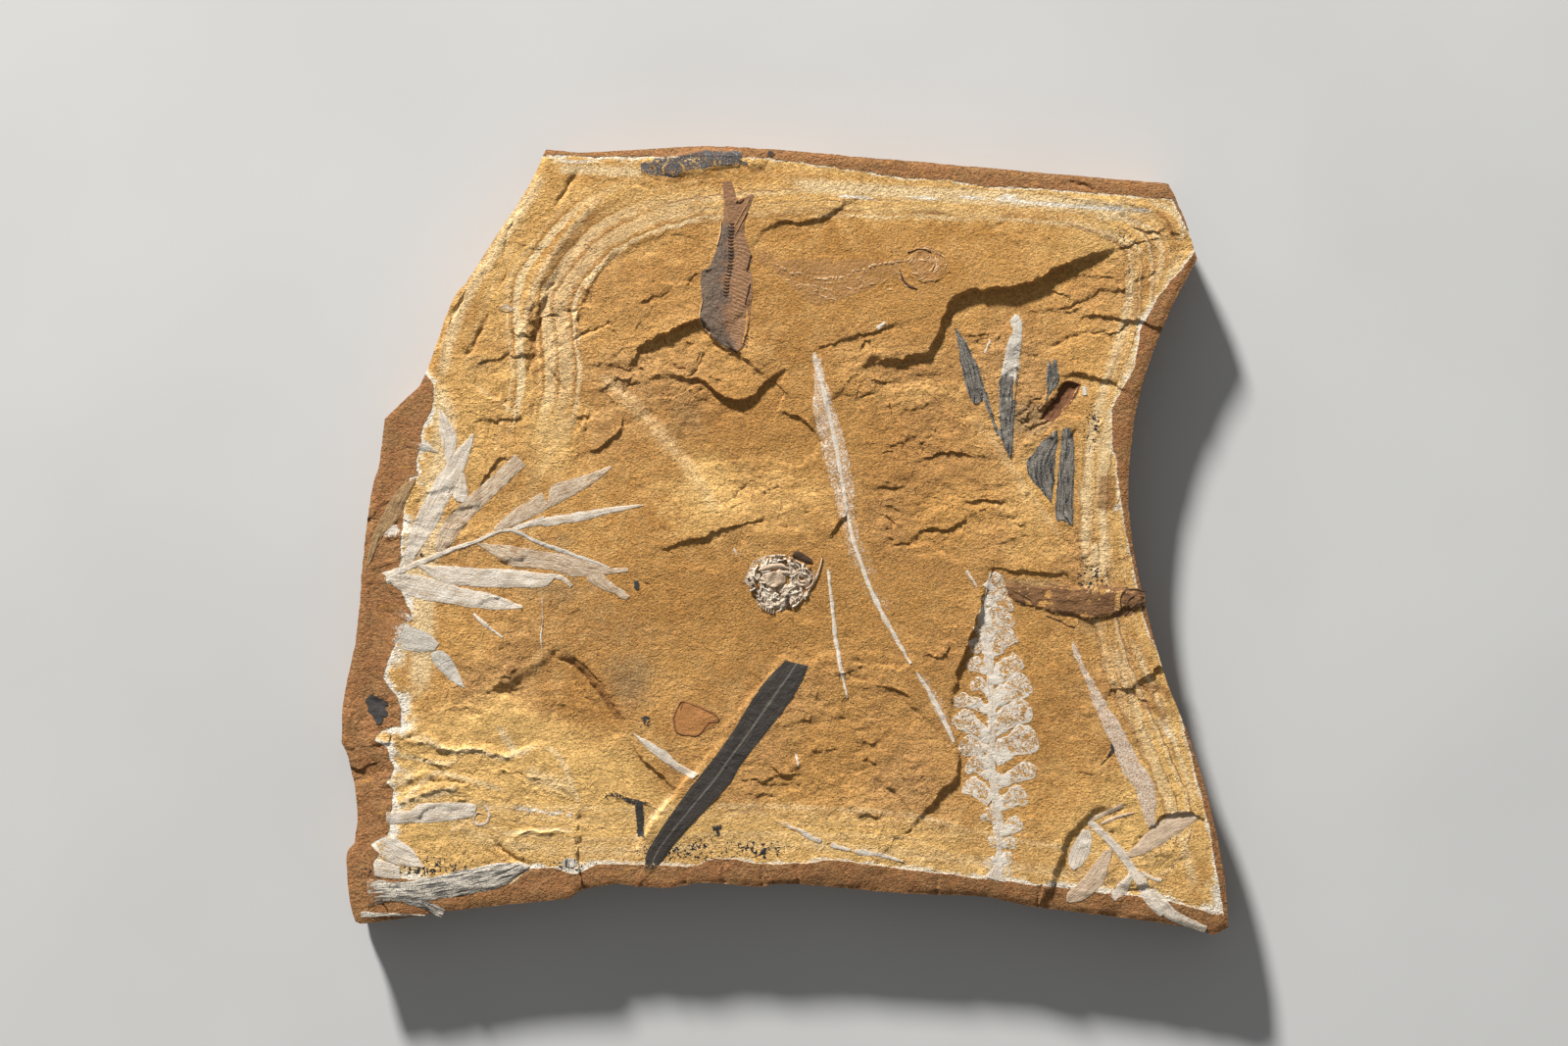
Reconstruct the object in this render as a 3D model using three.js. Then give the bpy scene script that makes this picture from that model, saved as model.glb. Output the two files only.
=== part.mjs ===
// A split slab of bedded siltstone with fossil plants and two small fish on its upper face.
// The slab is one solid: it lies flat on its underside, with +Z up and its origin in the middle
// of its bounding box on the plane that it rests on. All sizes are millimetres.
import * as THREE from "three";

// ---------------------------------------------------------------- driving dimensions (mm)

const SLAB_LENGTH = 380.5; // along X
const SLAB_THICKNESS = 25; // underside to the mean bedding surface
const RELIEF_SCALE = 1; // 1 keeps every ledge at the height given below

const GRAIN_SPACING = 8.3; // point spacing on open bedding surface
const LEDGE_SPACING = 4; // point spacing along ledges and ridges
const RIM_SPACING = 7.5; // point spacing around the outline
const RIM_CLEARANCE = 3.4; // no inner point lies nearer to the outline than this
const FEATURE_CLEARANCE = 2.5; // no open-surface point lies nearer to a ledge than this
const POINT_CLEARANCE = 0.5; // no two points lie nearer than this
const EDGE_GAP = 0.12; // from a ledge's edge to the point that holds it
const FLANK_SHARE = 1.5; // a ridge's flank points, in ridge widths from its crest
const SHAKE_SHARE = 0.45; // how far open-surface points are shaken, in spacings

const RIM_ROUNDING = 1.1; // how far the worn rim drops
const RIM_WIDTH = 3.5; // over what width
const SWELL = { height: 0.45, length: 46, layer: 1 }; // long waves of the bedding surface
const RIPPLE = { height: 0.22, length: 11, layer: 2 }; // short waves

// The walls are broken stone: rings down the side, each set in from the outline.
const WALL_RINGS = [
  { level: 0.82, inset: 0.2, roughness: 0.9, smoothing: 0 },
  { level: 0.5, inset: 1.6, roughness: 1.8, smoothing: 2 },
  { level: 0.2, inset: 1.2, roughness: 1.6, smoothing: 3 },
  { level: 0, inset: 3.4, roughness: 1.3, smoothing: 4 },
];
const WALL_WAVES = { coarse: 13, fine: 6, level: 17, coarseShare: 0.7, levelShare: 0.05, layer: 30 };
const LEAST_INSET = 0.05; // the walls never stand out past the outline
const UNDERSIDE_SPACING = 24;
const FLAKE_SPACING = 12;

// ---------------------------------------------------------------- plan grid
// Places on the slab are read off a drawing grid: east (right) and south (down) in grid steps.

const PLAN = { west: 348, east: 1254, north: 149, south: 954 };
const GRID_STEP = SLAB_LENGTH / (PLAN.east - PLAN.west); // 0.42 mm
const PLAN_MIDDLE = [(PLAN.west + PLAN.east) / 2, (PLAN.north + PLAN.south) / 2];

/** Turns a grid place [east, south] into slab millimetres. */
function toSlab([east, south]) {
  return new THREE.Vector2((east - PLAN_MIDDLE[0]) * GRID_STEP, (PLAN_MIDDLE[1] - south) * GRID_STEP);
}

// The outline, clockwise from the north-west corner, as smooth runs that meet at corners.
const OUTLINE_RUNS = [
  [[557, 152], [596, 155], [660, 152], [741, 149], [920, 163], [1040, 174], [1193, 187]],
  [[1193, 187], [1209, 223], [1222, 264]],
  [[1222, 264], [1192, 322], [1164, 399], [1154, 464], [1152, 510], [1160, 577], [1185, 677],
    [1215, 756], [1236, 826], [1250, 897], [1254, 946]],
  [[1254, 946], [1240, 954]],
  [[1240, 954], [1186, 942], [1059, 926], [1001, 915], [924, 912], [805, 902], [772, 905],
    [720, 901], [679, 906], [630, 902]],
  [[630, 902], [597, 907], [580, 917]],
  [[580, 917], [463, 929], [378, 942], [362, 941]],
  [[362, 941], [356, 917], [353, 873], [361, 861]],
  [[361, 861], [364, 825], [356, 778], [348, 758]],
  [[348, 758], [350, 712], [363, 647], [371, 557], [379, 499], [386, 473], [392, 427]],
  [[392, 427], [428, 393]],
  [[428, 393], [440, 365], [461, 307], [478, 284], [500, 250], [538, 192], [557, 152]],
];

// ---------------------------------------------------------------- relief of the upper face
// A ledge is a break between two bedding levels. Walking along its line, the high side is on the
// left. `drop` is its height at evenly shared stations, `reach` how far it fades on each side,
// `face` the width of its sloping face, and `lift` the share of the drop that stands above.

const LEDGES = {
  northPlateau: {
    line: [[874, 378], [886, 368], [910, 364], [936, 362], [954, 346], [960, 322], [974, 302],
      [1000, 294], [1040, 289], [1070, 280], [1089, 268], [1123, 260], [1140, 254]],
    drop: [0.4, 2.2, 2.6, 2.9, 3.4, 4.2, 5, 5, 4.2, 3, 0.6], reach: 34, face: 1.6, lift: 0.5,
  },
  plateauFoot: {
    line: [[1040, 318], [1080, 314], [1110, 305], [1130, 294], [1155, 300], [1176, 307]],
    drop: [0, 0.6, 0.7, 0.5, 0.6, 0], reach: 8,
  },
  fishWest: {
    line: [[632, 370], [644, 367], [660, 350], [684, 334], [714, 325], [730, 346], [756, 361],
      [784, 384]],
    drop: [0.3, 1.8, 3, 3.2, 2.8, 1.2, 1.4, 0.6], reach: 22, face: 1.2,
  },
  fishSouth: {
    line: [[652, 388], [684, 382], [718, 388], [740, 404], [760, 407], [786, 386], [806, 376]],
    drop: [0.3, 0.8, 1.6, 2.6, 2.6, 1.8, 0.3], reach: 18, face: 0.9,
  },
  faintFishNorth: {
    line: [[768, 246], [790, 228], [840, 223], [862, 207], [880, 200]],
    drop: [0.3, 1.1, 1.2, 1, 0], reach: 14,
  },
  faintFishSouth: {
    line: [[822, 362], [848, 350], [880, 341], [914, 332], [936, 324]],
    drop: [0.2, 0.8, 0.9, 0.7, 0], reach: 10,
  },
  bladeWest: {
    line: [[794, 419], [806, 424], [820, 428], [838, 449]],
    drop: [0.3, 1.2, 1.4, 0.4], reach: 9,
  },
  bladeHollow: {
    line: [[838, 553], [850, 543], [862, 526], [864, 514]],
    drop: [0.2, 1.3, 1.4, 0], reach: 8,
  },
  midSouthWest: {
    line: [[660, 564], [684, 559], [709, 550], [739, 541]],
    drop: [0.1, 0.8, 1.4, 1.2], reach: 14,
  },
  eastA: {
    line: [[932, 546], [950, 537], [966, 538], [992, 527]],
    drop: [0.5, 1.2, 1.2, 0.2], reach: 10,
  },
  eastB: {
    line: [[975, 517], [985, 511], [1010, 510], [1036, 517]],
    drop: [0.2, 1, 1, 0.2], reach: 9,
  },
  eastC: {
    line: [[934, 471], [950, 463], [980, 462], [1002, 467]],
    drop: [0.2, 1, 0.9, 0.2], reach: 9,
  },
  eastD: {
    line: [[884, 492], [898, 498], [928, 494]],
    drop: [0.2, 0.8, 0.1], reach: 8,
  },
  woodNorth: {
    line: [[1003, 577], [1020, 581], [1060, 585], [1082, 583], [1104, 596]],
    drop: [0.2, 1, 1.2, 1, 0], reach: 12,
  },
  hollowLeafNorth: {
    line: [[1082, 384], [1097, 380], [1120, 383], [1150, 397]],
    drop: [0.3, 1.5, 1.4, 0.2], reach: 10,
  },
  eastRim: {
    line: [[1100, 329], [1120, 322], [1145, 324], [1184, 331]],
    drop: [0.2, 1.1, 1.2, 0.8], reach: 10,
  },
  southEastBlock: {
    line: [[1062, 926], [1070, 900], [1085, 862], [1102, 840], [1122, 823], [1147, 819], [1170, 818]],
    drop: [2.6, 2.8, 2.8, 2, 1.4, 0.8, 0], reach: 22, face: 1,
  },
  southEastLeaf: {
    line: [[1168, 850], [1180, 840], [1190, 830], [1222, 832], [1236, 846]],
    drop: [0.4, 1.2, 1.5, 1.2, 0.4], reach: 12,
  },
  rockWestOfFern: {
    line: [[932, 840], [950, 820], [967, 800], [976, 775], [973, 745], [970, 712], [979, 682],
      [990, 655], [1000, 625], [1008, 596]],
    drop: [0.6, 1.8, 2.2, 1, 0.5, 1, 2.4, 3, 2.6, 0.4], reach: 20, face: 1.1,
  },
  southJoint: {
    line: [[597, 913], [590, 875], [592, 857], [590, 818]],
    drop: [1.6, 1.4, 1, 0.2], reach: 12,
  },
  streakSouth: {
    line: [[638, 757], [664, 782], [697, 808]],
    drop: [0.4, 1.3, 1.5], reach: 11,
  },
  shootNorth: {
    line: [[486, 505], [491, 492], [508, 470], [527, 466]],
    drop: [0.2, 0.9, 0.9, 0.1], reach: 7,
  },
  shootEast: {
    line: [[592, 466], [610, 459], [628, 443], [634, 428]],
    drop: [0.3, 1.1, 1.1, 0.2], reach: 9,
  },
  bladeSouthStep: {
    line: [[896, 699], [908, 699], [934, 713]],
    drop: [0.2, 1.2, 0.2], reach: 6,
  },
  hollowEast: {
    line: [[1154, 702], [1168, 690], [1184, 680]],
    drop: [0.3, 1.6, 1.8], reach: 9,
  },
  panSouthWest: {
    line: [[856, 532], [805, 546], [764, 546], [738, 536], [716, 506], [695, 476], [662, 432],
      [632, 403], [599, 381]],
    drop: [0.2, 1.2, 1.6, 1.9, 1.9, 1.8, 1.3, 0.7, 0], reach: 20, face: 3.6,
  },
  bladeRidge: {
    line: [[1004, 577], [975, 574], [950, 560], [920, 558], [902, 566]],
    drop: [0.2, 0.8, 0.8, 0.7, 0.1], reach: 8, face: 1.2,
  },
  darkLeafRim: {
    line: [[856, 686], [850, 672], [841, 668], [829, 677], [811, 678], [800, 673], [783, 690],
      [765, 713], [752, 735], [728, 767], [699, 801], [683, 818], [665, 840], [652, 868]],
    drop: [0.2, 0.8, 0.9, 0.9, 1, 1, 1, 1.1, 1.3, 1.8, 2.4, 2.2, 0.4], reach: 16, face: 1.4,
  },
  shootRidge: {
    line: [[536, 428], [513, 409], [492, 401], [476, 388]],
    drop: [0.2, 0.9, 0.8, 0], reach: 8, face: 1,
  },
  southWestShell: {
    line: [[592, 822], [585, 798], [573, 777], [553, 761], [522, 775], [485, 764], [461, 767],
      [440, 759], [424, 743]],
    drop: [0.2, 1, 1.5, 1.4, 1.5, 1.3, 1.2, 1, 0.2], reach: 14, face: 1.8,
  },
  southWestInner: {
    line: [[490, 803], [455, 799], [424, 804], [404, 824]],
    drop: [0.2, 0.9, 0.9, 0.2], reach: 9, face: 1.4,
  },
  southWestLow: {
    line: [[592, 852], [562, 847], [534, 850], [516, 860]],
    drop: [0.2, 0.7, 0.7, 0.1], reach: 8,
  },
  greyLeafRidge: {
    line: [[1120, 428], [1078, 430], [1048, 448], [1034, 464]],
    drop: [0.2, 0.9, 0.9, 0.2], reach: 9, face: 1,
  },
  bladeLowerRidge: {
    line: [[934, 666], [930, 678], [914, 683], [892, 679]],
    drop: [0.2, 0.9, 0.8, 0], reach: 7, face: 0.9,
  },
  innerBand: {
    line: [[596, 388], [587, 350], [588, 316], [614, 272], [652, 246], [712, 226]],
    drop: [0.1, 0.6, 0.7, 0.6, 0.5, 0.1], reach: 9, face: 1.4,
  },
  eastBand: {
    line: [[1118, 640], [1126, 672], [1136, 702], [1152, 736], [1166, 770], [1178, 794]],
    drop: [0, 0.5, 0.6, 0.6, 0.5, 0], reach: 8, face: 1,
  },
  southRind: {
    line: [[524, 902], [560, 886], [674, 882], [721, 877], [839, 879], [918, 885], [1002, 896],
      [1063, 903], [1136, 911], [1191, 918], [1247, 934]],
    drop: [1.6, 2.8, 3.2, 3.2, 3.2, 3, 3, 2.6, 2.4, 2, 1.4], reach: 60, face: 11.5, lift: 0,
  },
  westRind: {
    line: [[440, 388], [430, 450], [425, 484], [411, 536], [409, 598], [420, 626], [394, 679],
      [410, 724], [384, 749], [402, 805], [381, 878], [384, 902]],
    drop: [0.6, 1.2, 1.6, 1.8, 1.8, 1.6, 1.8, 2, 1.6, 1.8, 1.6, 1], reach: 60, face: 9, lift: 0,
  },
};

// A ridge or groove: `height` at evenly shared stations, below zero for a groove or a crack.
const RIDGES = {
  northWestBand: {
    line: [[640, 196], [598, 216], [570, 254], [552, 278], [538, 316], [530, 356], [526, 396]],
    height: [0.1, 0.7, 0.9, 0.9, 0.8, 0.7, 0.1], width: 2.4,
  },
  northWestTrough: {
    line: [[590, 246], [575, 282], [556, 318], [544, 356], [542, 398]],
    height: [-0.2, -0.9, -0.9, -0.8, -0.2], width: 1.9,
  },
  westSlot: { line: [[497, 320], [489, 341], [478, 361]], height: [-0.5, -1.3, -0.8], width: 0.9 },
  northSlot: {
    line: [[592, 170], [583, 188], [574, 203], [565, 218]],
    height: [-0.3, -1, -1.1, -0.3], width: 0.9,
  },
  westCrack: { line: [[555, 371], [570, 388], [580, 410]], height: [-0.3, -0.8, -0.3], width: 0.6 },
  bandCrack: { line: [[580, 346], [600, 340], [628, 327]], height: [-0.3, -0.8, -0.3], width: 0.6 },
  eastCrack: {
    line: [[1060, 358], [1090, 347], [1120, 339], [1146, 338]],
    height: [-0.3, -0.7, -0.7, -0.2], width: 0.6,
  },
  southWestCrack: {
    line: [[500, 853], [522, 873], [550, 885]],
    height: [-0.5, -1.4, -0.4], width: 0.8,
  },
  northEastBand: {
    line: [[1060, 200], [1130, 205], [1172, 212], [1192, 226], [1196, 246], [1186, 276]],
    height: [0.1, 0.5, 0.6, 0.7, 0.5, 0.1], width: 2,
  },
  northEastInner: {
    line: [[1122, 236], [1140, 230], [1158, 242], [1166, 262], [1166, 288]],
    height: [0.1, 0.5, 0.5, 0.5, 0.1], width: 1.4,
  },
  crumpledBack: {
    line: [[772, 600], [786, 582], [806, 578], [826, 590]],
    height: [0.5, 1, 0.9, 0.4], width: 1.6,
  },
  crumpledRibs: {
    line: [[778, 614], [798, 606], [818, 610]],
    height: [0.4, 0.8, 0.3], width: 1.3,
  },
  needle: {
    line: [[845, 582], [851, 645], [865, 712]],
    height: [0.3, 0.5, 0.2], width: 0.8,
  },
  bladeMidrib: {
    line: [[832, 364], [845, 420], [858, 490], [869, 545], [889, 600], [926, 674]],
    height: [0.2, 0.4, 0.5, 0.5, 0.5, 0.2], width: 1.1,
  },
};

// A patch is a closed line with the height of the ground inside it at each of its corners:
// below zero for a hollow, above zero for a fossil that stands proud. `wall` is its side's width.
const PATCHES = {
  wedgeHollow: {
    line: [[500, 706], [531, 687], [548, 673], [566, 657], [601, 682], [633, 723], [640, 735],
      [634, 754], [604, 772], [576, 775], [546, 736]],
    height: [-1.8, -5, -5.8, -5.8, -4.6, -3, -2, -0.9, -0.6, -0.6, -0.7], wall: 1.5,
  },
  brownLeafHollow: {
    line: [[1090, 388], [1103, 391], [1088, 416], [1074, 430], [1061, 428], [1080, 398]],
    height: [-2, -1.2, -0.8, -0.8, -1.6, -2.2], wall: 0.9,
  },
  westNotch: {
    line: [[476, 291], [466, 322], [458, 331], [462, 312]],
    height: [-1.4, -1.2, -1.2, -1.4], wall: 0.9,
  },
  crumpledFossil: {
    line: [[764, 588], [780, 568], [804, 565], [832, 580], [836, 600], [818, 616], [792, 625],
      [770, 612]],
    height: [0.5, 0.8, 0.6, 0.6, 0.8, 0.6, 0.9, 0.6], wall: 3.2,
  },
  woodBar: {
    line: [[1024, 597], [1063, 596], [1118, 598], [1168, 607], [1170, 618], [1118, 631],
      [1078, 628], [1032, 612]],
    height: [0.4, 0.7, 1, 1, 1.1, 1.1, 0.8, 0.4], wall: 0.9,
  },
  leafWest: {
    line: [[406, 572], [424, 532], [444, 488], [474, 446], [490, 445], [482, 466], [452, 520],
      [430, 560]],
    height: [0.3, 0.45, 0.5, 0.45, 0.45, 0.5, 0.5, 0.4], wall: 0.4,
  },
  leafNorth: {
    line: [[446, 562], [476, 520], [506, 484], [529, 467], [538, 474], [524, 504], [490, 545],
      [462, 560]],
    height: [0.3, 0.45, 0.5, 0.4, 0.4, 0.5, 0.5, 0.4], wall: 0.4,
  },
  leafNorthEast: {
    line: [[498, 546], [524, 522], [562, 498], [597, 483], [624, 476], [599, 496], [557, 519],
      [525, 534]],
    height: [0.3, 0.4, 0.5, 0.5, 0.4, 0.5, 0.5, 0.4], wall: 0.4,
  },
  leafEast: {
    line: [[522, 538], [556, 527], [600, 520], [656, 515], [628, 525], [600, 530], [557, 536]],
    height: [0.3, 0.5, 0.5, 0.3, 0.45, 0.5, 0.4], wall: 0.4,
  },
  leafMiddle: {
    line: [[487, 553], [531, 559], [583, 568], [642, 580], [624, 586], [582, 586], [536, 580],
      [499, 562]],
    height: [0.3, 0.45, 0.5, 0.35, 0.4, 0.5, 0.5, 0.4], wall: 0.4,
  },
  leafLower: {
    line: [[428, 576], [487, 579], [548, 582], [584, 597], [560, 598], [496, 597], [447, 588]],
    height: [0.3, 0.45, 0.5, 0.4, 0.4, 0.5, 0.4], wall: 0.4,
  },
  leafSouth: {
    line: [[400, 588], [461, 597], [513, 610], [534, 619], [517, 624], [461, 619], [409, 599]],
    height: [0.3, 0.45, 0.5, 0.3, 0.4, 0.5, 0.4], wall: 0.4,
  },
};

// The underside is a rough split, flat in the middle, with shallow flakes gone along its edges.
const UNDERSIDE_FLAKES = {
  northFlake: {
    line: [[600, 240], [700, 205], [790, 232], [770, 300], [660, 330], [590, 292]],
    height: [1.2, 1.8, 1.4, 0.9, 0.8, 1], wall: 4,
  },
  eastFlake: {
    line: [[1010, 560], [1100, 520], [1135, 590], [1120, 680], [1050, 700], [1000, 640]],
    height: [0.9, 1.6, 2, 1.8, 1, 0.8], wall: 5,
  },
  southFlake: {
    line: [[430, 760], [520, 730], [640, 780], [620, 850], [500, 880], [420, 850]],
    height: [1.6, 1, 0.8, 1.4, 2, 2], wall: 5,
  },
};

// ---------------------------------------------------------------- repeatable randomness

/** A small repeatable random generator, 0 to 1. */
function randomSource(seed) {
  let state = seed;
  return () => {
    state = (state + 0x6d2b79f5) | 0;
    let mixed = Math.imul(state ^ (state >>> 15), 1 | state);
    mixed = (mixed + Math.imul(mixed ^ (mixed >>> 7), 61 | mixed)) ^ mixed;
    return ((mixed ^ (mixed >>> 14)) >>> 0) / 4294967296;
  };
}

/** A repeatable value between -1 and 1 for a whole-numbered lattice place. */
function latticeValue(column, row, layer) {
  const seed = Math.imul(column, 73856093) ^ Math.imul(row, 19349663) ^ Math.imul(layer, 83492791);
  return 2 * randomSource(seed)() - 1;
}

/** Smooth noise between -1 and 1 over the plan, with lattice cells of the given length. */
function smoothNoise(x, y, length, layer) {
  const column = Math.floor(x / length);
  const row = Math.floor(y / length);
  const across = THREE.MathUtils.smoothstep(x / length - column, 0, 1);
  const along = THREE.MathUtils.smoothstep(y / length - row, 0, 1);
  const { lerp } = THREE.MathUtils;
  const low = lerp(latticeValue(column, row, layer), latticeValue(column + 1, row, layer), across);
  const high = lerp(
    latticeValue(column, row + 1, layer),
    latticeValue(column + 1, row + 1, layer),
    across,
  );
  return lerp(low, high, along);
}

// ---------------------------------------------------------------- lines on the plan

/** The value at a share (0 to 1) of a list of evenly shared stations. */
function atShare(values, share) {
  const place = THREE.MathUtils.clamp(share, 0, 1) * (values.length - 1);
  const before = Math.min(Math.floor(place), values.length - 2);
  return THREE.MathUtils.lerp(values[before], values[before + 1], place - before);
}

/** A line of slab points with its running lengths. */
function measuredLine(points, closed = false) {
  const path = closed ? [...points, points[0]] : points;
  const lengths = [0];
  for (let i = 1; i < path.length; i += 1) {
    lengths.push(lengths[i - 1] + path[i].distanceTo(path[i - 1]));
  }
  return { path, lengths, total: lengths[lengths.length - 1] };
}

/** The nearest place on a line: its signed distance (positive to the left) and its share. */
function nearestOn(line, point) {
  let best = { distance: Infinity, side: 0, share: 0 };
  for (let i = 1; i < line.path.length; i += 1) {
    const start = line.path[i - 1];
    const run = line.path[i].clone().sub(start);
    const toPoint = point.clone().sub(start);
    const along = THREE.MathUtils.clamp(toPoint.dot(run) / run.lengthSq(), 0, 1);
    const distance = toPoint.distanceTo(run.clone().multiplyScalar(along));
    const side = run.cross(toPoint) / run.length();
    const tie = Math.abs(distance - best.distance) < 1e-6;
    if (distance < best.distance - 1e-6 || (tie && Math.abs(side) > Math.abs(best.side))) {
      const length = line.lengths[i - 1] + along * run.length();
      best = { distance, side, share: length / line.total };
    }
  }
  return { distance: best.distance * Math.sign(best.side || 1), share: best.share };
}

/** Points at even steps along a line, each with the direction of its left-hand side. */
function stepsAlong(line, spacing) {
  const count = Math.max(2, Math.round(line.total / spacing));
  const steps = [];
  for (let i = 0; i <= count; i += 1) {
    const length = (line.total * i) / count;
    let leg = 1;
    while (leg < line.path.length - 1 && line.lengths[leg] < length) {
      leg += 1;
    }
    const run = line.path[leg].clone().sub(line.path[leg - 1]);
    const along = (length - line.lengths[leg - 1]) / run.length();
    const place = line.path[leg - 1].clone().addScaledVector(run, along);
    steps.push({ place, left: new THREE.Vector2(-run.y, run.x).normalize(), share: i / count });
  }
  return steps;
}

/** True where a point lies inside a closed loop of points. */
function isInside(loop, point) {
  let inside = false;
  for (let i = 0, j = loop.length - 1; i < loop.length; j = i, i += 1) {
    const a = loop[i];
    const b = loop[j];
    const crosses = a.y > point.y !== b.y > point.y;
    if (crosses && point.x < ((b.x - a.x) * (point.y - a.y)) / (b.y - a.y) + a.x) {
      inside = !inside;
    }
  }
  return inside;
}

/** Shortest distance from a point to a closed loop. */
function distanceToLoop(loopLine, point) {
  return Math.abs(nearestOn(loopLine, point).distance);
}

// ---------------------------------------------------------------- the relief

/** The height that one ledge adds at a signed distance from its line. */
function ledgeHeight(ledge, distance, share) {
  const drop = atShare(ledge.drop, share);
  const above = drop * ledge.lift;
  const below = above - drop;
  if (distance >= 0) {
    return above * Math.exp(-distance / ledge.reach);
  }
  if (distance <= -ledge.face) {
    return below * Math.exp((distance + ledge.face) / ledge.reach);
  }
  return THREE.MathUtils.lerp(above, below, -distance / ledge.face);
}

/** The height inside a patch: its corners' heights, blended, and faded over its wall. */
function patchHeight(patch, point) {
  if (!isInside(patch.corners, point)) {
    return 0;
  }
  let weightSum = 0;
  let heightSum = 0;
  patch.corners.forEach((corner, i) => {
    const weight = 1 / (corner.distanceToSquared(point) + 0.5);
    weightSum += weight;
    heightSum += weight * patch.height[i];
  });
  const depthIn = distanceToLoop(patch.measured, point);
  return (heightSum / weightSum) * Math.min(1, depthIn / patch.wall);
}

/** Prepares the ledges, ridges and patches: their lines in slab millimetres. */
function prepare(features, defaults, closed) {
  return Object.values(features).map((feature) => {
    const corners = feature.line.map(toSlab);
    return { ...defaults, ...feature, corners, measured: measuredLine(corners, closed) };
  });
}

const ledges = prepare(LEDGES, { face: 0.6, lift: 0.5 }, false);
const ridges = prepare(RIDGES, {}, false);
const patches = prepare(PATCHES, {}, true);
const flakes = prepare(UNDERSIDE_FLAKES, {}, true);

/** The height of the upper face at a point, before the rim's rounding. */
function bedHeight(point) {
  let height = 0;
  for (const wave of [SWELL, RIPPLE]) {
    height += wave.height * smoothNoise(point.x, point.y, wave.length, wave.layer);
  }
  for (const ledge of ledges) {
    const { distance, share } = nearestOn(ledge.measured, point);
    height += ledgeHeight(ledge, distance, share);
  }
  for (const ridge of ridges) {
    const { distance, share } = nearestOn(ridge.measured, point);
    height += atShare(ridge.height, share) * Math.exp(-((distance / ridge.width) ** 2));
  }
  for (const patch of patches) {
    height += patchHeight(patch, point);
  }
  return SLAB_THICKNESS + RELIEF_SCALE * height;
}

/** The height of the upper face with the worn rim. */
function topHeight(point, rimDistance) {
  const wear = 1 - THREE.MathUtils.smoothstep(rimDistance, 0, RIM_WIDTH);
  return bedHeight(point) - RIM_ROUNDING * wear;
}

/** The height of the underside above the plane that the slab rests on. */
function undersideHeight(point) {
  return flakes.reduce((height, flake) => height + patchHeight(flake, point), 0);
}

// ---------------------------------------------------------------- points

/** The outline's points, counter-clockwise seen from above. */
function outlinePoints() {
  const loop = [];
  for (const run of OUTLINE_RUNS) {
    const places = run.map(toSlab).map(({ x, y }) => new THREE.Vector3(x, y, 0));
    const curve = new THREE.CatmullRomCurve3(places, false, "centripetal");
    const count = Math.max(1, Math.round(curve.getLength() / RIM_SPACING));
    curve.getSpacedPoints(count).slice(0, -1).forEach(({ x, y }) => {
      loop.push(new THREE.Vector2(x, y));
    });
  }
  return loop.reverse();
}

/** Points that hold the ledges, ridges and patches. */
function featurePoints() {
  const points = [];
  for (const { measured, face } of ledges) {
    for (const { place, left } of stepsAlong(measured, LEDGE_SPACING)) {
      points.push(place.clone().addScaledVector(left, EDGE_GAP));
      points.push(place.clone().addScaledVector(left, -face - EDGE_GAP));
    }
  }
  for (const { measured, width } of ridges) {
    for (const { place, left } of stepsAlong(measured, LEDGE_SPACING)) {
      points.push(place);
      points.push(place.clone().addScaledVector(left, FLANK_SHARE * width));
      points.push(place.clone().addScaledVector(left, -FLANK_SHARE * width));
    }
  }
  for (const patch of patches) {
    points.push(...patchPoints(patch, LEDGE_SPACING));
  }
  return points;
}

/** Points that hold one patch: its edge, and the foot or brow of its wall. */
function patchPoints({ measured, wall, corners }, spacing) {
  const points = [];
  for (const { place, left } of stepsAlong(measured, spacing)) {
    const inward = isInside(corners, place.clone().addScaledVector(left, 0.05)) ? 1 : -1;
    points.push(place.clone().addScaledVector(left, -inward * EDGE_GAP));
    points.push(place.clone().addScaledVector(left, inward * (wall + EDGE_GAP)));
  }
  return points;
}

/** Points in a shaken triangular pattern over the outline's box. */
function scatteredPoints(loop, spacing, random) {
  const box = new THREE.Box2().setFromPoints(loop);
  const rowStep = spacing * Math.sqrt(0.75);
  const points = [];
  let row = 0;
  for (let y = box.min.y; y < box.max.y; y += rowStep) {
    for (let x = box.min.x + (row % 2) * spacing * 0.5; x < box.max.x; x += spacing) {
      const shake = new THREE.Vector2(random() - 0.5, random() - 0.5);
      points.push(new THREE.Vector2(x, y).addScaledVector(shake, spacing * SHAKE_SHARE));
    }
    row += 1;
  }
  return points;
}

/** Adds the candidates that lie well inside the loop and clear of the points before them. */
function addClear(points, candidates, clearance, loop) {
  const loopLine = measuredLine(loop, true);
  const kept = [...points];
  for (const point of candidates) {
    const near = (other) => other.distanceToSquared(point) < clearance * clearance;
    const inside = isInside(loop, point) && distanceToLoop(loopLine, point) > RIM_CLEARANCE;
    if (inside && !kept.some(near)) {
      kept.push(point);
    }
  }
  return kept;
}

// ---------------------------------------------------------------- triangulation

/** The circle through three points, as its centre and squared radius. */
function circleThrough(a, b, c) {
  const twiceArea = 2 * (a.x * (b.y - c.y) + b.x * (c.y - a.y) + c.x * (a.y - b.y));
  const aa = a.lengthSq();
  const bb = b.lengthSq();
  const cc = c.lengthSq();
  const centre = new THREE.Vector2(
    (aa * (b.y - c.y) + bb * (c.y - a.y) + cc * (a.y - b.y)) / twiceArea,
    (aa * (c.x - b.x) + bb * (a.x - c.x) + cc * (b.x - a.x)) / twiceArea,
  );
  return { centre, radiusSq: centre.distanceToSquared(a) };
}

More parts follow.
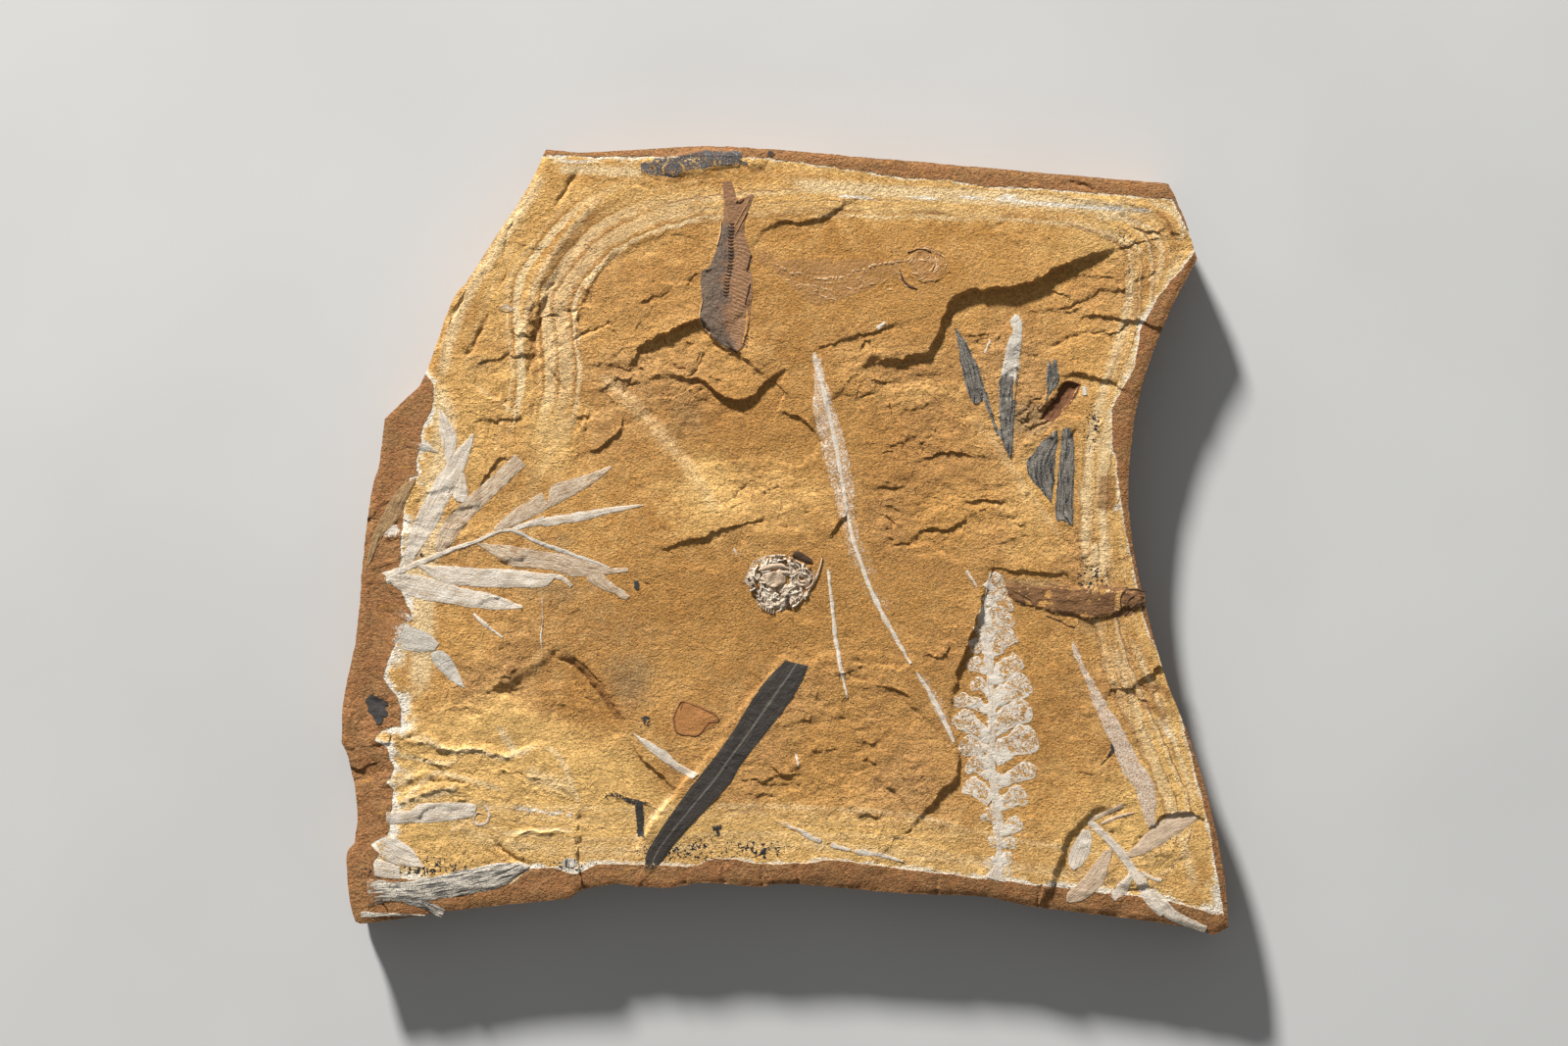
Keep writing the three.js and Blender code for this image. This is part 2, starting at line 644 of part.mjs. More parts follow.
/** Delaunay triangles over the points (Bowyer-Watson), counter-clockwise. */
function triangulate(points) {
  const far = 1e4;
  const corners = [
    new THREE.Vector2(-far, -far),
    new THREE.Vector2(far, -far),
    new THREE.Vector2(0, far),
  ];
  const all = [...points, ...corners];
  const n = points.length;
  const withCircle = (indices) => ({ indices, ...circleThrough(...indices.map((i) => all[i])) });
  let triangles = [withCircle([n, n + 1, n + 2])];
  points.forEach((point, index) => {
    const hole = new Map();
    const untouched = [];
    for (const triangle of triangles) {
      if (triangle.centre.distanceToSquared(point) >= triangle.radiusSq) {
        untouched.push(triangle);
        continue;
      }
      const [a, b, c] = triangle.indices;
      for (const [from, to] of [[a, b], [b, c], [c, a]]) {
        if (!hole.delete(`${to},${from}`)) {
          hole.set(`${from},${to}`, [from, to]);
        }
      }
    }
    const fan = [...hole.values()].map(([from, to]) => withCircle([from, to, index]));
    triangles = untouched.concat(fan);
  });
  return triangles.map(({ indices }) => indices).filter((indices) => indices.every((i) => i < n));
}

/** Triangles over the loop and the points inside it, without those outside the loop. */
function triangulateInside(points, loop) {
  const kept = triangulate(points).filter(([a, b, c]) => {
    const middle = points[a].clone().add(points[b]).add(points[c]).divideScalar(3);
    return isInside(loop, middle);
  });
  const open = new Set();
  for (const [a, b, c] of kept) {
    for (const [from, to] of [[a, b], [b, c], [c, a]]) {
      if (!open.delete(`${to},${from}`)) {
        open.add(`${from},${to}`);
      }
    }
  }
  const isRim = (key) => {
    const [from, to] = key.split(",").map(Number);
    return to === (from + 1) % loop.length;
  };
  if (open.size !== loop.length || ![...open].every(isRim)) {
    throw new Error("the surface's edge doesn't follow the outline");
  }
  return kept;
}

// ---------------------------------------------------------------- walls

/** A loop with each point moved towards the middle of its neighbours, several times. */
function smoothLoop(loop, times) {
  let smooth = loop.map((point) => point.clone());
  for (let pass = 0; pass < times; pass += 1) {
    smooth = smooth.map((point, i) => {
      const before = smooth[(i + smooth.length - 1) % smooth.length];
      const after = smooth[(i + 1) % smooth.length];
      return point.clone().multiplyScalar(2).add(before).add(after).divideScalar(4);
    });
  }
  return smooth;
}

/** The inward direction at each point of a counter-clockwise loop. */
function inwardDirections(loop) {
  return loop.map((_, i) => {
    const before = loop[(i + loop.length - 2) % loop.length];
    const after = loop[(i + 2) % loop.length];
    const run = after.clone().sub(before);
    return new THREE.Vector2(-run.y, run.x).normalize();
  });
}

/** One ring of the broken wall, as points in space. */
function wallRing(loop, rimHeights, ring, ringIndex) {
  const smooth = smoothLoop(loop, ring.smoothing);
  const inward = inwardDirections(smooth);
  const wave = (point, length, kind) => {
    return smoothNoise(point.x, point.y, length, WALL_WAVES.layer + 3 * ringIndex + kind);
  };
  return smooth.map((point, i) => {
    const coarse = wave(point, WALL_WAVES.coarse, 0);
    const shake = THREE.MathUtils.lerp(wave(point, WALL_WAVES.fine, 1), coarse, WALL_WAVES.coarseShare);
    const inset = Math.max(LEAST_INSET, ring.inset + ring.roughness * shake);
    const place = point.clone().addScaledVector(inward[i], inset);
    const shift = WALL_WAVES.levelShare * wave(point, WALL_WAVES.level, 2);
    const level = ring.level === 0 ? 0 : ring.level + shift;
    return new THREE.Vector3(place.x, place.y, level * rimHeights[i]);
  });
}

// ---------------------------------------------------------------- the slab

/** The slab as one closed, indexed geometry. */
function slabGeometry() {
  const random = randomSource(20);
  const loop = outlinePoints();
  const loopLine = measuredLine(loop, true);

  const ledgePlan = addClear(loop, featurePoints(), POINT_CLEARANCE, loop);
  const open = scatteredPoints(loop, GRAIN_SPACING, random);
  const plan = addClear(ledgePlan, open, FEATURE_CLEARANCE, loop);
  const topTriangles = triangulateInside(plan, loop);
  const top = plan.map((point, i) => {
    const rimDistance = i < loop.length ? 0 : distanceToLoop(loopLine, point);
    return new THREE.Vector3(point.x, point.y, topHeight(point, rimDistance));
  });

  const rimHeights = loop.map((_, i) => top[i].z);
  const rings = WALL_RINGS.map((ring, i) => wallRing(loop, rimHeights, ring, i));

  const foot = rings[rings.length - 1].map(({ x, y }) => new THREE.Vector2(x, y));
  const flakePoints = flakes.flatMap((flake) => patchPoints(flake, FLAKE_SPACING));
  const flakePlan = addClear(foot, flakePoints, POINT_CLEARANCE, foot);
  const spread = scatteredPoints(foot, UNDERSIDE_SPACING, random);
  const base = addClear(flakePlan, spread, FEATURE_CLEARANCE, foot);
  const baseTriangles = triangulateInside(base, foot);
  const underside = base.slice(foot.length).map((point) => {
    return new THREE.Vector3(point.x, point.y, undersideHeight(point));
  });

  const vertices = [...top, ...rings.flat(), ...underside];
  const triangles = [...topTriangles];
  const ringStart = (ring) => (ring === 0 ? 0 : top.length + (ring - 1) * loop.length);
  for (let ring = 0; ring < rings.length; ring += 1) {
    for (let i = 0; i < loop.length; i += 1) {
      const next = (i + 1) % loop.length;
      const upper = [ringStart(ring) + i, ringStart(ring) + next];
      const lower = [ringStart(ring + 1) + i, ringStart(ring + 1) + next];
      triangles.push([upper[0], lower[0], upper[1]], [upper[1], lower[0], lower[1]]);
    }
  }
  const baseStart = ringStart(rings.length);
  for (const [a, b, c] of baseTriangles) {
    triangles.push([baseStart + a, baseStart + c, baseStart + b]);
  }

  const box = new THREE.Box3().setFromPoints(vertices);
  const middle = box.getCenter(new THREE.Vector3());
  const positions = vertices.flatMap(({ x, y, z }) => [x - middle.x, y - middle.y, z - box.min.z]);
  const geometry = new THREE.BufferGeometry();
  geometry.setAttribute("position", new THREE.Float32BufferAttribute(positions, 3));
  geometry.setIndex(triangles.flat());
  geometry.computeVertexNormals();
  return geometry;
}

const siltstone = new THREE.MeshStandardMaterial({
  color: 0xba894c,
  roughness: 0.93,
  metalness: 0,
  flatShading: true,
});

const slab = new THREE.Mesh(slabGeometry(), siltstone);
slab.name = "fossil_slab";

const fossilPlantSlab = new THREE.Group();
fossilPlantSlab.add(slab);

export default fossilPlantSlab;
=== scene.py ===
"""Dresses the fossil plant slab: one split slab of bedded siltstone and the fossils on its face."""

import logging
import math
from collections.abc import Iterator
from contextlib import contextmanager
from dataclasses import dataclass
from enum import Enum
from functools import cached_property

import bpy
import numpy as np
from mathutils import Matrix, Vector
from mathutils.bvhtree import BVHTree

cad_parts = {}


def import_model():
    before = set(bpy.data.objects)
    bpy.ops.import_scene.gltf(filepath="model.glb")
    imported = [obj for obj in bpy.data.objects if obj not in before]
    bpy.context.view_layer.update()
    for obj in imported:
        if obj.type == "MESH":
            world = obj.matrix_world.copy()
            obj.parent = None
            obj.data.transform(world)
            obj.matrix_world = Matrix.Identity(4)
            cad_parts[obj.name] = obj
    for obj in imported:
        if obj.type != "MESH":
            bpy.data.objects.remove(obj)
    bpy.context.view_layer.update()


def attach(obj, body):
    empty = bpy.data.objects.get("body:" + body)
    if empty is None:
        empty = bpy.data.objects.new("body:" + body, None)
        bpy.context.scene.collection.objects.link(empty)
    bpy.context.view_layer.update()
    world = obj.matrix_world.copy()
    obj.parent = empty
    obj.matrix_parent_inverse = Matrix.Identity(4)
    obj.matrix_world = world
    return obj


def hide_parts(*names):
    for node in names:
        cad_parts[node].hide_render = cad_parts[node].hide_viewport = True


LOG = logging.getLogger("fossil_slab")

MM = 0.001
GRID_STEP = 0.42  # mm to one step of the plan grid
PLAN_MIDDLE = np.array([801.0, 551.5])
BED_LEVEL = 25.0  # mm, underside to the mean bedding surface

# Places on the plan grid: east, south, east, south ... in a row or in pairs.
Line = tuple[float, ...] | tuple[tuple[float, float], ...]
Colour = tuple[int, int, int]  # a screen colour, 0 to 255


# ------------------------------------------------------------------ plan and numbers


def to_slab(line: Line) -> np.ndarray:
    """Turns plan grid places (east, south) into slab millimetres.

    Args:
        line: places on the plan grid.

    Returns:
        An (n, 2) array in millimetres.
    """
    places = np.asarray(line, float).reshape(-1, 2)
    return (places - PLAN_MIDDLE) * np.array([GRID_STEP, -GRID_STEP])


def linear(colour: Colour) -> tuple[float, ...]:
    """Turns a screen colour into the linear colour that a shader takes."""
    shares = (c / 255 for c in colour)
    return tuple(s / 12.92 if s <= 0.04045 else ((s + 0.055) / 1.055) ** 2.4 for s in shares)


def smoothstep(value: np.ndarray, low: float, high: float) -> np.ndarray:
    """A soft step from 0 at low to 1 at high."""
    t = np.clip((value - low) / (high - low), 0, 1)
    return t * t * (3 - 2 * t)


def stations_of(path: np.ndarray) -> np.ndarray:
    """How far along a path each of its points lies."""
    return np.concatenate([[0], np.cumsum(np.linalg.norm(np.diff(path, axis=0), axis=1))])


def read_path(path: np.ndarray, known: np.ndarray, wanted: np.ndarray) -> np.ndarray:
    """Reads a path between its points.

    Args:
        path: the path's (n, 2) points.
        known: the station of each of them, in rising order.
        wanted: the stations at which the path is read.

    Returns:
        One point for each of these.
    """
    return np.stack([np.interp(wanted, known, path[:, i]) for i in (0, 1)], axis=1)


def closed_up(loop: np.ndarray) -> np.ndarray:
    """The loop with its first point once more at its end."""
    return np.vstack([loop, loop[:1]])


def rightward(runs: np.ndarray) -> np.ndarray:
    """The directions to the right of runs."""
    runs = runs / np.linalg.norm(runs, axis=1, keepdims=True)
    return np.stack([runs[:, 1], -runs[:, 0]], axis=1)


def resampled(path: np.ndarray, count: int) -> np.ndarray:
    """Lays a path's points at even steps.

    Args:
        path: the path's points.
        count: how many steps it gets.

    Returns:
        The count + 1 points.
    """
    known = stations_of(path)
    return read_path(path, known, np.linspace(0, known[-1], count + 1))


def rounded_line(points: np.ndarray, per_leg: int = 6) -> np.ndarray:
    """Draws a smooth line through points.

    Args:
        points: the (n, 2) points that the line passes through.
        per_leg: how many points each leg of the line gets.

    Returns:
        The points of the line.
    """
    if len(points) < 3:
        return points
    ends = np.vstack([2 * points[0] - points[1], points, 2 * points[-1] - points[-2]])
    t = np.linspace(0, 1, per_leg, endpoint=False)[:, None]
    legs = []
    for a, b, c, d in zip(ends[:-3], ends[1:-2], ends[2:-1], ends[3:]):
        legs.append(
            0.5 * (2 * b + (c - a) * t + (2 * a - 5 * b + 4 * c - d) * t**2
                   + (3 * b - a - 3 * c + d) * t**3)
        )
    return np.vstack([*legs, points[-1:]])


def at_stations(values: float | tuple[float, ...], share: np.ndarray) -> np.ndarray:
    """Reads values that stand at even stations of a line; one number tapers at its ends.

    Args:
        values: the values, or one number.
        share: shares along the line.

    Returns:
        One value a share.
    """
    if isinstance(values, float | int):
        values = (0.2 * values, values, values, 0.2 * values)
    return np.interp(share, np.linspace(0, 1, len(values)), values)


def path_length(path: np.ndarray) -> float:
    """The length of a path of points."""
    return float(np.linalg.norm(np.diff(path, axis=0), axis=1).sum())


class Noise:
    """Smooth repeatable noise between -1 and 1 over the plan."""

    def __init__(self, seed: int) -> None:
        """Makes the lattice of values for this seed."""
        self.lattice = np.random.default_rng(seed).uniform(-1, 1, (256, 256))

    def at(self, x: np.ndarray, y: np.ndarray, length: float) -> np.ndarray:
        """Reads the noise.

        Args:
            x: places eastward in mm.
            y: places northward in mm.
            length: the size of the noise's cells in mm.

        Returns:
            One value a place.
        """
        u, v = x / length, y / length
        column, row = np.floor(u).astype(int), np.floor(v).astype(int)
        s, t = u - column, v - row
        s, t = s * s * (3 - 2 * s), t * t * (3 - 2 * t)
        c0, c1, r0, r1 = column & 255, (column + 1) & 255, row & 255, (row + 1) & 255
        low = self.lattice[r0, c0] * (1 - s) + self.lattice[r0, c1] * s
        high = self.lattice[r1, c0] * (1 - s) + self.lattice[r1, c1] * s
        return low * (1 - t) + high * t

    def rough(self, x: np.ndarray, y: np.ndarray, length: float, octaves: int = 3) -> np.ndarray:
        """Adds octaves of the noise, each half as long and half as high as the last.

        Args:
            x: places eastward in mm.
            y: places northward in mm.
            length: the size of the longest octave's cells in mm.
            octaves: how many octaves.

        Returns:
            One value a place.
        """
        total = np.zeros_like(x)
        for octave in range(octaves):
            share = 0.5**octave
            total += share * self.at(x + 17.3 * octave, y - 9.1 * octave, length * share)
        return total


def nearest_on(path: np.ndarray, points: np.ndarray) -> tuple[np.ndarray, np.ndarray]:
    """The nearest place on a path for each point.

    Args:
        path: (n, 2) points of the path.
        points: (m, 2) places.

    Returns:
        The signed distances (positive to the path's left) and the shares along the path.
    """
    legs = np.linalg.norm(np.diff(path, axis=0), axis=1)
    starts = np.concatenate([[0], np.cumsum(legs)])
    best = np.full(len(points), np.inf)
    side = np.zeros(len(points))
    share = np.zeros(len(points))
    for i, leg in enumerate(legs):
        if leg < 1e-9:
            continue
        run = (path[i + 1] - path[i]) / leg
        rel = points - path[i]
        along = np.clip(rel @ run, 0, leg)
        gap = rel - along[:, None] * run
        distance = np.hypot(gap[:, 0], gap[:, 1])
        cross = run[0] * rel[:, 1] - run[1] * rel[:, 0]
        tie = np.abs(distance - best) < 1e-6
        closer = (distance < best - 1e-6) | (tie & (np.abs(cross) > np.abs(side)))
        best = np.where(closer, distance, best)
        side = np.where(closer, cross, side)
        share = np.where(closer, (starts[i] + along) / starts[-1], share)
    return best * np.where(side < 0, -1.0, 1.0), share


def inside(loop: np.ndarray, points: np.ndarray) -> np.ndarray:
    """Tells which points lie inside a closed loop.

    Args:
        loop: (n, 2) points of the loop.
        points: (m, 2) places.

    Returns:
        True for each point inside.
    """
    found = np.zeros(len(points), bool)
    x, y = points[:, 0], points[:, 1]
    for a, b in zip(loop, np.roll(loop, 1, axis=0)):
        if a[1] == b[1]:
            continue
        crosses = (a[1] > y) != (b[1] > y)
        found ^= crosses & (x < (b[0] - a[0]) * (y - a[1]) / (b[1] - a[1]) + a[0])
    return found


def near_box(path: np.ndarray, points: np.ndarray, reach: float) -> np.ndarray:
    """The indices of the points that lie within reach of the path's box."""
    low, high = path.min(0) - reach, path.max(0) + reach
    return np.flatnonzero(np.all((points >= low) & (points <= high), axis=1))


def distance_within(path: np.ndarray, points: np.ndarray, limit: float, legs: int = 10) -> np.ndarray:
    """The distance from each point to a path, up to a limit.

    Args:
        path: (n, 2) points of the path.
        points: (m, 2) places.
        limit: the largest distance that is told apart, in mm.
        legs: how many legs of the path are measured at a time.

    Returns:
        The distances in mm.
    """
    found = np.full(len(points), limit)
    for start in range(0, len(path) - 1, legs):
        part = path[start:start + legs + 1]
        near = near_box(part, points, limit)
        if len(near):
            found[near] = np.minimum(found[near], np.abs(nearest_on(part, points[near])[0]))
    return found


# ------------------------------------------------------------------ relief of the upper face


@dataclass(frozen=True)
class Ledge:
    """A break between two bedding levels; walking along it, the high side is on the left.

    drop is its height in mm at even stations, or one height that tapers at the ends, reach how
    far it fades on each side, face the width of its sloping face (one or more, at even
    stations), and lift the share of the drop that stands above.
    """

    line: Line
    drop: float | tuple[float, ...]
    reach: float
    face: float | tuple[float, ...] = 0.55
    lift: float = 0.5

    @cached_property
    def path(self) -> np.ndarray:
        """The line in slab millimetres."""
        return rounded_line(to_slab(self.line), 3)

    def add_to(self, points: np.ndarray, height: np.ndarray) -> None:
        """Adds the ledge to heights.

        Args:
            points: places on the slab in mm.
            height: their heights, which it changes.
        """
        path = self.path
        faces = np.atleast_1d(self.face)
        near = near_box(path, points, 4.5 * self.reach + faces.max())
        distance, share = nearest_on(path, points[near])
        drop, width = at_stations(self.drop, share), at_stations(faces, share)
        above, below = drop * self.lift, drop * (self.lift - 1)
        face = np.clip(-distance / width, 0, 1)
        lifted = above * np.exp(-np.maximum(distance, 0) / self.reach)
        sunk = below * np.exp(np.minimum(distance + width, 0) / self.reach)
        height[near] += np.where(distance >= 0, lifted, above * (1 - face) + sunk * face)


@dataclass(frozen=True)
class Ridge:
    """A ridge, or a groove or crack where its heights (mm, as a ledge's drop) are below zero."""

    line: Line
    height: float | tuple[float, ...]
    width: float

    @cached_property
    def path(self) -> np.ndarray:
        """The line in slab millimetres."""
        return rounded_line(to_slab(self.line), 3)

    def add_to(self, points: np.ndarray, height: np.ndarray) -> None:
        """Adds the ridge to heights.

        Args:
            points: places on the slab in mm.
            height: their heights, which it changes.
        """
        path = self.path
        near = near_box(path, points, 3 * self.width)
        distance, share = nearest_on(path, points[near])
        height[near] += at_stations(self.height, share) * np.exp(-((distance / self.width) ** 2))


@dataclass(frozen=True)
class Patch:
    """A closed line with the height of the ground inside it at each corner (mm)."""

    line: Line
    height: tuple[float, ...]
    wall: float

    def add_to(self, points: np.ndarray, height: np.ndarray) -> None:
        """Adds the patch to heights.

        Args:
            points: places on the slab in mm.
            height: their heights, which it changes.
        """
        corners = to_slab(self.line)
        near = near_box(corners, points, 0)
        near = near[inside(corners, points[near])]
        if not len(near):
            return
        gaps = ((points[near, None] - corners[None]) ** 2).sum(2) + 0.5
        ground = (np.array(self.height) / gaps).sum(1) / (1 / gaps).sum(1)
        depth_in = np.abs(nearest_on(closed_up(corners), points[near])[0])
        height[near] += ground * np.minimum(1, depth_in / self.wall)


LEDGES = (
    # the high ground in the north-east and its foot
    Ledge((874, 378, 886, 368, 936, 362, 954, 346, 960, 322, 974, 302, 1000, 294, 1040, 289, 1070, 280,
        1089, 268, 1140, 254), (0.4, 2, 2.3, 2.5, 3, 3.8, 4.5, 4.5, 3.8, 2.7, 0.6), 34, 1.6),
    Ledge((1040, 318, 1080, 314, 1110, 305, 1130, 294, 1176, 307), (0, 0.6, 0.7, 0.5, 0.6, 0), 8),
    Ledge((1100, 280, 1130, 283, 1150, 292), 0.5, 4),
    Ledge((1003, 242, 1060, 248, 1080, 262), 0.4, 6),
    # below and beside the fish
    Ledge((632, 370, 644, 367, 660, 350, 684, 334, 714, 325, 730, 346, 756, 361, 784, 384), (0.3, 1.8, 3,
        3.2, 2.8, 1.2, 1.4, 0.6), 22, 1.2),
    Ledge((652, 388, 684, 382, 718, 388, 740, 404, 760, 407, 786, 386, 806, 376), (0.3, 0.8, 1.6, 2.6, 2.6,
        1.8, 0.3), 18, 0.9),
    Ledge((768, 246, 790, 228, 840, 223, 862, 207, 880, 200), 1.1, 14),
    Ledge((822, 362, 848, 350, 936, 324), 0.8, 10),
    # beside the long blade
    Ledge((794, 419, 820, 428, 838, 449), 1.3, 9),
    Ledge((838, 553, 850, 543, 862, 526, 864, 514), 1.35, 8),
    Ledge((660, 564, 739, 541), (0.1, 0.8, 1.4, 1.2), 14),
    # the broken ground in the east
    Ledge((932, 546, 950, 537, 966, 538, 992, 527), 1.2, 10),
    Ledge((975, 517, 985, 511, 1010, 510, 1036, 517), 1.0, 9),
    Ledge((934, 471, 950, 463, 980, 462, 1002, 467), 0.95, 9),
    Ledge((884, 492, 898, 498, 928, 494), 0.8, 8),
    Ledge((1003, 577, 1060, 585, 1082, 583, 1104, 596), 1.07, 12),
    Ledge((1082, 384, 1097, 380, 1120, 383, 1150, 397), 1.45, 10),
    Ledge((1100, 329, 1120, 322, 1184, 331), (0.2, 1.1, 1.2, 0.8), 10),
    Ledge((1120, 428, 1078, 430, 1048, 448, 1034, 464), 0.9, 9, 1),
    Ledge((1154, 702, 1184, 680), (0.3, 1.6, 1.8), 9),
    Ledge((1118, 640, 1136, 702, 1178, 794), (0, 0.5, 0.6, 0.6, 0.5, 0), 8, 1),
    # the south-east corner
    Ledge((1062, 926, 1085, 862, 1102, 840, 1122, 823, 1170, 818), (1.5, 1.8, 2, 1.6, 1.3, 0.8, 0), 22,
        2.4),
    Ledge((1168, 850, 1190, 830, 1222, 832, 1236, 846), (0.4, 1.2, 1.5, 1.2, 0.4), 12),
    # the rock west of the fern
    Ledge((932, 840, 967, 800, 976, 775, 970, 712, 1008, 596), (0.6, 1.8, 2.2, 1, 0.5, 1, 2.4, 3, 2.6, 0.4),
        20, 1.1),
    # the joint and the streak in the south
    Ledge((597, 913, 590, 875, 590, 818), (1.6, 1.4, 1, 0.2), 12),
    Ledge((638, 755, 692, 806), 1.3, 9),
    # round the shoot
    Ledge((486, 505, 491, 492, 508, 470, 527, 466), 0.9, 7),
    Ledge((592, 466, 610, 459, 628, 443, 634, 428), 1.1, 9),
    Ledge((536, 428, 513, 409, 492, 401, 476, 388), 0.85, 8, 1),
    Ledge((896, 699, 908, 699, 934, 713), 1.2, 6),
    # the smooth pan in the middle, its ramp and the rippled slope south of it
    Ledge((856, 532, 805, 546, 764, 546, 738, 536, 662, 432, 632, 403, 599, 381), (0.2, 1.2, 1.7, 2, 2, 1.9,
        1.5, 0.9, 0), 20, (12, 24, 24, 20, 9, 4.5, 4.2, 3.2, 2)),
    Ledge((840, 450, 817, 475, 792, 469, 766, 468, 710, 475), (0.2, 0.6, 0.6, 0.5, 0.5, 0.5, 0.5, 0.1), 6,
        0.7),
    Ledge((846, 486, 820, 492, 800, 484, 780, 482, 730, 490), (0.1, 0.4, 0.3, 0.4, 0.1), 4),
    Ledge((850, 500, 826, 506, 800, 500, 742, 505), (0.1, 0.4, 0.3, 0.4, 0.1), 4),
    Ledge((852, 515, 830, 522, 806, 518, 790, 524, 766, 526, 748, 518), 0.4, 4),
    Ledge((846, 532, 820, 538, 790, 540, 764, 538, 745, 530), (0.1, 0.3, 0.4, 0.1), 4),
    Ledge((804, 378, 795, 418), (0.3, 0.9, 0.7), 6),
    # small breaks west of the grey leaves
    Ledge((920, 379, 976, 383), 0.4, 4),
    Ledge((930, 458, 952, 440), 0.6, 4),
    Ledge((1008, 554, 1026, 552, 1058, 538), 0.5, 4),
    Ledge((1018, 527, 1032, 526, 1040, 533, 1054, 530), 0.6, 5),
    Ledge((978, 409, 940, 396, 918, 399, 902, 414), 0.6, 6, 1.2),
    Ledge((1002, 424, 986, 430, 970, 445, 950, 447), 0.55, 5, 0.8),
    Ledge((1075, 560, 1032, 480, 996, 424), 0.9, 12, 4.5),
    Ledge((740, 293, 664, 288, 650, 291), 0.5, 4),
    Ledge((716, 262, 690, 270, 664, 262, 632, 272), 0.4, 5, 1.2),
    Ledge((1004, 577, 975, 574, 950, 560, 920, 558, 902, 566), 0.77, 8, 1.2),
    Ledge((934, 666, 930, 678, 914, 683, 892, 679), 0.85, 7, 0.9),
    # the bright rim beside the dark ribbon leaf
    Ledge((856, 686, 850, 672, 841, 668, 829, 677, 811, 678, 800, 673, 765, 713, 728, 767, 665, 840, 652,
        868), (0.2, 0.8, 0.9, 0.9, 1, 1, 1, 1.1, 1.3, 1.8, 2.4, 2.2, 0.4), 16, 1.4),
    # shell-shaped breaks in the south-west
    Ledge((592, 822, 585, 798, 573, 777, 553, 761, 522, 775, 485, 764, 461, 767, 440, 759, 424, 743), (0.12,
        0.6, 0.9, 0.84, 0.9, 0.78, 0.72, 0.6, 0.12), 14, 3.2),
    Ledge((490, 803, 455, 799, 424, 804, 404, 824), 0.9, 9, 1.4),
    Ledge((592, 852, 562, 847, 534, 850, 516, 860), 0.7, 8),
    Ledge((468, 773, 452, 780, 417, 780, 403, 770), 0.5, 5, 1),
    Ledge((480, 796, 424, 790, 410, 801), 0.5, 4, 1),
    Ledge((480, 872, 468, 878, 459, 867, 445, 861, 419, 868), (0.1, 0.5, 0.5, 0.4, 0.1), 4, 0.8),
    # bands
    Ledge((596, 388, 587, 350, 588, 316, 614, 272, 652, 246, 712, 226), (0.1, 0.6, 0.7, 0.6, 0.5, 0.1), 9,
        1.4),
    # small breaks
    Ledge((762, 585, 744, 575, 732, 581, 707, 581, 673, 575), 0.4, 4, 0.9),
    Ledge((846, 634, 826, 636, 809, 626, 785, 632), 0.5, 4, 0.8),
    Ledge((795, 740, 830, 732, 845, 722), 0.6, 5),
    Ledge((780, 775, 790, 785, 800, 789, 812, 788), 0.85, 5),
    Ledge((745, 800, 765, 795, 785, 800, 810, 800), 0.6, 5),
    Ledge((748, 806, 790, 812, 800, 818), 0.5, 4),
    Ledge((1087, 790, 1100, 787, 1145, 798), 0.5, 4),
    Ledge((570, 782, 572, 802, 590, 818), 0.4, 4),
    Ledge((895, 700, 935, 722, 970, 760), 0.7, 8, 1.0),
    Ledge((888, 786, 912, 806, 935, 835), 0.7, 8, 1.0),
    # the rinds slope away to the south and the west
    Ledge((524, 908, 560, 892, 674, 888, 721, 883, 839, 885, 918, 891, 1191, 924, 1247, 940), (0.1, -0.1,
        -0.1, 0.25, 0.8, 1.1, 1, 0.8, 0.7, 0.5), 60, 7, 0),
    Ledge((440, 388, 425, 484, 411, 536, 409, 598, 420, 626, 394, 679, 410, 724, 384, 749, 402, 805, 381,
        878, 384, 902), (0.6, 1.2, 1.6, 1.8, 1.8, 1.6, 1.8, 2, 1.6, 1.8, 1.6, 1), 60, 9, 0),
)

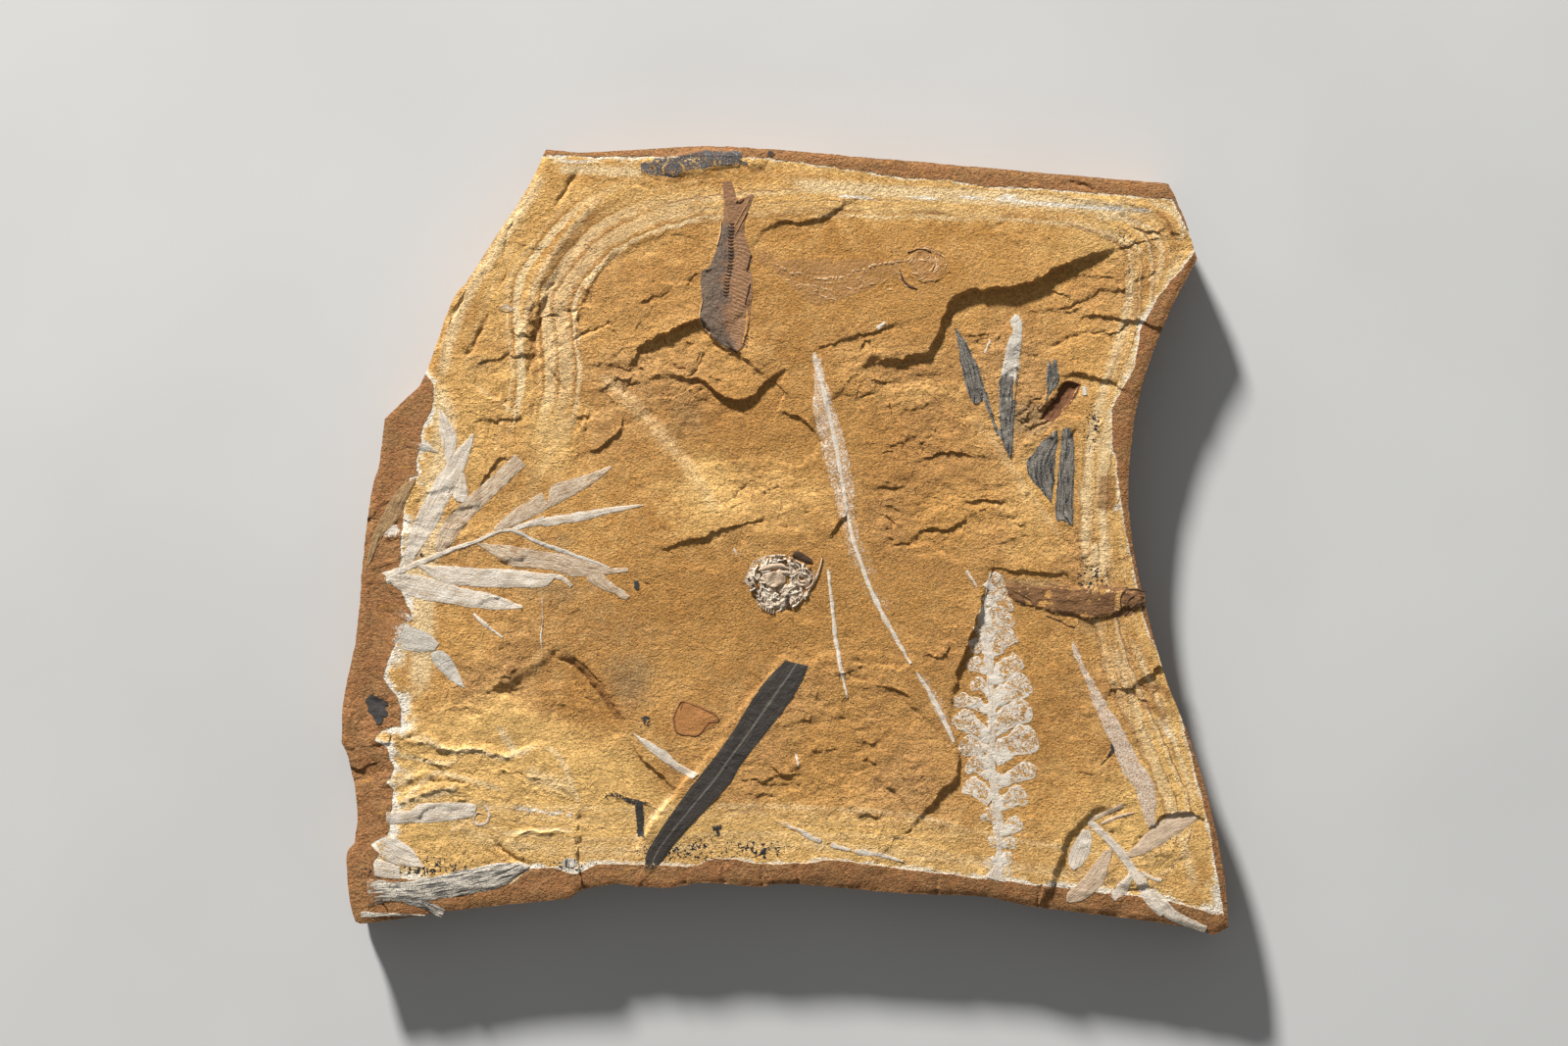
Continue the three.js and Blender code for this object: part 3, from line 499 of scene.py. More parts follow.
RIDGES = (
    # the striated side of the south-west hollow
    Ridge((572, 662, 600, 684, 622, 710, 636, 736), -0.7, 0.55),
    Ridge((568, 668, 594, 690, 616, 716, 630, 738), -0.6, 0.55),
    Ridge((568, 678, 610, 722, 622, 740), -0.55, 0.55),
    Ridge((553, 700, 570, 716, 590, 724, 606, 717), 0.4, 0.7),
    # crests between the shell-shaped hollows in the south-west
    Ridge((402, 746, 420, 757, 433, 757, 467, 772), 0.57, 0.9),
    Ridge((411, 769, 450, 780, 467, 773), 0.6, 0.9),
    Ridge((399, 806, 420, 790, 465, 792, 494, 798), 0.67, 1),
    Ridge((399, 818, 424, 815, 440, 805, 494, 799), 0.67, 1),
    Ridge((425, 744, 447, 760, 465, 767, 486, 766, 515, 773, 536, 763, 553, 760), (0.16, 0.81, 0.81, 0.73,
        0.73, 0.81, 0.24), 1),
    Ridge((504, 856, 520, 860, 536, 849, 588, 848), 0.5, 0.8),
    Ridge((516, 782, 588, 806), 0.4, 0.7),
    Ridge((524, 798, 588, 815), 0.4, 0.7),
    Ridge((668, 430, 722, 510, 738, 540), 0.3, 0.5),
    Ridge((684, 446, 745, 520), 0.25, 0.45),
    Ridge((600, 388, 616, 396, 628, 414, 633, 432, 626, 447), (0.1, 0.4, 0.5, 0.5, 0.2), 0.7),
    Ridge((592, 412, 600, 432, 599, 466), -0.4, 0.5),
    Ridge((551, 506, 553, 518), (-0.2, -0.3), 0.5),
    Ridge((769, 501, 759, 498, 751, 505, 752, 518), -0.5, 0.6),
    Ridge((775, 532, 779, 532), (-0.6, -0.6), 1.0), Ridge((791, 531, 795, 532), (-0.5, -0.5), 1.0),
    Ridge((798, 538, 801, 538), (-0.5, -0.5), 0.9), Ridge((822, 524, 824, 524), (-0.4, -0.4), 0.7),
    Ridge((1062, 239, 1067, 234, 1072, 239, 1067, 244, 1062, 239), (0.3, 0.3), 0.5),
    Ridge((660, 645, 664, 645), (0.6, 0.6), 1.6),
    Ridge((575, 264, 553, 314, 541, 398), (-0.3, -1, -1, -0.8, -0.4), 1.3),
    Ridge((616, 196, 640, 188, 660, 193), 0.5, 1.0),
    Ridge((640, 196, 598, 216, 552, 278, 538, 316, 530, 356, 526, 396), (0.1, 0.7, 0.9, 0.9, 0.8, 0.7, 0.1),
        2.4),
    Ridge((590, 246, 575, 282, 556, 318, 544, 356, 542, 398), -0.87, 1.9),
    Ridge((497, 320, 478, 361), (-0.5, -1.3, -0.8), 0.9),
    Ridge((592, 170, 565, 218), -1.05, 0.9),
    Ridge((555, 371, 570, 388, 580, 410), -0.8, 0.6),
    Ridge((580, 346, 628, 327), -0.8, 0.6),
    Ridge((1060, 358, 1120, 339, 1146, 338), -0.7, 0.6),
    Ridge((500, 853, 522, 873, 550, 885), -1.4, 0.8),
    Ridge((1060, 200, 1130, 205, 1172, 212, 1192, 226, 1196, 246, 1186, 276), (0.1, 0.5, 0.6, 0.7, 0.5,
        0.1), 2),
    Ridge((1122, 236, 1140, 230, 1158, 242, 1166, 262, 1166, 288), 0.5, 1.4),
    Ridge((760, 695, 768, 689, 775, 694, 785, 696), -0.45, 0.45),
    Ridge((744, 419, 770, 426), -0.5, 0.5),
    Ridge((642, 586, 655, 597, 672, 602), -0.5, 0.5),
    Ridge((1042, 366, 1060, 362), (-0.4, -0.3), 0.5),
    Ridge((1084, 315, 1110, 305, 1118, 297), -0.45, 0.5),
    Ridge((1003, 240, 1030, 220), -0.4, 0.5),
    Ridge((875, 405, 897, 400), -0.6, 0.5),
    Ridge((480, 365, 470, 376), (-0.4, -0.3), 0.5),
    Ridge((485, 365, 485, 385), (-0.4, -0.3), 0.45),
    Ridge((536, 212, 524, 225, 512, 262), (-0.3, -0.6, -0.5, -0.1), 0.5),
    Ridge((516, 280, 510, 292), (-0.5, -0.3), 0.5),
    Ridge((491, 458, 499, 435), -0.5, 0.45),
    Ridge((620, 195, 630, 190, 652, 188, 664, 194, 660, 198), (-0.2, -0.5, -0.5, -0.3), 0.5),
    Ridge((550, 224, 560, 218), (-0.4, -0.3), 0.5),
    Ridge((662, 391, 693, 411, 736, 471), 0.3, 0.8),
    Ridge((560, 742, 540, 704), 0.3, 1.2),
    Ridge((978, 860, 988, 866, 1001, 884), (-0.1, -0.7, -0.9), 1.6),
    Ridge((955, 865, 968, 872, 972, 885), 0.5, 1.3),
    Ridge((1165, 875, 1182, 868, 1200, 865), 0.5, 1.1),
    Ridge((1160, 890, 1205, 880, 1225, 870), -0.6, 1.2),
    Ridge((1088, 186, 1122, 195), -0.8, 0.6),
    Ridge((700, 886, 698, 902), (-0.5, -0.7), 0.6),
    Ridge((736, 878, 737, 902), (-0.4, -0.7), 0.6),
    Ridge((780, 882, 779, 904), (-0.5, -0.7), 0.6),
    Ridge((957, 892, 956, 914), (-0.5, -0.8), 0.7),
    Ridge((1064, 904, 1060, 926), (-0.5, -0.8), 0.7),
    Ridge((812, 882, 813, 902), (-0.4, -0.6), 0.6),
)

PATCHES = (
    Patch((500, 706, 531, 687, 548, 673, 566, 657, 601, 682, 633, 723, 640, 735, 634, 754, 604, 772, 576,
        775, 546, 736), (-2.5, -1.6, -1.0, -1.2, -1.9, -1.8, -1.4, -0.8, -0.5, -0.5, -0.6), 3.6),
    Patch((1090, 388, 1103, 391, 1088, 416, 1074, 430, 1061, 428, 1080, 398), (-2, -1.2, -0.8, -0.8, -1.6,
        -2.2), 0.9),
    Patch((476, 291, 466, 322, 458, 331, 462, 312), (-1.4, -1.2, -1.2, -1.4), 0.9),
    Patch((1024, 597, 1063, 596, 1118, 598, 1168, 607, 1170, 618, 1118, 631, 1078, 628, 1032, 612), (0.4,
        0.7, 1, 1, 1.1, 1.1, 0.8, 0.4), 0.9),
    Patch((652, 163, 690, 155, 756, 153, 758, 170, 712, 178, 686, 184), (0.3, 0.5, 0.5, 0.3, 0.4, 0.3),
        1.2),
    Patch((760, 158, 772, 157, 782, 163, 778, 172, 764, 172), (0.6, 0.9, 0.9, 0.7, 0.6), 1.4),
)

# Broken ground: east, south, radius on the plan grid, and how rough it is from 0 to 1.
ROUGH_GROUND = (
    (640, 380, 30, 0.8), (470, 530, 40, 0.7), (1010, 350, 40, 0.6), (740, 250, 60, 0.3), (500, 700, 40, 0.8),
    (912, 530, 26, 1.0), (940, 410, 50, 0.6), (1050, 425, 16, 1.0), (720, 370, 50, 0.8),
    (985, 490, 85, 1.0), (1050, 400, 60, 0.8), (700, 375, 60, 0.7), (800, 770, 60, 0.9),
    (900, 790, 70, 0.9), (480, 800, 90, 0.8), (555, 330, 50, 0.9), (620, 300, 60, 0.5),
    (1120, 300, 50, 0.8), (1180, 240, 45, 0.6), (540, 620, 60, 0.5), (1110, 560, 50, 0.7),
    (1150, 700, 60, 0.6), (1150, 880, 70, 0.7), (880, 370, 45, 0.7), (510, 420, 60, 0.6),
    (775, 515, 60, 0.5), (400, 560, 50, 1.0), (380, 760, 60, 1.0), (800, 893, 400, 0.35),
    (610, 440, 40, 0.6), (860, 690, 45, 0.7), (960, 660, 40, 0.5), (500, 250, 50, 0.4),
)


def small_breaks() -> tuple[Ledge, ...]:
    """Scatters short ragged breaks of a lamina or two over the broken ground.

    Returns:
        The breaks.
    """
    draw = np.random.default_rng(31)
    share = np.linspace(-1, 1, 6)
    breaks = []
    for east, south, radius, rough in ROUGH_GROUND:
        for _ in range(round(7 * rough) if radius < 100 else 0):
            turn, away = draw.uniform(0, 2 * math.pi), radius * draw.uniform(0.1, 0.95)
            heading = draw.normal(-0.25, 0.4) + (math.pi if draw.random() < 0.25 else 0)
            along = share * draw.uniform(7, 26)
            bow = draw.uniform(-6, 7) * (1 - share**2) + draw.normal(0, 1.8, 6)
            x = east + away * math.cos(turn) + along * math.cos(heading) - bow * math.sin(heading)
            y = south + away * math.sin(turn) + along * math.sin(heading) + bow * math.cos(heading)
            drop = draw.uniform(0.25, 0.75)
            line = tuple(np.column_stack([x, y]).ravel())
            breaks.append(Ledge(line, (0, drop, 0.8 * drop, drop, 0), draw.uniform(2.5, 6), 0.4))
    return tuple(breaks)


@dataclass
class Relief:
    """The height of the upper face over the plan; all sizes in mm."""

    swell: float = 0.45  # height of the long waves
    swell_length: float = 46.0
    ripple: float = 0.22  # height of the short waves
    ripple_length: float = 11.0
    lamina: float = 0.42  # thickness of one bedding lamina
    shingle: float = 8.0  # how far apart the laminae step down to the south
    rim_wear: float = 0.7  # how far the worn rim drops
    rim_width: float = 2.4

    def __post_init__(self) -> None:
        """Makes the noises."""
        self.noise = [Noise(seed) for seed in range(11, 17)]
        self.features = (*LEDGES, *small_breaks(), *RIDGES)

    def roughness(self, points: np.ndarray) -> np.ndarray:
        """Finds how broken the ground is.

        Args:
            points: places on the slab in mm.

        Returns:
            One number a place, from 0 to 1.
        """
        total = np.zeros(len(points))
        for east, south, radius, rough in ROUGH_GROUND:
            gap = points - to_slab(((east, south),))
            total += rough * np.exp(-(gap**2).sum(1) / (radius * GRID_STEP) ** 2)
        return np.clip(total, 0, 1)

    def shaken(self, points: np.ndarray) -> np.ndarray:
        """Moves places a little, so that straight breaks run as real ones do.

        Args:
            points: places on the slab in mm.

        Returns:
            The moved places.
        """
        x, y = points.T
        a, b = self.noise[0], self.noise[1]
        return points + np.stack(
            [1.15 * a.at(x, y, 6.1) + 0.65 * a.at(x + 50, y, 2.1),
             1.15 * b.at(x, y, 6.1) + 0.65 * b.at(x, y + 50, 2.1)], axis=1)

    def height(self, points: np.ndarray, rim: np.ndarray) -> np.ndarray:
        """The height of the upper face in mm.

        Args:
            points: (n, 2) places in mm.
            rim: distance of each from the outline, in mm.

        Returns:
            The heights above the plane that the slab lies on.
        """
        x, y = points.T
        shaken = self.shaken(points)
        rough = self.roughness(points)
        total = self.swell * self.noise[2].at(x, y, self.swell_length)
        total += self.ripple * self.noise[3].at(x, y, self.ripple_length)
        for feature in self.features:
            feature.add_to(shaken, total)
        lamina = self.lamina
        drift = 0.7 * self.noise[4].rough(x, y, 31, 3) + 0.3 * self.noise[5].rough(x * 0.6, y, 7, 4)
        shingle = y / self.shingle
        level = (total + drift) / lamina + shingle
        whole = np.floor(level)
        stair = lamina * (whole + smoothstep(level - whole, 0.8, 1.0) - shingle + 0.4) - drift
        total += (0.1 + 0.6 * rough) * (stair - total)
        total += (0.05 + 0.2 * rough) * self.noise[1].rough(x * 0.7, y * 1.3, 3.2, 3)
        total += 0.05 * self.noise[0].rough(x, y, 1.9, 2)
        for feature in PATCHES:
            feature.add_to(shaken, total)
        wear = 1 - smoothstep(rim, 0, self.rim_width)
        return BED_LEVEL + total - self.rim_wear * wear


# ------------------------------------------------------------------ the outline

# The outline clockwise from the north-west corner, as smooth runs that meet at corners.
OUTLINE = {
    "north": ((557, 152, 596, 155, 660, 152, 741, 149, 920, 163, 1040, 174,
               1193, 187),),
    "east": ((1193, 187, 1209, 223, 1222, 264),
             (1222, 264, 1192, 322, 1164, 399, 1154, 464, 1152, 510, 1160, 577,
              1185, 677, 1215, 756, 1236, 826, 1250, 897, 1254, 946)),
    "south": ((1254, 946, 1240, 954),
              (1240, 954, 1186, 942, 1059, 926, 1001, 915, 924, 912, 805, 902,
               772, 905, 720, 901, 679, 906, 630, 902),
              (630, 902, 597, 907, 580, 917),
              (580, 917, 463, 929, 378, 942, 362, 941)),
    "west": ((362, 941, 356, 917, 353, 873, 361, 861),
             (361, 861, 364, 825, 356, 778, 348, 758),
             (348, 758, 350, 712, 363, 647, 371, 557, 379, 499, 386, 473, 392, 427),
             (392, 427, 428, 393),
             (428, 393, 440, 365, 461, 307, 478, 284, 500, 250, 538, 192, 557, 152)),
}


class Outline:
    """The slab's outline as four sides that a square grid of faces can be drawn onto."""

    def __init__(self, across: int, down: int, shake: float = 0.35) -> None:
        """Lays out the sides.

        Args:
            across: faces along the north and south sides.
            down: faces along the east and west sides.
            shake: how ragged the edge is, in mm.
        """
        noise = Noise(41)
        counts = {"north": across, "south": across, "east": down, "west": down}
        self.sides = {}
        for name, runs in OUTLINE.items():
            side = self._stepped([rounded_line(to_slab(run), 8) for run in runs], counts[name])
            x, y = side.T
            inward = -side / np.linalg.norm(side, axis=1, keepdims=True)
            ragged = np.abs(noise.rough(x, y, 5.5, 3)) * shake
            self.sides[name] = side + inward * ragged[:, None]
        self.loop = np.vstack([side[:-1] for side in self.sides.values()])

    @staticmethod
    def _stepped(runs: list[np.ndarray], count: int) -> np.ndarray:
        """Shares steps among the runs of a side by length, so that each corner keeps its point.

        Args:
            runs: the points of each run.
            count: how many steps the side has.

        Returns:
            The side's points, one more than its steps.
        """
        lengths = np.array([path_length(run) for run in runs])
        wanted = lengths / lengths.sum() * count
        steps = np.maximum(1, np.floor(wanted).astype(int))
        while steps.sum() < count:
            steps[np.argmax(wanted - steps)] += 1
        parts = [resampled(run, n)[:-1] for run, n in zip(runs, steps)]
        return np.vstack([*parts, runs[-1][-1:]])

    def at(self, u: np.ndarray, v: np.ndarray) -> np.ndarray:
        """Finds places inside the outline.

        Args:
            u: shares from west to east.
            v: shares from north to south.

        Returns:
            An (n, 2) array in mm.
        """
        def along(side: np.ndarray, share: np.ndarray) -> np.ndarray:
            """The places at shares of a side."""
            return read_path(side, np.linspace(0, 1, len(side)), share)

        north, south = self.sides["north"], self.sides["south"][::-1]
        east, west = self.sides["east"], self.sides["west"][::-1]
        u1, v1 = u[:, None], v[:, None]
        rows = (1 - v1) * along(north, u) + v1 * along(south, u)
        columns = (1 - u1) * along(west, v) + u1 * along(east, v)
        corners = ((1 - u1) * (1 - v1) * north[0] + u1 * (1 - v1) * north[-1]
                   + (1 - u1) * v1 * south[0] + u1 * v1 * south[-1])
        return rows + columns - corners

    def rim_distance(self, points: np.ndarray, limit: float = 8.0) -> np.ndarray:
        """The distance from each point to the outline, up to a limit."""
        return distance_within(closed_up(self.loop), points, limit, 24)


# ------------------------------------------------------------------ colour fields of the stone


@dataclass(frozen=True)
class Stroke:
    """A band of colour along a line: its half width in mm and its strength."""

    line: Line
    width: float
    strength: float = 1.0


@dataclass(frozen=True)
class Zone:
    """A round patch of colour: its centre on the plan grid, radii in mm and strength."""

    east: float
    south: float
    wide: float
    deep: float
    strength: float = 1.0


# The stone that weathering hasn't reached lies inside this line; outside it is the brown rind.
FRESH_STONE = (
    1193, 203, 1060, 192, 1000, 190, 970, 184, 920, 181, 820, 166, 760, 160, 606, 160, 562, 158, 548, 160,
    526, 192, 490, 250, 450, 308, 430, 364, 434, 380, 442, 390, 443, 402, 440, 420, 432, 434, 429, 444, 430,
    456, 426, 463, 425, 474, 427, 484, 418, 488, 413, 515, 409, 555, 409, 598, 411, 607, 420, 626, 400, 663,
    390, 691, 405, 710, 410, 724, 410, 742, 398, 742, 384, 749, 383, 756, 395, 763, 398, 775, 403, 784, 395,
    798, 402, 805, 396, 852, 378, 861, 387, 871, 381, 878, 382, 892, 440, 900, 500, 902, 522, 901, 541, 885,
    564, 884, 587, 892, 610, 881, 674, 882, 700, 884, 712, 883, 721, 877, 747, 876, 770, 880, 793, 881, 824,
    881, 839, 877, 860, 878, 973, 893, 1191, 918, 1245, 933, 1249, 936, 1234, 845, 1202, 718, 1165, 624,
    1157, 577, 1148, 540, 1142, 500, 1140, 470, 1136, 460, 1134, 416, 1158, 374, 1165, 333, 1182, 302, 1216,
    262, 1222, 250, 1208, 228, 1196, 203,
)

CREAM = (
    # painted highlight with the stone's cream: along the lit ramp of the pan
    Stroke((599, 381, 625, 392, 664, 430, 714, 494, 735, 534), 4.6, 0.5),
    # painted highlight with the stone's cream on the lit crests of the shell-shaped breaks, in this stroke
    # and the next four
    Stroke((424, 743, 440, 757, 461, 767, 485, 765, 515, 773, 553, 759), 1.6, 0.85),
    Stroke((553, 759, 573, 775, 592, 822), 1.5, 0.75),
    Stroke((402, 769, 452, 779, 470, 773), 1.3, 0.8),
    Stroke((404, 824, 440, 791, 465, 792, 520, 808), 1.4, 0.8),
    Stroke((504, 852, 562, 846, 590, 850), 1.2, 0.7),
    # painted highlight on the lit rim west of the dark ribbon leaf
    Stroke((640, 864, 690, 804), 1.6, 0.6),
    Stroke((536, 428, 478, 388), 1.1, 0.5),
    Stroke((1072, 560, 1032, 482, 1012, 453), 2.2, 0.35),
    Stroke((508, 740, 528, 772), 2.0, 0.9),
    # painted highlight with the stone's cream on lit crests in the south-west, in this line and the next two
    Stroke((404, 746, 466, 770), 1.6, 0.7),
    Stroke((400, 800, 424, 790), 2.4, 0.8), Stroke((400, 822, 470, 803), 2.2, 0.8),
    Stroke((534, 786, 588, 808), 5, 0.6),
    Stroke((566, 172, 660, 176), 2.6, 0.9),
    Stroke((632, 198, 606, 209, 552, 278, 531, 350, 527, 400), 2.0, 0.6),
    Stroke((560, 170, 478, 300, 458, 350, 448, 400), 3.4, 0.75),
    Stroke((545, 215, 500, 296, 470, 390), 1.2, 0.45),
    Stroke((430, 380, 452, 420, 450, 470, 440, 520, 432, 600, 432, 660, 424, 720), 5.6, 1.0),
    Stroke((540, 520, 552, 600, 546, 700), 2.0, 0.3),
    Stroke((590, 400, 576, 440, 552, 480, 545, 520), 2.6, 0.4),
    Stroke((790, 178, 840, 190, 1110, 210, 1190, 222), 3.2, 1.0),
    Stroke((800, 219, 1060, 226, 1140, 246, 1158, 270), 1.2, 0.7),
    Stroke((1110, 222, 1150, 224, 1176, 236, 1186, 262, 1176, 296), 1.3, 0.8),
    Stroke((1119, 239, 1140, 240, 1158, 250, 1167, 262), 1.0, 0.8),
    Stroke((1170, 203, 1198, 217, 1207, 234, 1203, 248), 1.6, 0.9),
    Stroke((733, 838, 760, 828, 791, 832), 1.2, 0.5), Stroke((1080, 211, 1140, 213), 2.4, 0.8),
    Stroke((1151, 254, 1151, 312, 1122, 410, 1112, 460, 1106, 590), 2.2, 0.8),
    Stroke((1205, 240, 1196, 282, 1152, 376, 1130, 440, 1124, 500, 1128, 560, 1136, 600), 2.6, 0.75),
    Stroke((1172, 305, 1158, 354, 1106, 487, 1103, 536), 1.0, 0.6),
    Stroke((1120, 552, 1119, 590), 3.2, 0.9),
    Stroke((1130, 640, 1204, 850, 1222, 920), 2.8, 0.6),
    Stroke((1150, 640, 1200, 760, 1224, 830), 1.5, 0.8),
    Stroke((420, 820, 680, 826, 760, 822, 920, 830, 1000, 850, 1180, 880), 1.9, 0.5),
    Stroke((400, 780, 440, 800, 480, 850, 600, 868, 760, 862, 900, 868, 1200, 906), 4.2, 0.45),
    # painted highlight with the stone's cream on the lit crests of the bright wedge
    Stroke((985, 430, 1010, 445, 1090, 560), 2.0, 0.45),
)

WHITE = (
    Stroke((800, 200, 976, 202, 1060, 198), 0.7, 0.8),
    Stroke((1000, 204, 1190, 216), 1.2, 0.75),
    Stroke((560, 164, 650, 167), 0.8, 0.7),
    Stroke((380, 934, 422, 936), 1.2, 0.8),
    Stroke((1180, 730, 1200, 760), 1.2, 0.7),
    Stroke((520, 823, 590, 833), 1.0, 0.8),
    Stroke((1145, 512, 1136, 522), 1.6, 0.8),
    Stroke((466, 838, 462, 850, 470, 874), 0.8, 0.5),
)

BROWN = (
    # painted shade: brown along the dim, striated north-east wall of the south-west hollow
    Stroke((568, 662, 600, 688, 636, 738), 2.6, 0.7),
    Stroke((760, 160, 770, 155, 782, 160, 780, 170, 768, 174, 760, 168), 0.8, 0.9),
    Stroke((800, 212, 1060, 220), 0.6, 0.8),
    Stroke((1172, 213, 1185, 218, 1196, 238), 0.7, 0.8),
    Stroke((1160, 222, 1174, 238, 1178, 262), 0.6, 0.6),
    Stroke((1148, 238, 1156, 256, 1157, 290, 1130, 396), 0.5, 0.6),
    Stroke((1164, 700, 1186, 704, 1198, 714), 2.6, 0.9), Stroke((1163, 716, 1194, 730), 3, 0.8),
    Stroke((1179, 216, 1190, 224, 1197, 243), 1.1, 0.9),
    Stroke((1083, 227, 1133, 243, 1151, 262), 1.0, 0.7),
    Stroke((516, 684, 528, 684), 2.4, 0.9), Stroke((700, 720, 716, 740), 4.5, 0.35),
    Stroke((1133, 482, 1128, 522), 4.4, 1.15),
    Stroke((1143, 420, 1142, 478), 0.7, 0.8), Stroke((1120, 540, 1122, 588), 0.6, 0.8),
    Stroke((1168, 810, 1188, 880), 0.6, 0.7), Stroke((1172, 700, 1202, 780), 0.7, 0.8),
    Stroke((1176, 820, 1206, 912), 0.5, 0.6),
    Stroke((1125, 640, 1140, 690, 1166, 752), 0.5, 0.5),
    Stroke((1116, 600, 1140, 668), 0.6, 0.5),
)

# Yellow zones of newly broken stone; on the lit ramp and rippled slope of the pan (782, 508 and 716, 500),
# the bright wedge (1010, 440) and the lit slope at 935, 402 the yellow is painted highlight as well.
FRESH_YELLOW_AND_HIGHLIGHT = (
    Zone(782, 508, 44, 20, 0.5), Zone(716, 500, 14, 20, 0.5), Zone(1010, 440, 14, 12, 0.4),
    Zone(1050, 510, 14, 34, 0.5), Zone(540, 800, 50, 24, 0.8), Zone(430, 850, 40, 34, 0.6),
    Zone(480, 790, 42, 26), Zone(570, 830, 34, 16, 0.9), Zone(760, 850, 60, 12, 0.7),
    Zone(930, 862, 60, 12, 0.6), Zone(1150, 850, 36, 30, 0.7), Zone(470, 440, 22, 40, 0.6),
    Zone(560, 440, 14, 30, 0.7), Zone(620, 200, 40, 12, 0.35), Zone(900, 205, 110, 9, 0.7),
    Zone(1130, 240, 34, 16, 0.6), Zone(1130, 480, 14, 60, 0.6), Zone(520, 280, 20, 34, 0.6),
    Zone(1190, 780, 18, 50, 0.6), Zone(935, 402, 26, 8, 0.4), Zone(520, 742, 10, 14, 0.8),
)

DEEP_OCHRE = (
    Zone(740, 430, 38, 26, 0.8), Zone(900, 280, 60, 22, 0.7), Zone(680, 620, 60, 34, 0.6),
    Zone(930, 440, 50, 36, 0.5), Zone(500, 420, 16, 14, 0.8), Zone(910, 620, 60, 74, 0.55),
    Zone(600, 730, 14, 16, 1.0), Zone(1060, 720, 26, 40, 0.4), Zone(820, 780, 50, 20, 0.4),
    Zone(555, 330, 8, 26, 0.8), Zone(660, 300, 40, 18, 0.4), Zone(1120, 280, 30, 8, 0.5),
)

SPECKS = (
    Zone(1120, 590, 16, 6, 1.0), Zone(1108, 480, 5, 50, 0.7), Zone(1150, 700, 5, 60, 0.7),
    Zone(396, 700, 6, 24, 1.0), Zone(500, 866, 40, 6, 0.9), Zone(715, 175, 40, 5, 0.8),
    Zone(1100, 905, 40, 4, 0.9), Zone(740, 868, 34, 7), Zone(778, 868, 8, 4, 1.6),
    Zone(700, 866, 14, 6, 1.2), Zone(395, 890, 12, 4, 1.6), Zone(460, 888, 30, 3, 1.3),
    Zone(940, 800, 10, 8, 1.1), Zone(1047, 826, 3, 10, 1.0), Zone(967, 840, 8, 4, 1.1),
    Zone(580, 884, 12, 4, 1.2), Zone(1072, 226, 20, 3, 0.9), Zone(1130, 242, 18, 5, 0.9),
    Zone(1150, 270, 4, 16, 0.9), Zone(1117, 432, 4, 10, 1.7), Zone(1180, 840, 20, 30, 0.5),
    Zone(525, 425, 4, 14, 1.3), Zone(512, 520, 6, 3, 1.2), Zone(1115, 590, 6, 5, 1.2),
    Zone(700, 755, 46, 12, 0.5), Zone(1155, 330, 6, 30, 0.6), Zone(940, 199, 90, 3, 0.7),
    Zone(420, 880, 22, 6, 0.9), Zone(1200, 870, 18, 22, 0.6), Zone(800, 762, 26, 6, 0.7),
    Zone(1060, 866, 24, 3, 1.1), Zone(650, 740, 10, 8, 0.6), Zone(870, 840, 30, 6, 0.8),
    Zone(1186, 700, 10, 30, 0.5), Zone(664, 870, 8, 5, 1.3), Zone(1160, 500, 3, 30, 0.6),
    Zone(620, 812, 8, 3, 1.5),
)

STAIN = (
    Zone(1050, 427, 11, 7, 1.4), Zone(1044, 596, 18, 3, 1.0), Zone(700, 430, 14, 18, 0.5),
    Zone(645, 700, 10, 12, 0.6), Zone(490, 372, 8, 6, 0.6), Zone(575, 548, 10, 6, 0.6),
    Zone(620, 640, 26, 18, 0.4), Zone(836, 285, 5, 12, 0.6), Zone(1110, 640, 10, 8, 0.5),
    Zone(786, 157, 3, 2, 1.2), Zone(700, 690, 30, 16, 0.3), Zone(560, 600, 20, 8, 0.5),
)


# The innermost of the bands that follow the slab's edges, clockwise from the south-west.
BAND_GUIDE = (
    560, 560, 566, 500, 592, 400, 587, 316, 592, 300, 614, 272, 640, 251, 712, 226, 880, 216, 1060, 223,
    1129, 241, 1145, 250, 1151, 260, 1153, 280, 1150, 320, 1143, 350, 1120, 420, 1108, 470, 1103, 536, 1106,
    590, 1125, 670, 1135, 700, 1180, 800, 1190, 830, 1186, 858, 1160, 872, 1020, 856, 960, 845, 920, 832,
    740, 828, 590, 834, 500, 820, 440, 800,
)


class Tint(Enum):
    """The two tints of the stone's bands, each named after its colour in the finish."""

    PALE = "cream"
    DARK = "brown"


# The rings round the north-west corner: mm outward from the guide, half width, strength and tint.
# The brown rings beside the pale ridges are partly the stone's brown lines and partly painted shadow.
CORNER_RINGS = (
    (0.5, 0.4, 0.95, Tint.PALE), (1.6, 0.2, 0.6, Tint.DARK), (5.6, 2.6, 0.5, Tint.PALE),
    (8.9, 0.25, 0.5, Tint.DARK), (12.4, 2.0, 0.6, Tint.PALE), (15.3, 0.3, 0.6, Tint.DARK),
    (18.6, 1.0, 0.4, Tint.DARK), (24.6, 1.4, 0.95, Tint.PALE), (27.0, 0.3, 0.6, Tint.DARK),
)
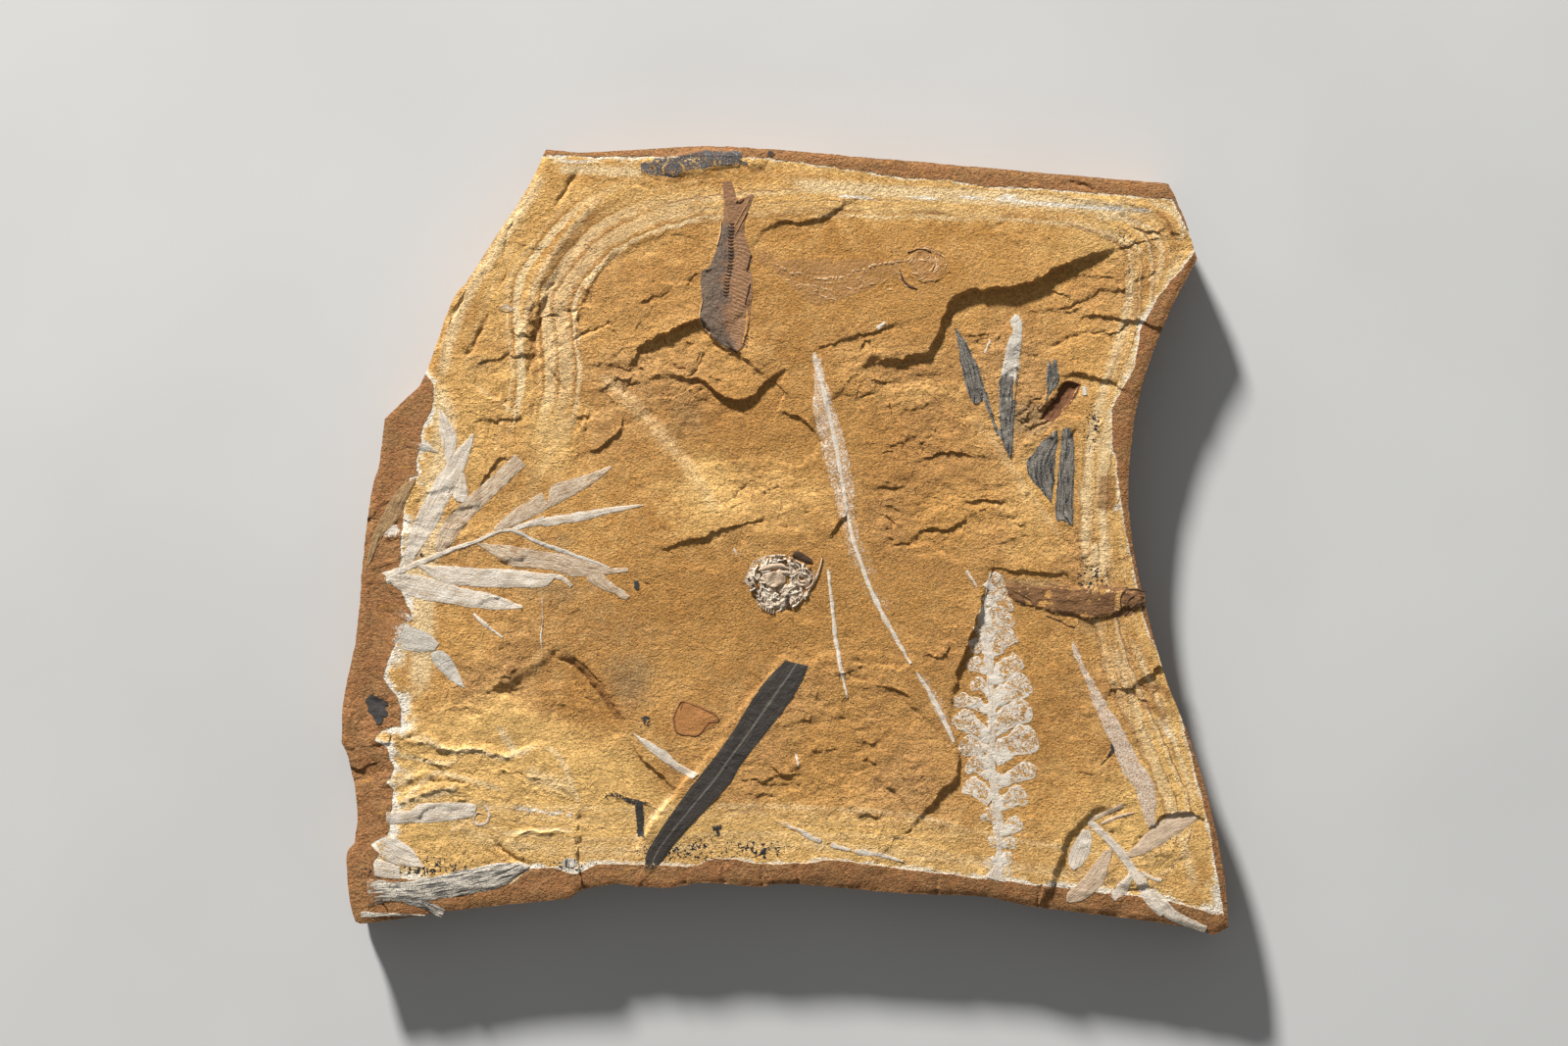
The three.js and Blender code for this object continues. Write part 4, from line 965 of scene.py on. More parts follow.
# The thin bands along the other edges: spacing in mm, phase, where a line begins, strength and tint.
EDGE_BANDS = (
    (7.7, 0.0, 0.5, 0.65, Tint.PALE), (4.1, 1.1, 0.5, 0.65, Tint.PALE), (5.3, 2.2, 0.84, 0.75, Tint.DARK),
)
RINGED = (
    Zone(556, 330, 22, 34, 1.3), Zone(590, 258, 20, 16), Zone(640, 232, 22, 12, 0.9),
    Zone(700, 222, 24, 8, 0.7), Zone(548, 390, 20, 16, 0.7),
)
PALE_RIM = (
    Zone(412, 560, 12, 50), Zone(436, 440, 10, 40, 0.6), Zone(404, 690, 12, 40, 0.6),
    Zone(404, 770, 16, 36, 0.9), Zone(396, 870, 18, 30), Zone(560, 160, 40, 10, 0.4),
    Zone(1150, 910, 60, 10, 0.5), Zone(1242, 890, 8, 50, 0.4), Zone(1160, 330, 10, 60, 0.5),
    Zone(900, 890, 120, 6, 0.3), Zone(575, 892, 20, 8, 0.8),
)
BANDED = (
    Zone(566, 290, 26, 46, 0.25), Zone(700, 206, 30, 10, 0.6), Zone(900, 202, 110, 10, 0.9),
    Zone(1160, 240, 30, 24, 1.3), Zone(1145, 330, 18, 40, 1.3), Zone(1125, 500, 18, 60, 1.3),
    Zone(1150, 690, 16, 46, 1.0), Zone(1195, 800, 18, 40, 1.2), Zone(900, 845, 160, 9, 0.5),
    Zone(520, 400, 16, 60, 0.5), Zone(510, 300, 24, 40, 0.7), Zone(500, 840, 60, 22, 0.5),
)


RIND_REACH = 12.0  # mm from the rind's edge that the finish can tell apart
BAND_REACH = 30.0  # mm from the innermost band


class StonePaint:
    """Fields of colour that the stone's finish reads at every point of the slab and its films."""

    def __init__(self, relief: Relief) -> None:
        """Keeps the relief, whose broken ground also shows in the finish."""
        self.relief = relief
        self.noise = Noise(71)

    def fields(self, points: np.ndarray) -> dict[str, np.ndarray]:
        """Works out every layer.

        Args:
            points: (n, 2) places in mm.

        Returns:
            The values of each layer at the points, by its name.
        """
        loop = to_slab(FRESH_STONE)
        rind = distance_within(closed_up(loop), points, RIND_REACH)
        guide = rounded_line(to_slab(BAND_GUIDE), 3)
        band = np.trunc(distance_within(guide, points, BAND_REACH))  # whole mm roughen the bands
        return {
            "rind": np.where(inside(loop, points), -rind, rind),
            "band": np.where(inside(guide, points), -band, band),
            "banded": self._zones(BANDED, points),
            "pale": self._zones(PALE_RIM, points),
            "ringed": self._zones(RINGED, points),
            "cream": self._strokes(CREAM, points),
            "white": self._strokes(WHITE, points),
            "brown": self._strokes(BROWN, points),
            "fresh_and_highlight": self._zones(FRESH_YELLOW_AND_HIGHLIGHT, points),
            "deep": self._zones(DEEP_OCHRE, points),
            "specks": self._zones(SPECKS, points),
            "stain": self._zones(STAIN, points),
            "rough": self.relief.roughness(points),
        }

    @staticmethod
    def _strokes(strokes: tuple[Stroke, ...], points: np.ndarray) -> np.ndarray:
        """Finds the strongest stroke at each point: its strength on the line, 0 far from it.

        Args:
            strokes: the strokes of one layer.
            points: (n, 2) places in mm.

        Returns:
            One value a point.
        """
        total = np.zeros(len(points))
        for stroke in strokes:
            path = rounded_line(to_slab(stroke.line), 4)
            near = near_box(path, points, 2.2 * stroke.width)
            distance, share = nearest_on(path, points[near])
            ends = smoothstep(np.minimum(share, 1 - share), -0.02, 0.12)
            value = stroke.strength * ends * np.exp(-((distance / stroke.width) ** 2))
            total[near] = np.maximum(total[near], value)
        return total

    def _zones(self, zones: tuple[Zone, ...], points: np.ndarray) -> np.ndarray:
        """Adds the zones together at each point.

        Args:
            zones: the zones of one layer.
            points: (n, 2) places in mm.

        Returns:
            One value a point.
        """
        x, y = points.T
        wave = 1 + 0.25 * self.noise.rough(x, y, 14, 2)
        total = np.zeros(len(points))
        for zone in zones:
            gap = (points - to_slab((zone.east, zone.south))) / (zone.wide, zone.deep)
            total += zone.strength * np.exp(-(gap**2).sum(1) * wave)
        return total

    def apply(self, mesh: bpy.types.Mesh) -> None:
        """Writes the layers, one value a vertex.

        Args:
            mesh: the mesh that gets them.
        """
        points = vertex_places(mesh)[:, :2]
        for name, values in self.fields(points).items():
            set_layer(mesh, name, values)


# ------------------------------------------------------------------ mesh bench


def read_numbers(items: object, name: str, kind: type = np.int32, each: int = 1) -> np.ndarray:
    """Reads one property of all of a mesh's vertices, faces, corners or layer values.

    Args:
        items: the mesh's list of them.
        name: the property's name.
        kind: the type of number.
        each: how many numbers every item has.

    Returns:
        The numbers in a row.
    """
    values = np.empty(len(items) * each, kind)
    items.foreach_get(name, values)
    return values


def vertex_places(mesh: bpy.types.Mesh) -> np.ndarray:
    """The places of a mesh's vertices in mm."""
    return read_numbers(mesh.vertices, "co", np.float32, 3).reshape(-1, 3).astype(float) / MM


def place_vertices(mesh: bpy.types.Mesh, places: np.ndarray) -> None:
    """Moves a mesh's vertices to places in mm."""
    mesh.vertices.foreach_set("co", (places * MM).astype(np.float32).ravel())
    mesh.update()


def set_layer(mesh: bpy.types.Mesh, name: str, values: np.ndarray) -> None:
    """Writes one number a vertex onto a mesh under a name."""
    layer = mesh.attributes.get(name) or mesh.attributes.new(name, "FLOAT", "POINT")
    layer.data.foreach_set("value", values.astype(np.float32))


def deselect_all() -> None:
    """Leaves object mode with nothing selected."""
    if bpy.context.object and bpy.context.object.mode != "OBJECT":
        bpy.ops.object.mode_set(mode="OBJECT")
    bpy.ops.object.select_all(action="DESELECT")


def make_active(piece: bpy.types.Object) -> None:
    """Selects one piece alone and makes it the active one.

    Args:
        piece: the piece.
    """
    deselect_all()
    piece.select_set(True)
    bpy.context.view_layer.objects.active = piece


class Pick(Enum):
    """What is picked in edit mode, as the switches for vertices, edges and faces."""

    EDGES = (False, True, False)
    FACES = (False, False, True)


@contextmanager
def shaping(piece: bpy.types.Object, pick: Pick = Pick.FACES,
            action: str | None = "SELECT") -> Iterator[None]:
    """Opens a piece in edit mode for a while.

    Args:
        piece: the piece.
        pick: what is picked.
        action: what becomes of the selection first, or None to leave it.
    """
    make_active(piece)
    bpy.context.tool_settings.mesh_select_mode = pick.value
    bpy.ops.object.mode_set(mode="EDIT")
    if action:
        bpy.ops.mesh.select_all(action=action)
    yield
    bpy.ops.object.mode_set(mode="OBJECT")


def pick_open_edges() -> None:
    """Selects the edges that have a face on one side alone."""
    bpy.ops.mesh.select_non_manifold(extend=False, use_wire=False, use_boundary=True,
                                     use_multi_face=False, use_non_contiguous=False, use_verts=False)


def add_grid(name: str, columns: int, rows: int) -> bpy.types.Object:
    """Adds a square grid of faces, from -0.5 to 0.5 along X and Y.

    Args:
        name: the piece's name.
        columns: faces along X.
        rows: faces along Y.

    Returns:
        The new piece.
    """
    deselect_all()
    bpy.ops.mesh.primitive_grid_add(x_subdivisions=columns, y_subdivisions=rows, size=1)
    piece = bpy.context.object
    piece.name = piece.data.name = name
    return piece


def grid_shares(piece: bpy.types.Object) -> tuple[np.ndarray, np.ndarray]:
    """The shares (0 to 1) of a new grid's vertices along X and down Y."""
    places = vertex_places(piece.data) * MM
    return places[:, 0] + 0.5, 0.5 - places[:, 1]


def join_pieces(pieces: list[bpy.types.Object], name: str) -> bpy.types.Object:
    """Joins pieces into one.

    Args:
        pieces: the pieces, of which the first takes in the others.
        name: the joined piece's name.

    Returns:
        The joined piece, selected alone.
    """
    make_active(pieces[0])
    for piece in pieces[1:]:
        piece.select_set(True)
    if len(pieces) > 1:
        bpy.ops.object.join()
    pieces[0].name = pieces[0].data.name = name
    return pieces[0]


def triangle_count(mesh: bpy.types.Mesh) -> int:
    """How many triangles a mesh's faces make."""
    return int((read_numbers(mesh.polygons, "loop_total") - 2).sum())


# ------------------------------------------------------------------ node graphs


class Graph:
    """Lays out the nodes of one material."""

    def __init__(self, material: bpy.types.Material) -> None:
        """Clears the material's nodes and adds the shader and its output.

        Args:
            material: the material that is laid out.
        """
        material.use_nodes = True
        self.tree = material.node_tree
        self.tree.nodes.clear()
        self.shader = self.add("ShaderNodeBsdfPrincipled")
        output = self.add("ShaderNodeOutputMaterial")
        self.tree.links.new(self.shader.outputs[0], output.inputs["Surface"])
        self.shader.inputs["Specular IOR Level"].default_value = 0.25

    def add(self, kind: str, **settings: object) -> bpy.types.Node:
        """Adds a node.

        Args:
            kind: the node's type.
            settings: its properties by name.

        Returns:
            The node.
        """
        node = self.tree.nodes.new(kind)
        for name, value in settings.items():
            setattr(node, name, value)
        return node

    def feed(self, socket: bpy.types.NodeSocket, value: object) -> None:
        """Feeds a socket.

        Args:
            socket: the socket that is fed.
            value: another socket, a number, a vector or a screen colour.
        """
        if isinstance(value, bpy.types.NodeSocket):
            self.tree.links.new(value, socket)
        elif isinstance(value, tuple) and len(value) == 3 and len(socket.default_value) == 4:
            socket.default_value = (*linear(value), 1.0)
        else:
            socket.default_value = value

    def math(self, operation: str, *values: object, clamp: bool = False) -> bpy.types.NodeSocket:
        """Reckons with one to three values.

        Args:
            operation: what is done with them.
            values: the values.
            clamp: whether the result is kept within 0 and 1.

        Returns:
            The result.
        """
        node = self.add("ShaderNodeMath", operation=operation, use_clamp=clamp)
        for socket, value in zip(node.inputs, values):
            self.feed(socket, value)
        return node.outputs[0]

    def total(self, *terms: tuple[object, float]) -> bpy.types.NodeSocket:
        """Adds values up.

        Args:
            terms: the values, each with its weight.

        Returns:
            The sum.
        """
        result = self.math("MULTIPLY", terms[0][0], terms[0][1])
        for value, weight in terms[1:]:
            result = self.math("MULTIPLY_ADD", value, weight, result)
        return result

    def mix(self, factor: object, first: object, second: object,
            blend: str = "MIX") -> bpy.types.NodeSocket:
        """Mixes two colours.

        Args:
            factor: how much of the second there is.
            first: the first colour.
            second: the second colour.
            blend: the way of mixing.

        Returns:
            The mixed colour.
        """
        node = self.add("ShaderNodeMix", data_type="RGBA", blend_type=blend)
        self.feed(node.inputs[0], factor)
        self.feed(node.inputs[6], first)
        self.feed(node.inputs[7], second)
        return node.outputs[2]

    def step(self, value: object, low: float, high: float, start: float = 0.0,
             end: float = 1.0) -> bpy.types.NodeSocket:
        """Lays a soft step.

        Args:
            value: the value that is stepped.
            low: the value at which the step begins.
            high: the value at which it ends.
            start: what the step gives at its beginning.
            end: what it gives at its end.

        Returns:
            The stepped value.
        """
        node = self.add("ShaderNodeMapRange", interpolation_type="SMOOTHSTEP")
        for socket, setting in zip(node.inputs[:5], (value, low, high, start, end)):
            self.feed(socket, setting)
        return node.outputs[0]

    def layer(self, name: str) -> bpy.types.NodeSocket:
        """The number that the mesh carries under a name."""
        return self.add("ShaderNodeAttribute", attribute_name=name).outputs["Fac"]

    def vector(self, x: object, y: object, z: object = 0.0) -> bpy.types.NodeSocket:
        """Makes a vector.

        Args:
            x: its value along X.
            y: its value along Y.
            z: its value along Z.

        Returns:
            The vector.
        """
        node = self.add("ShaderNodeCombineXYZ")
        for socket, value in zip(node.inputs, (x, y, z)):
            self.feed(socket, value)
        return node.outputs[0]

    def stretched(self, vector: object, scale: tuple[float, float, float]) -> bpy.types.NodeSocket:
        """Scales a vector along each axis.

        Args:
            vector: the vector.
            scale: the scale along X, Y and Z.

        Returns:
            The scaled vector.
        """
        node = self.add("ShaderNodeVectorMath", operation="MULTIPLY")
        self.feed(node.inputs[0], vector)
        node.inputs[1].default_value = scale
        return node.outputs[0]

    def place(self) -> bpy.types.NodeSocket:
        """The point's own place in mm."""
        return self.stretched(self.add("ShaderNodeTexCoord").outputs["Object"], (1 / MM,) * 3)

    def noise(self, vector: object, length: float, detail: float = 2.0, roughness: float = 0.5,
              distortion: float = 0.0) -> bpy.types.NodeSocket:
        """Lays a noise.

        Args:
            vector: the place at which it's read.
            length: the length of its waves in mm.
            detail: how many finer waves are added.
            roughness: how strong the finer waves are.
            distortion: how far the waves are bent.

        Returns:
            The noise from 0 to 1.
        """
        node = self.add("ShaderNodeTexNoise")
        self.feed(node.inputs["Vector"], vector)
        node.inputs["Scale"].default_value = 1 / length
        node.inputs["Detail"].default_value = detail
        node.inputs["Roughness"].default_value = roughness
        node.inputs["Distortion"].default_value = distortion
        return node.outputs["Fac"]

    def grains(self, vector: object, length: float) -> bpy.types.NodeSocket:
        """Lays grains side by side.

        Args:
            vector: the place at which they're read.
            length: their length in mm.

        Returns:
            The distance to the middle of the nearest one.
        """
        node = self.add("ShaderNodeTexVoronoi", feature="F1")
        self.feed(node.inputs["Vector"], vector)
        node.inputs["Scale"].default_value = 1 / length
        return node.outputs["Distance"]

    def finish(self, colour: object, roughness: object, height: object) -> None:
        """Feeds the shader.

        Args:
            colour: its colour.
            roughness: its roughness.
            height: the height of its bump in mm.
        """
        self.feed(self.shader.inputs["Base Color"], colour)
        self.feed(self.shader.inputs["Roughness"], roughness)
        bump = self.add("ShaderNodeBump")
        bump.inputs["Distance"].default_value = MM
        bump.inputs["Strength"].default_value = 1.0
        self.feed(bump.inputs["Height"], height)
        self.tree.links.new(bump.outputs["Normal"], self.shader.inputs["Normal"])


# ------------------------------------------------------------------ finishes


@dataclass(frozen=True)
class StoneFinish:
    """Iron-stained siltstone: ochre inside, cream and yellow bands, a brown rind."""

    ochre: Colour = (203, 152, 85)
    ochre_dark: Colour = (179, 128, 65)
    ochre_light: Colour = (212, 164, 99)
    deep: Colour = (172, 122, 63)
    rust: Colour = (178, 104, 44)
    tan: Colour = (190, 146, 96)
    yellow: Colour = (227, 182, 111)
    cream: Colour = (231, 200, 150)
    white: Colour = (236, 224, 204)
    rind: Colour = (156, 114, 72)
    rind_dark: Colour = (122, 88, 57)
    rind_red: Colour = (160, 110, 68)
    brown: Colour = (140, 94, 52)
    speck: Colour = (40, 42, 46)
    stain: Colour = (128, 112, 88)
    broad_length: float = 34.0  # mm, and so are the next
    patchy_length: float = 8.5
    small_length: float = 2.6
    grit_length: float = 1.15
    sand_length: float = 0.62
    speck_length: float = 0.95
    pit_length: float = 2.4
    even: float = 0.95  # what the sum of the ragged noises is in the middle
    grain_turn: float = -14.0  # degrees from east that the grain of the bedding runs
    shingles: tuple[tuple[float, ...], ...] = ((24.0, 9.5, 0.85), (11.0, 4.3, 0.4))

    def lay(self, g: Graph) -> tuple[bpy.types.NodeSocket, ...]:
        """Lays the stone's nodes.

        Args:
            g: the graph to lay them in.

        Returns:
            The colour, the roughness and the height in mm.
        """
        at = g.place()
        broad = g.noise(at, self.broad_length, 3)
        patchy = g.noise(at, self.patchy_length, 5, 0.62)
        small = g.noise(at, self.small_length, 4, 0.65)
        slanted = self._slanted(g, at)
        grit = g.noise(slanted, self.grit_length, 3, 0.8)
        sand = g.noise(at, self.sand_length, 1, 0.5)
        ragged = g.total((patchy, 0.9), (small, 0.7), (grit, 0.3))
        rough = g.layer("rough")
        colour = g.mix(g.step(broad, 0.3, 0.7), self.ochre_dark, self.ochre)
        colour = g.mix(g.step(patchy, 0.42, 0.7), colour, self.ochre_light)
        colour = g.mix(g.step(small, 0.56, 0.7, 0, 0.35), colour, self.rust)
        colour = g.mix(g.math("MULTIPLY", rough, g.step(broad, 0.7, 0.4, 0, 0.6)), colour, self.tan)

        def shown(name: str, sharp: float, amount: float = 1.0) -> bpy.types.NodeSocket:
            """A layer with a ragged edge."""
            worn = g.math("MULTIPLY_ADD", g.math("SUBTRACT", ragged, self.even), 0.55, g.layer(name))
            return g.step(worn, 0.5 - sharp, 0.5 + sharp, 0.0, amount)

        colour = g.mix(shown("deep", 0.4, 0.75), colour, self.deep)
        # the yellow of newly broken stone, which on the lit ramp, slopes and wedge is painted highlight as
        # well
        colour = g.mix(shown("fresh_and_highlight", 0.42, 0.85), colour, self.yellow)
        rind_gap = g.layer("rind")
        glow = g.total((rind_gap, 1.0), (g.math("SUBTRACT", patchy, 0.5), 14.0))
        colour = g.mix(g.step(glow, -7.5, -1.0, 0, 0.6), colour, self.yellow)
        colour = self._banding(g, colour, patchy, small)
        colour = g.mix(shown("cream", 0.34, 0.85), colour, self.cream)
        colour = g.mix(shown("white", 0.24, 0.95), colour, self.white)
        colour = g.mix(shown("brown", 0.22, 0.7), colour, self.brown)
        colour = g.mix(shown("stain", 0.3, 0.45), colour, self.stain)

        edge = g.total((rind_gap, 1.0), (g.math("SUBTRACT", small, 0.5), 1.5),
                       (g.math("SUBTRACT", patchy, 0.5), 2.2))
        pale = g.layer("pale")
        width = g.step(g.noise(at, 9, 3, 0.6), 0.36, 0.66)
        width = g.math("MULTIPLY_ADD", g.math("MULTIPLY_ADD", pale, 6.5, 1.3), width, 0.35)
        inward = g.math("DIVIDE", edge, width)
        colour = g.mix(g.step(inward, -1.3, -0.35, 0, 0.8), colour, self.cream)
        margin = g.math("MULTIPLY", g.step(inward, -0.75, -0.2), g.step(pale, 0, 0.7, 0.6, 0.95))
        colour = g.mix(margin, colour, self.white)
        rind = g.mix(g.step(patchy, 0.35, 0.65), self.rind, self.rind_red)
        rind = g.mix(g.step(small, 0.5, 0.72, 0, 0.7), rind, self.rind_dark)
        rind = g.mix(g.step(g.noise(at, 5, 3), 0.6, 0.72, 0, 0.5), rind, self.ochre_dark)
        in_rind = g.step(edge, -0.2, 0.25)
        colour = g.mix(in_rind, colour, rind)

        cells = g.grains(at, self.speck_length)
        near_edge = g.math("MULTIPLY", g.step(edge, -7, -1.5), g.step(edge, 0.4, -0.2))
        crowd = g.math("MULTIPLY", near_edge, g.step(g.noise(at, 13, 2), 0.5, 0.66, 0, 0.5))
        crowd = g.math("ADD", crowd, g.layer("specks"))
        wanted = g.math("MULTIPLY_ADD", crowd, 0.42, g.math("MULTIPLY", patchy, 0.12))
        dots = g.step(g.math("SUBTRACT", cells, wanted), -0.12, -0.2)
        dots = g.math("MULTIPLY", dots, g.step(g.noise(at, 1.6, 2), 0.5, 0.56))
        colour = g.mix(dots, colour, self.speck)

        pits = g.step(g.grains(slanted, self.pit_length), 0.3, 0.08)
        deep_pits = g.math("MULTIPLY", pits, g.step(grit, 0.42, 0.55))
        # Painted shade and light: the grit, sand and small noises, which also raise the bump, and the deep
        # pits darken and lighten the colour as the raking light on that grain and in those pits would.
        shade = g.step(grit, 0.3, 0.7, 0.72, 1.28)
        shade = g.math("MULTIPLY", shade, g.step(sand, 0.32, 0.68, 0.8, 1.2))
        shade = g.math("MULTIPLY", shade, g.step(small, 0.3, 0.7, 0.9, 1.1))
        shade = g.math("MULTIPLY", shade, g.math("MULTIPLY_ADD", deep_pits, -0.42, 1.02))
        colour = g.mix(1.0, colour, g.vector(shade, shade, shade), "MULTIPLY")

        height = g.total(
            (grit, 0.6), (sand, 0.3), (small, 0.34), (deep_pits, -0.22),
            (self._shingles(g, at, slanted, rough), 1.0),
            (g.math("MULTIPLY", in_rind, small), 0.5), (dots, 0.05),
        )
        roughness = g.total((grit, 0.1), (dots, -0.15))
        return colour, g.math("ADD", roughness, 0.84), height

    def _slanted(self, g: Graph, at: object) -> bpy.types.NodeSocket:
        """Stretches the place along the grain of the bedding, which runs east-north-east.

        Args:
            g: the graph.
            at: the place.

        Returns:
            The stretched place.
        """
        node = g.add("ShaderNodeMapping")
        g.feed(node.inputs["Vector"], at)
        node.inputs["Rotation"].default_value = (0, 0, math.radians(self.grain_turn))
        node.inputs["Scale"].default_value = (0.85, 1.12, 1.0)
        return node.outputs[0]

    def _shingles(self, g: Graph, at: object, slanted: object, rough: object) -> bpy.types.NodeSocket:
        """Lays thin laminae that overlap like shingles and step down to the south.

        Args:
            g: the graph to lay them in.
            at: the place in mm.
            slanted: the place along the grain.
            rough: how broken the ground is.

        Returns:
            Their height in mm.
        """
        total = None
        for length, run, depth in self.shingles:
            wave = g.noise(slanted, length, 5, 0.6)
            north = g.add("ShaderNodeSeparateXYZ")
            g.feed(north.inputs[0], at)
            level = g.total((north.outputs[1], 1 / run), (wave, 6.0))
            frac = g.math("FRACT", level)
            saw = g.math("SUBTRACT", g.step(frac, 0.94, 1.0), frac)
            patch = g.step(g.noise(at, length * 0.8, 2), 0.42, 0.6)
            share = g.math("MULTIPLY", patch, g.math("MULTIPLY_ADD", rough, 0.7, 0.3))
            part = g.math("MULTIPLY", g.math("MULTIPLY", saw, share), depth)
            total = part if total is None else g.math("ADD", total, part)
        return total

    def _banding(self, g: Graph, colour: object, patchy: object,
                 small: object) -> bpy.types.NodeSocket:
        """Lays thin rings of cream and brown that follow the slab's edges.

        Args:
            g: the graph to lay them in.
            colour: the stone's colour without them.
            patchy: noise of the middle length.
            small: noise of the short length.

        Returns:
            The colour with them.
        """
        run = g.total((g.layer("band"), 1.0), (g.math("SUBTRACT", patchy, 0.5), 2.6),
                      (g.math("SUBTRACT", small, 0.5), 0.5))
        amount = g.math("MULTIPLY", g.layer("banded"), g.step(run, -1.6, -0.4))
        amount = g.math("MULTIPLY", amount, g.step(patchy, 0.3, 0.55, 0.55, 1.0), clamp=True)
        fade = g.noise(g.vector(g.math("MULTIPLY", run, 0.3), 0.0, small), 1.0, 2)
        amount = g.math("MULTIPLY", amount, g.step(fade, 0.35, 0.62))
        for spacing, phase, begin, strength, tint in EDGE_BANDS:
            wave = g.math("SINE", g.math("MULTIPLY_ADD", run, 2 * math.pi / spacing, phase))
            line = g.step(wave, begin, 0.97, 0, strength)
            colour = g.mix(g.math("MULTIPLY", line, amount), colour, getattr(self, tint.value))
        ring = g.math("MULTIPLY", g.step(g.math("ABSOLUTE", run), 0.5, 0.15, 0, 0.7), amount)
        colour = g.mix(ring, colour, self.brown)
        ringed = g.math("MULTIPLY", g.layer("ringed"), g.step(patchy, 0.26, 0.5, 0.5, 1), clamp=True)
        for middle, half, strength, tint in CORNER_RINGS:
            gap = g.math("ABSOLUTE", g.math("SUBTRACT", run, middle))
            line = g.math("MULTIPLY", g.step(gap, half + 0.35, half - 0.1, 0, strength), ringed)
            colour = g.mix(line, colour, getattr(self, tint.value))
        return colour


@dataclass(frozen=True)
class SlabFinish:
    """The slab's own finish: the stone's face, and broken bedded sides."""

    stone: StoneFinish = StoneFinish()

    def material(self) -> bpy.types.Material:
        """Makes the slab's material.

        Returns:
            The material.
        """
        material = bpy.data.materials.new("siltstone")
        g = Graph(material)
        colour, roughness, height = self.stone.lay(g)
        at = g.place()
        beds = g.noise(g.stretched(at, (0.05, 0.05, 1.0)), 2.3, 4, 0.6, 0.3)
        blotch = g.noise(at, 9, 4, 0.6)
        side = g.mix(g.step(beds, 0.36, 0.64), self.stone.rind_dark, self.stone.rind)
        side = g.mix(g.step(blotch, 0.5, 0.68, 0.0, 0.6), side, self.stone.rind_red)
        side = g.mix(g.step(g.noise(g.stretched(at, (0.1, 0.1, 1)), 3.4, 4, 0.6), 0.55, 0.7, 0, 0.4),
                     side, self.stone.ochre_light)
        wall = g.layer("wall")
        colour = g.mix(wall, colour, side)
        lamina = g.total((beds, 0.5), (blotch, 0.5))
        height = g.math("MULTIPLY_ADD", g.math("MULTIPLY", wall, lamina), 1.1, height)
        g.finish(colour, roughness, height)
        return material


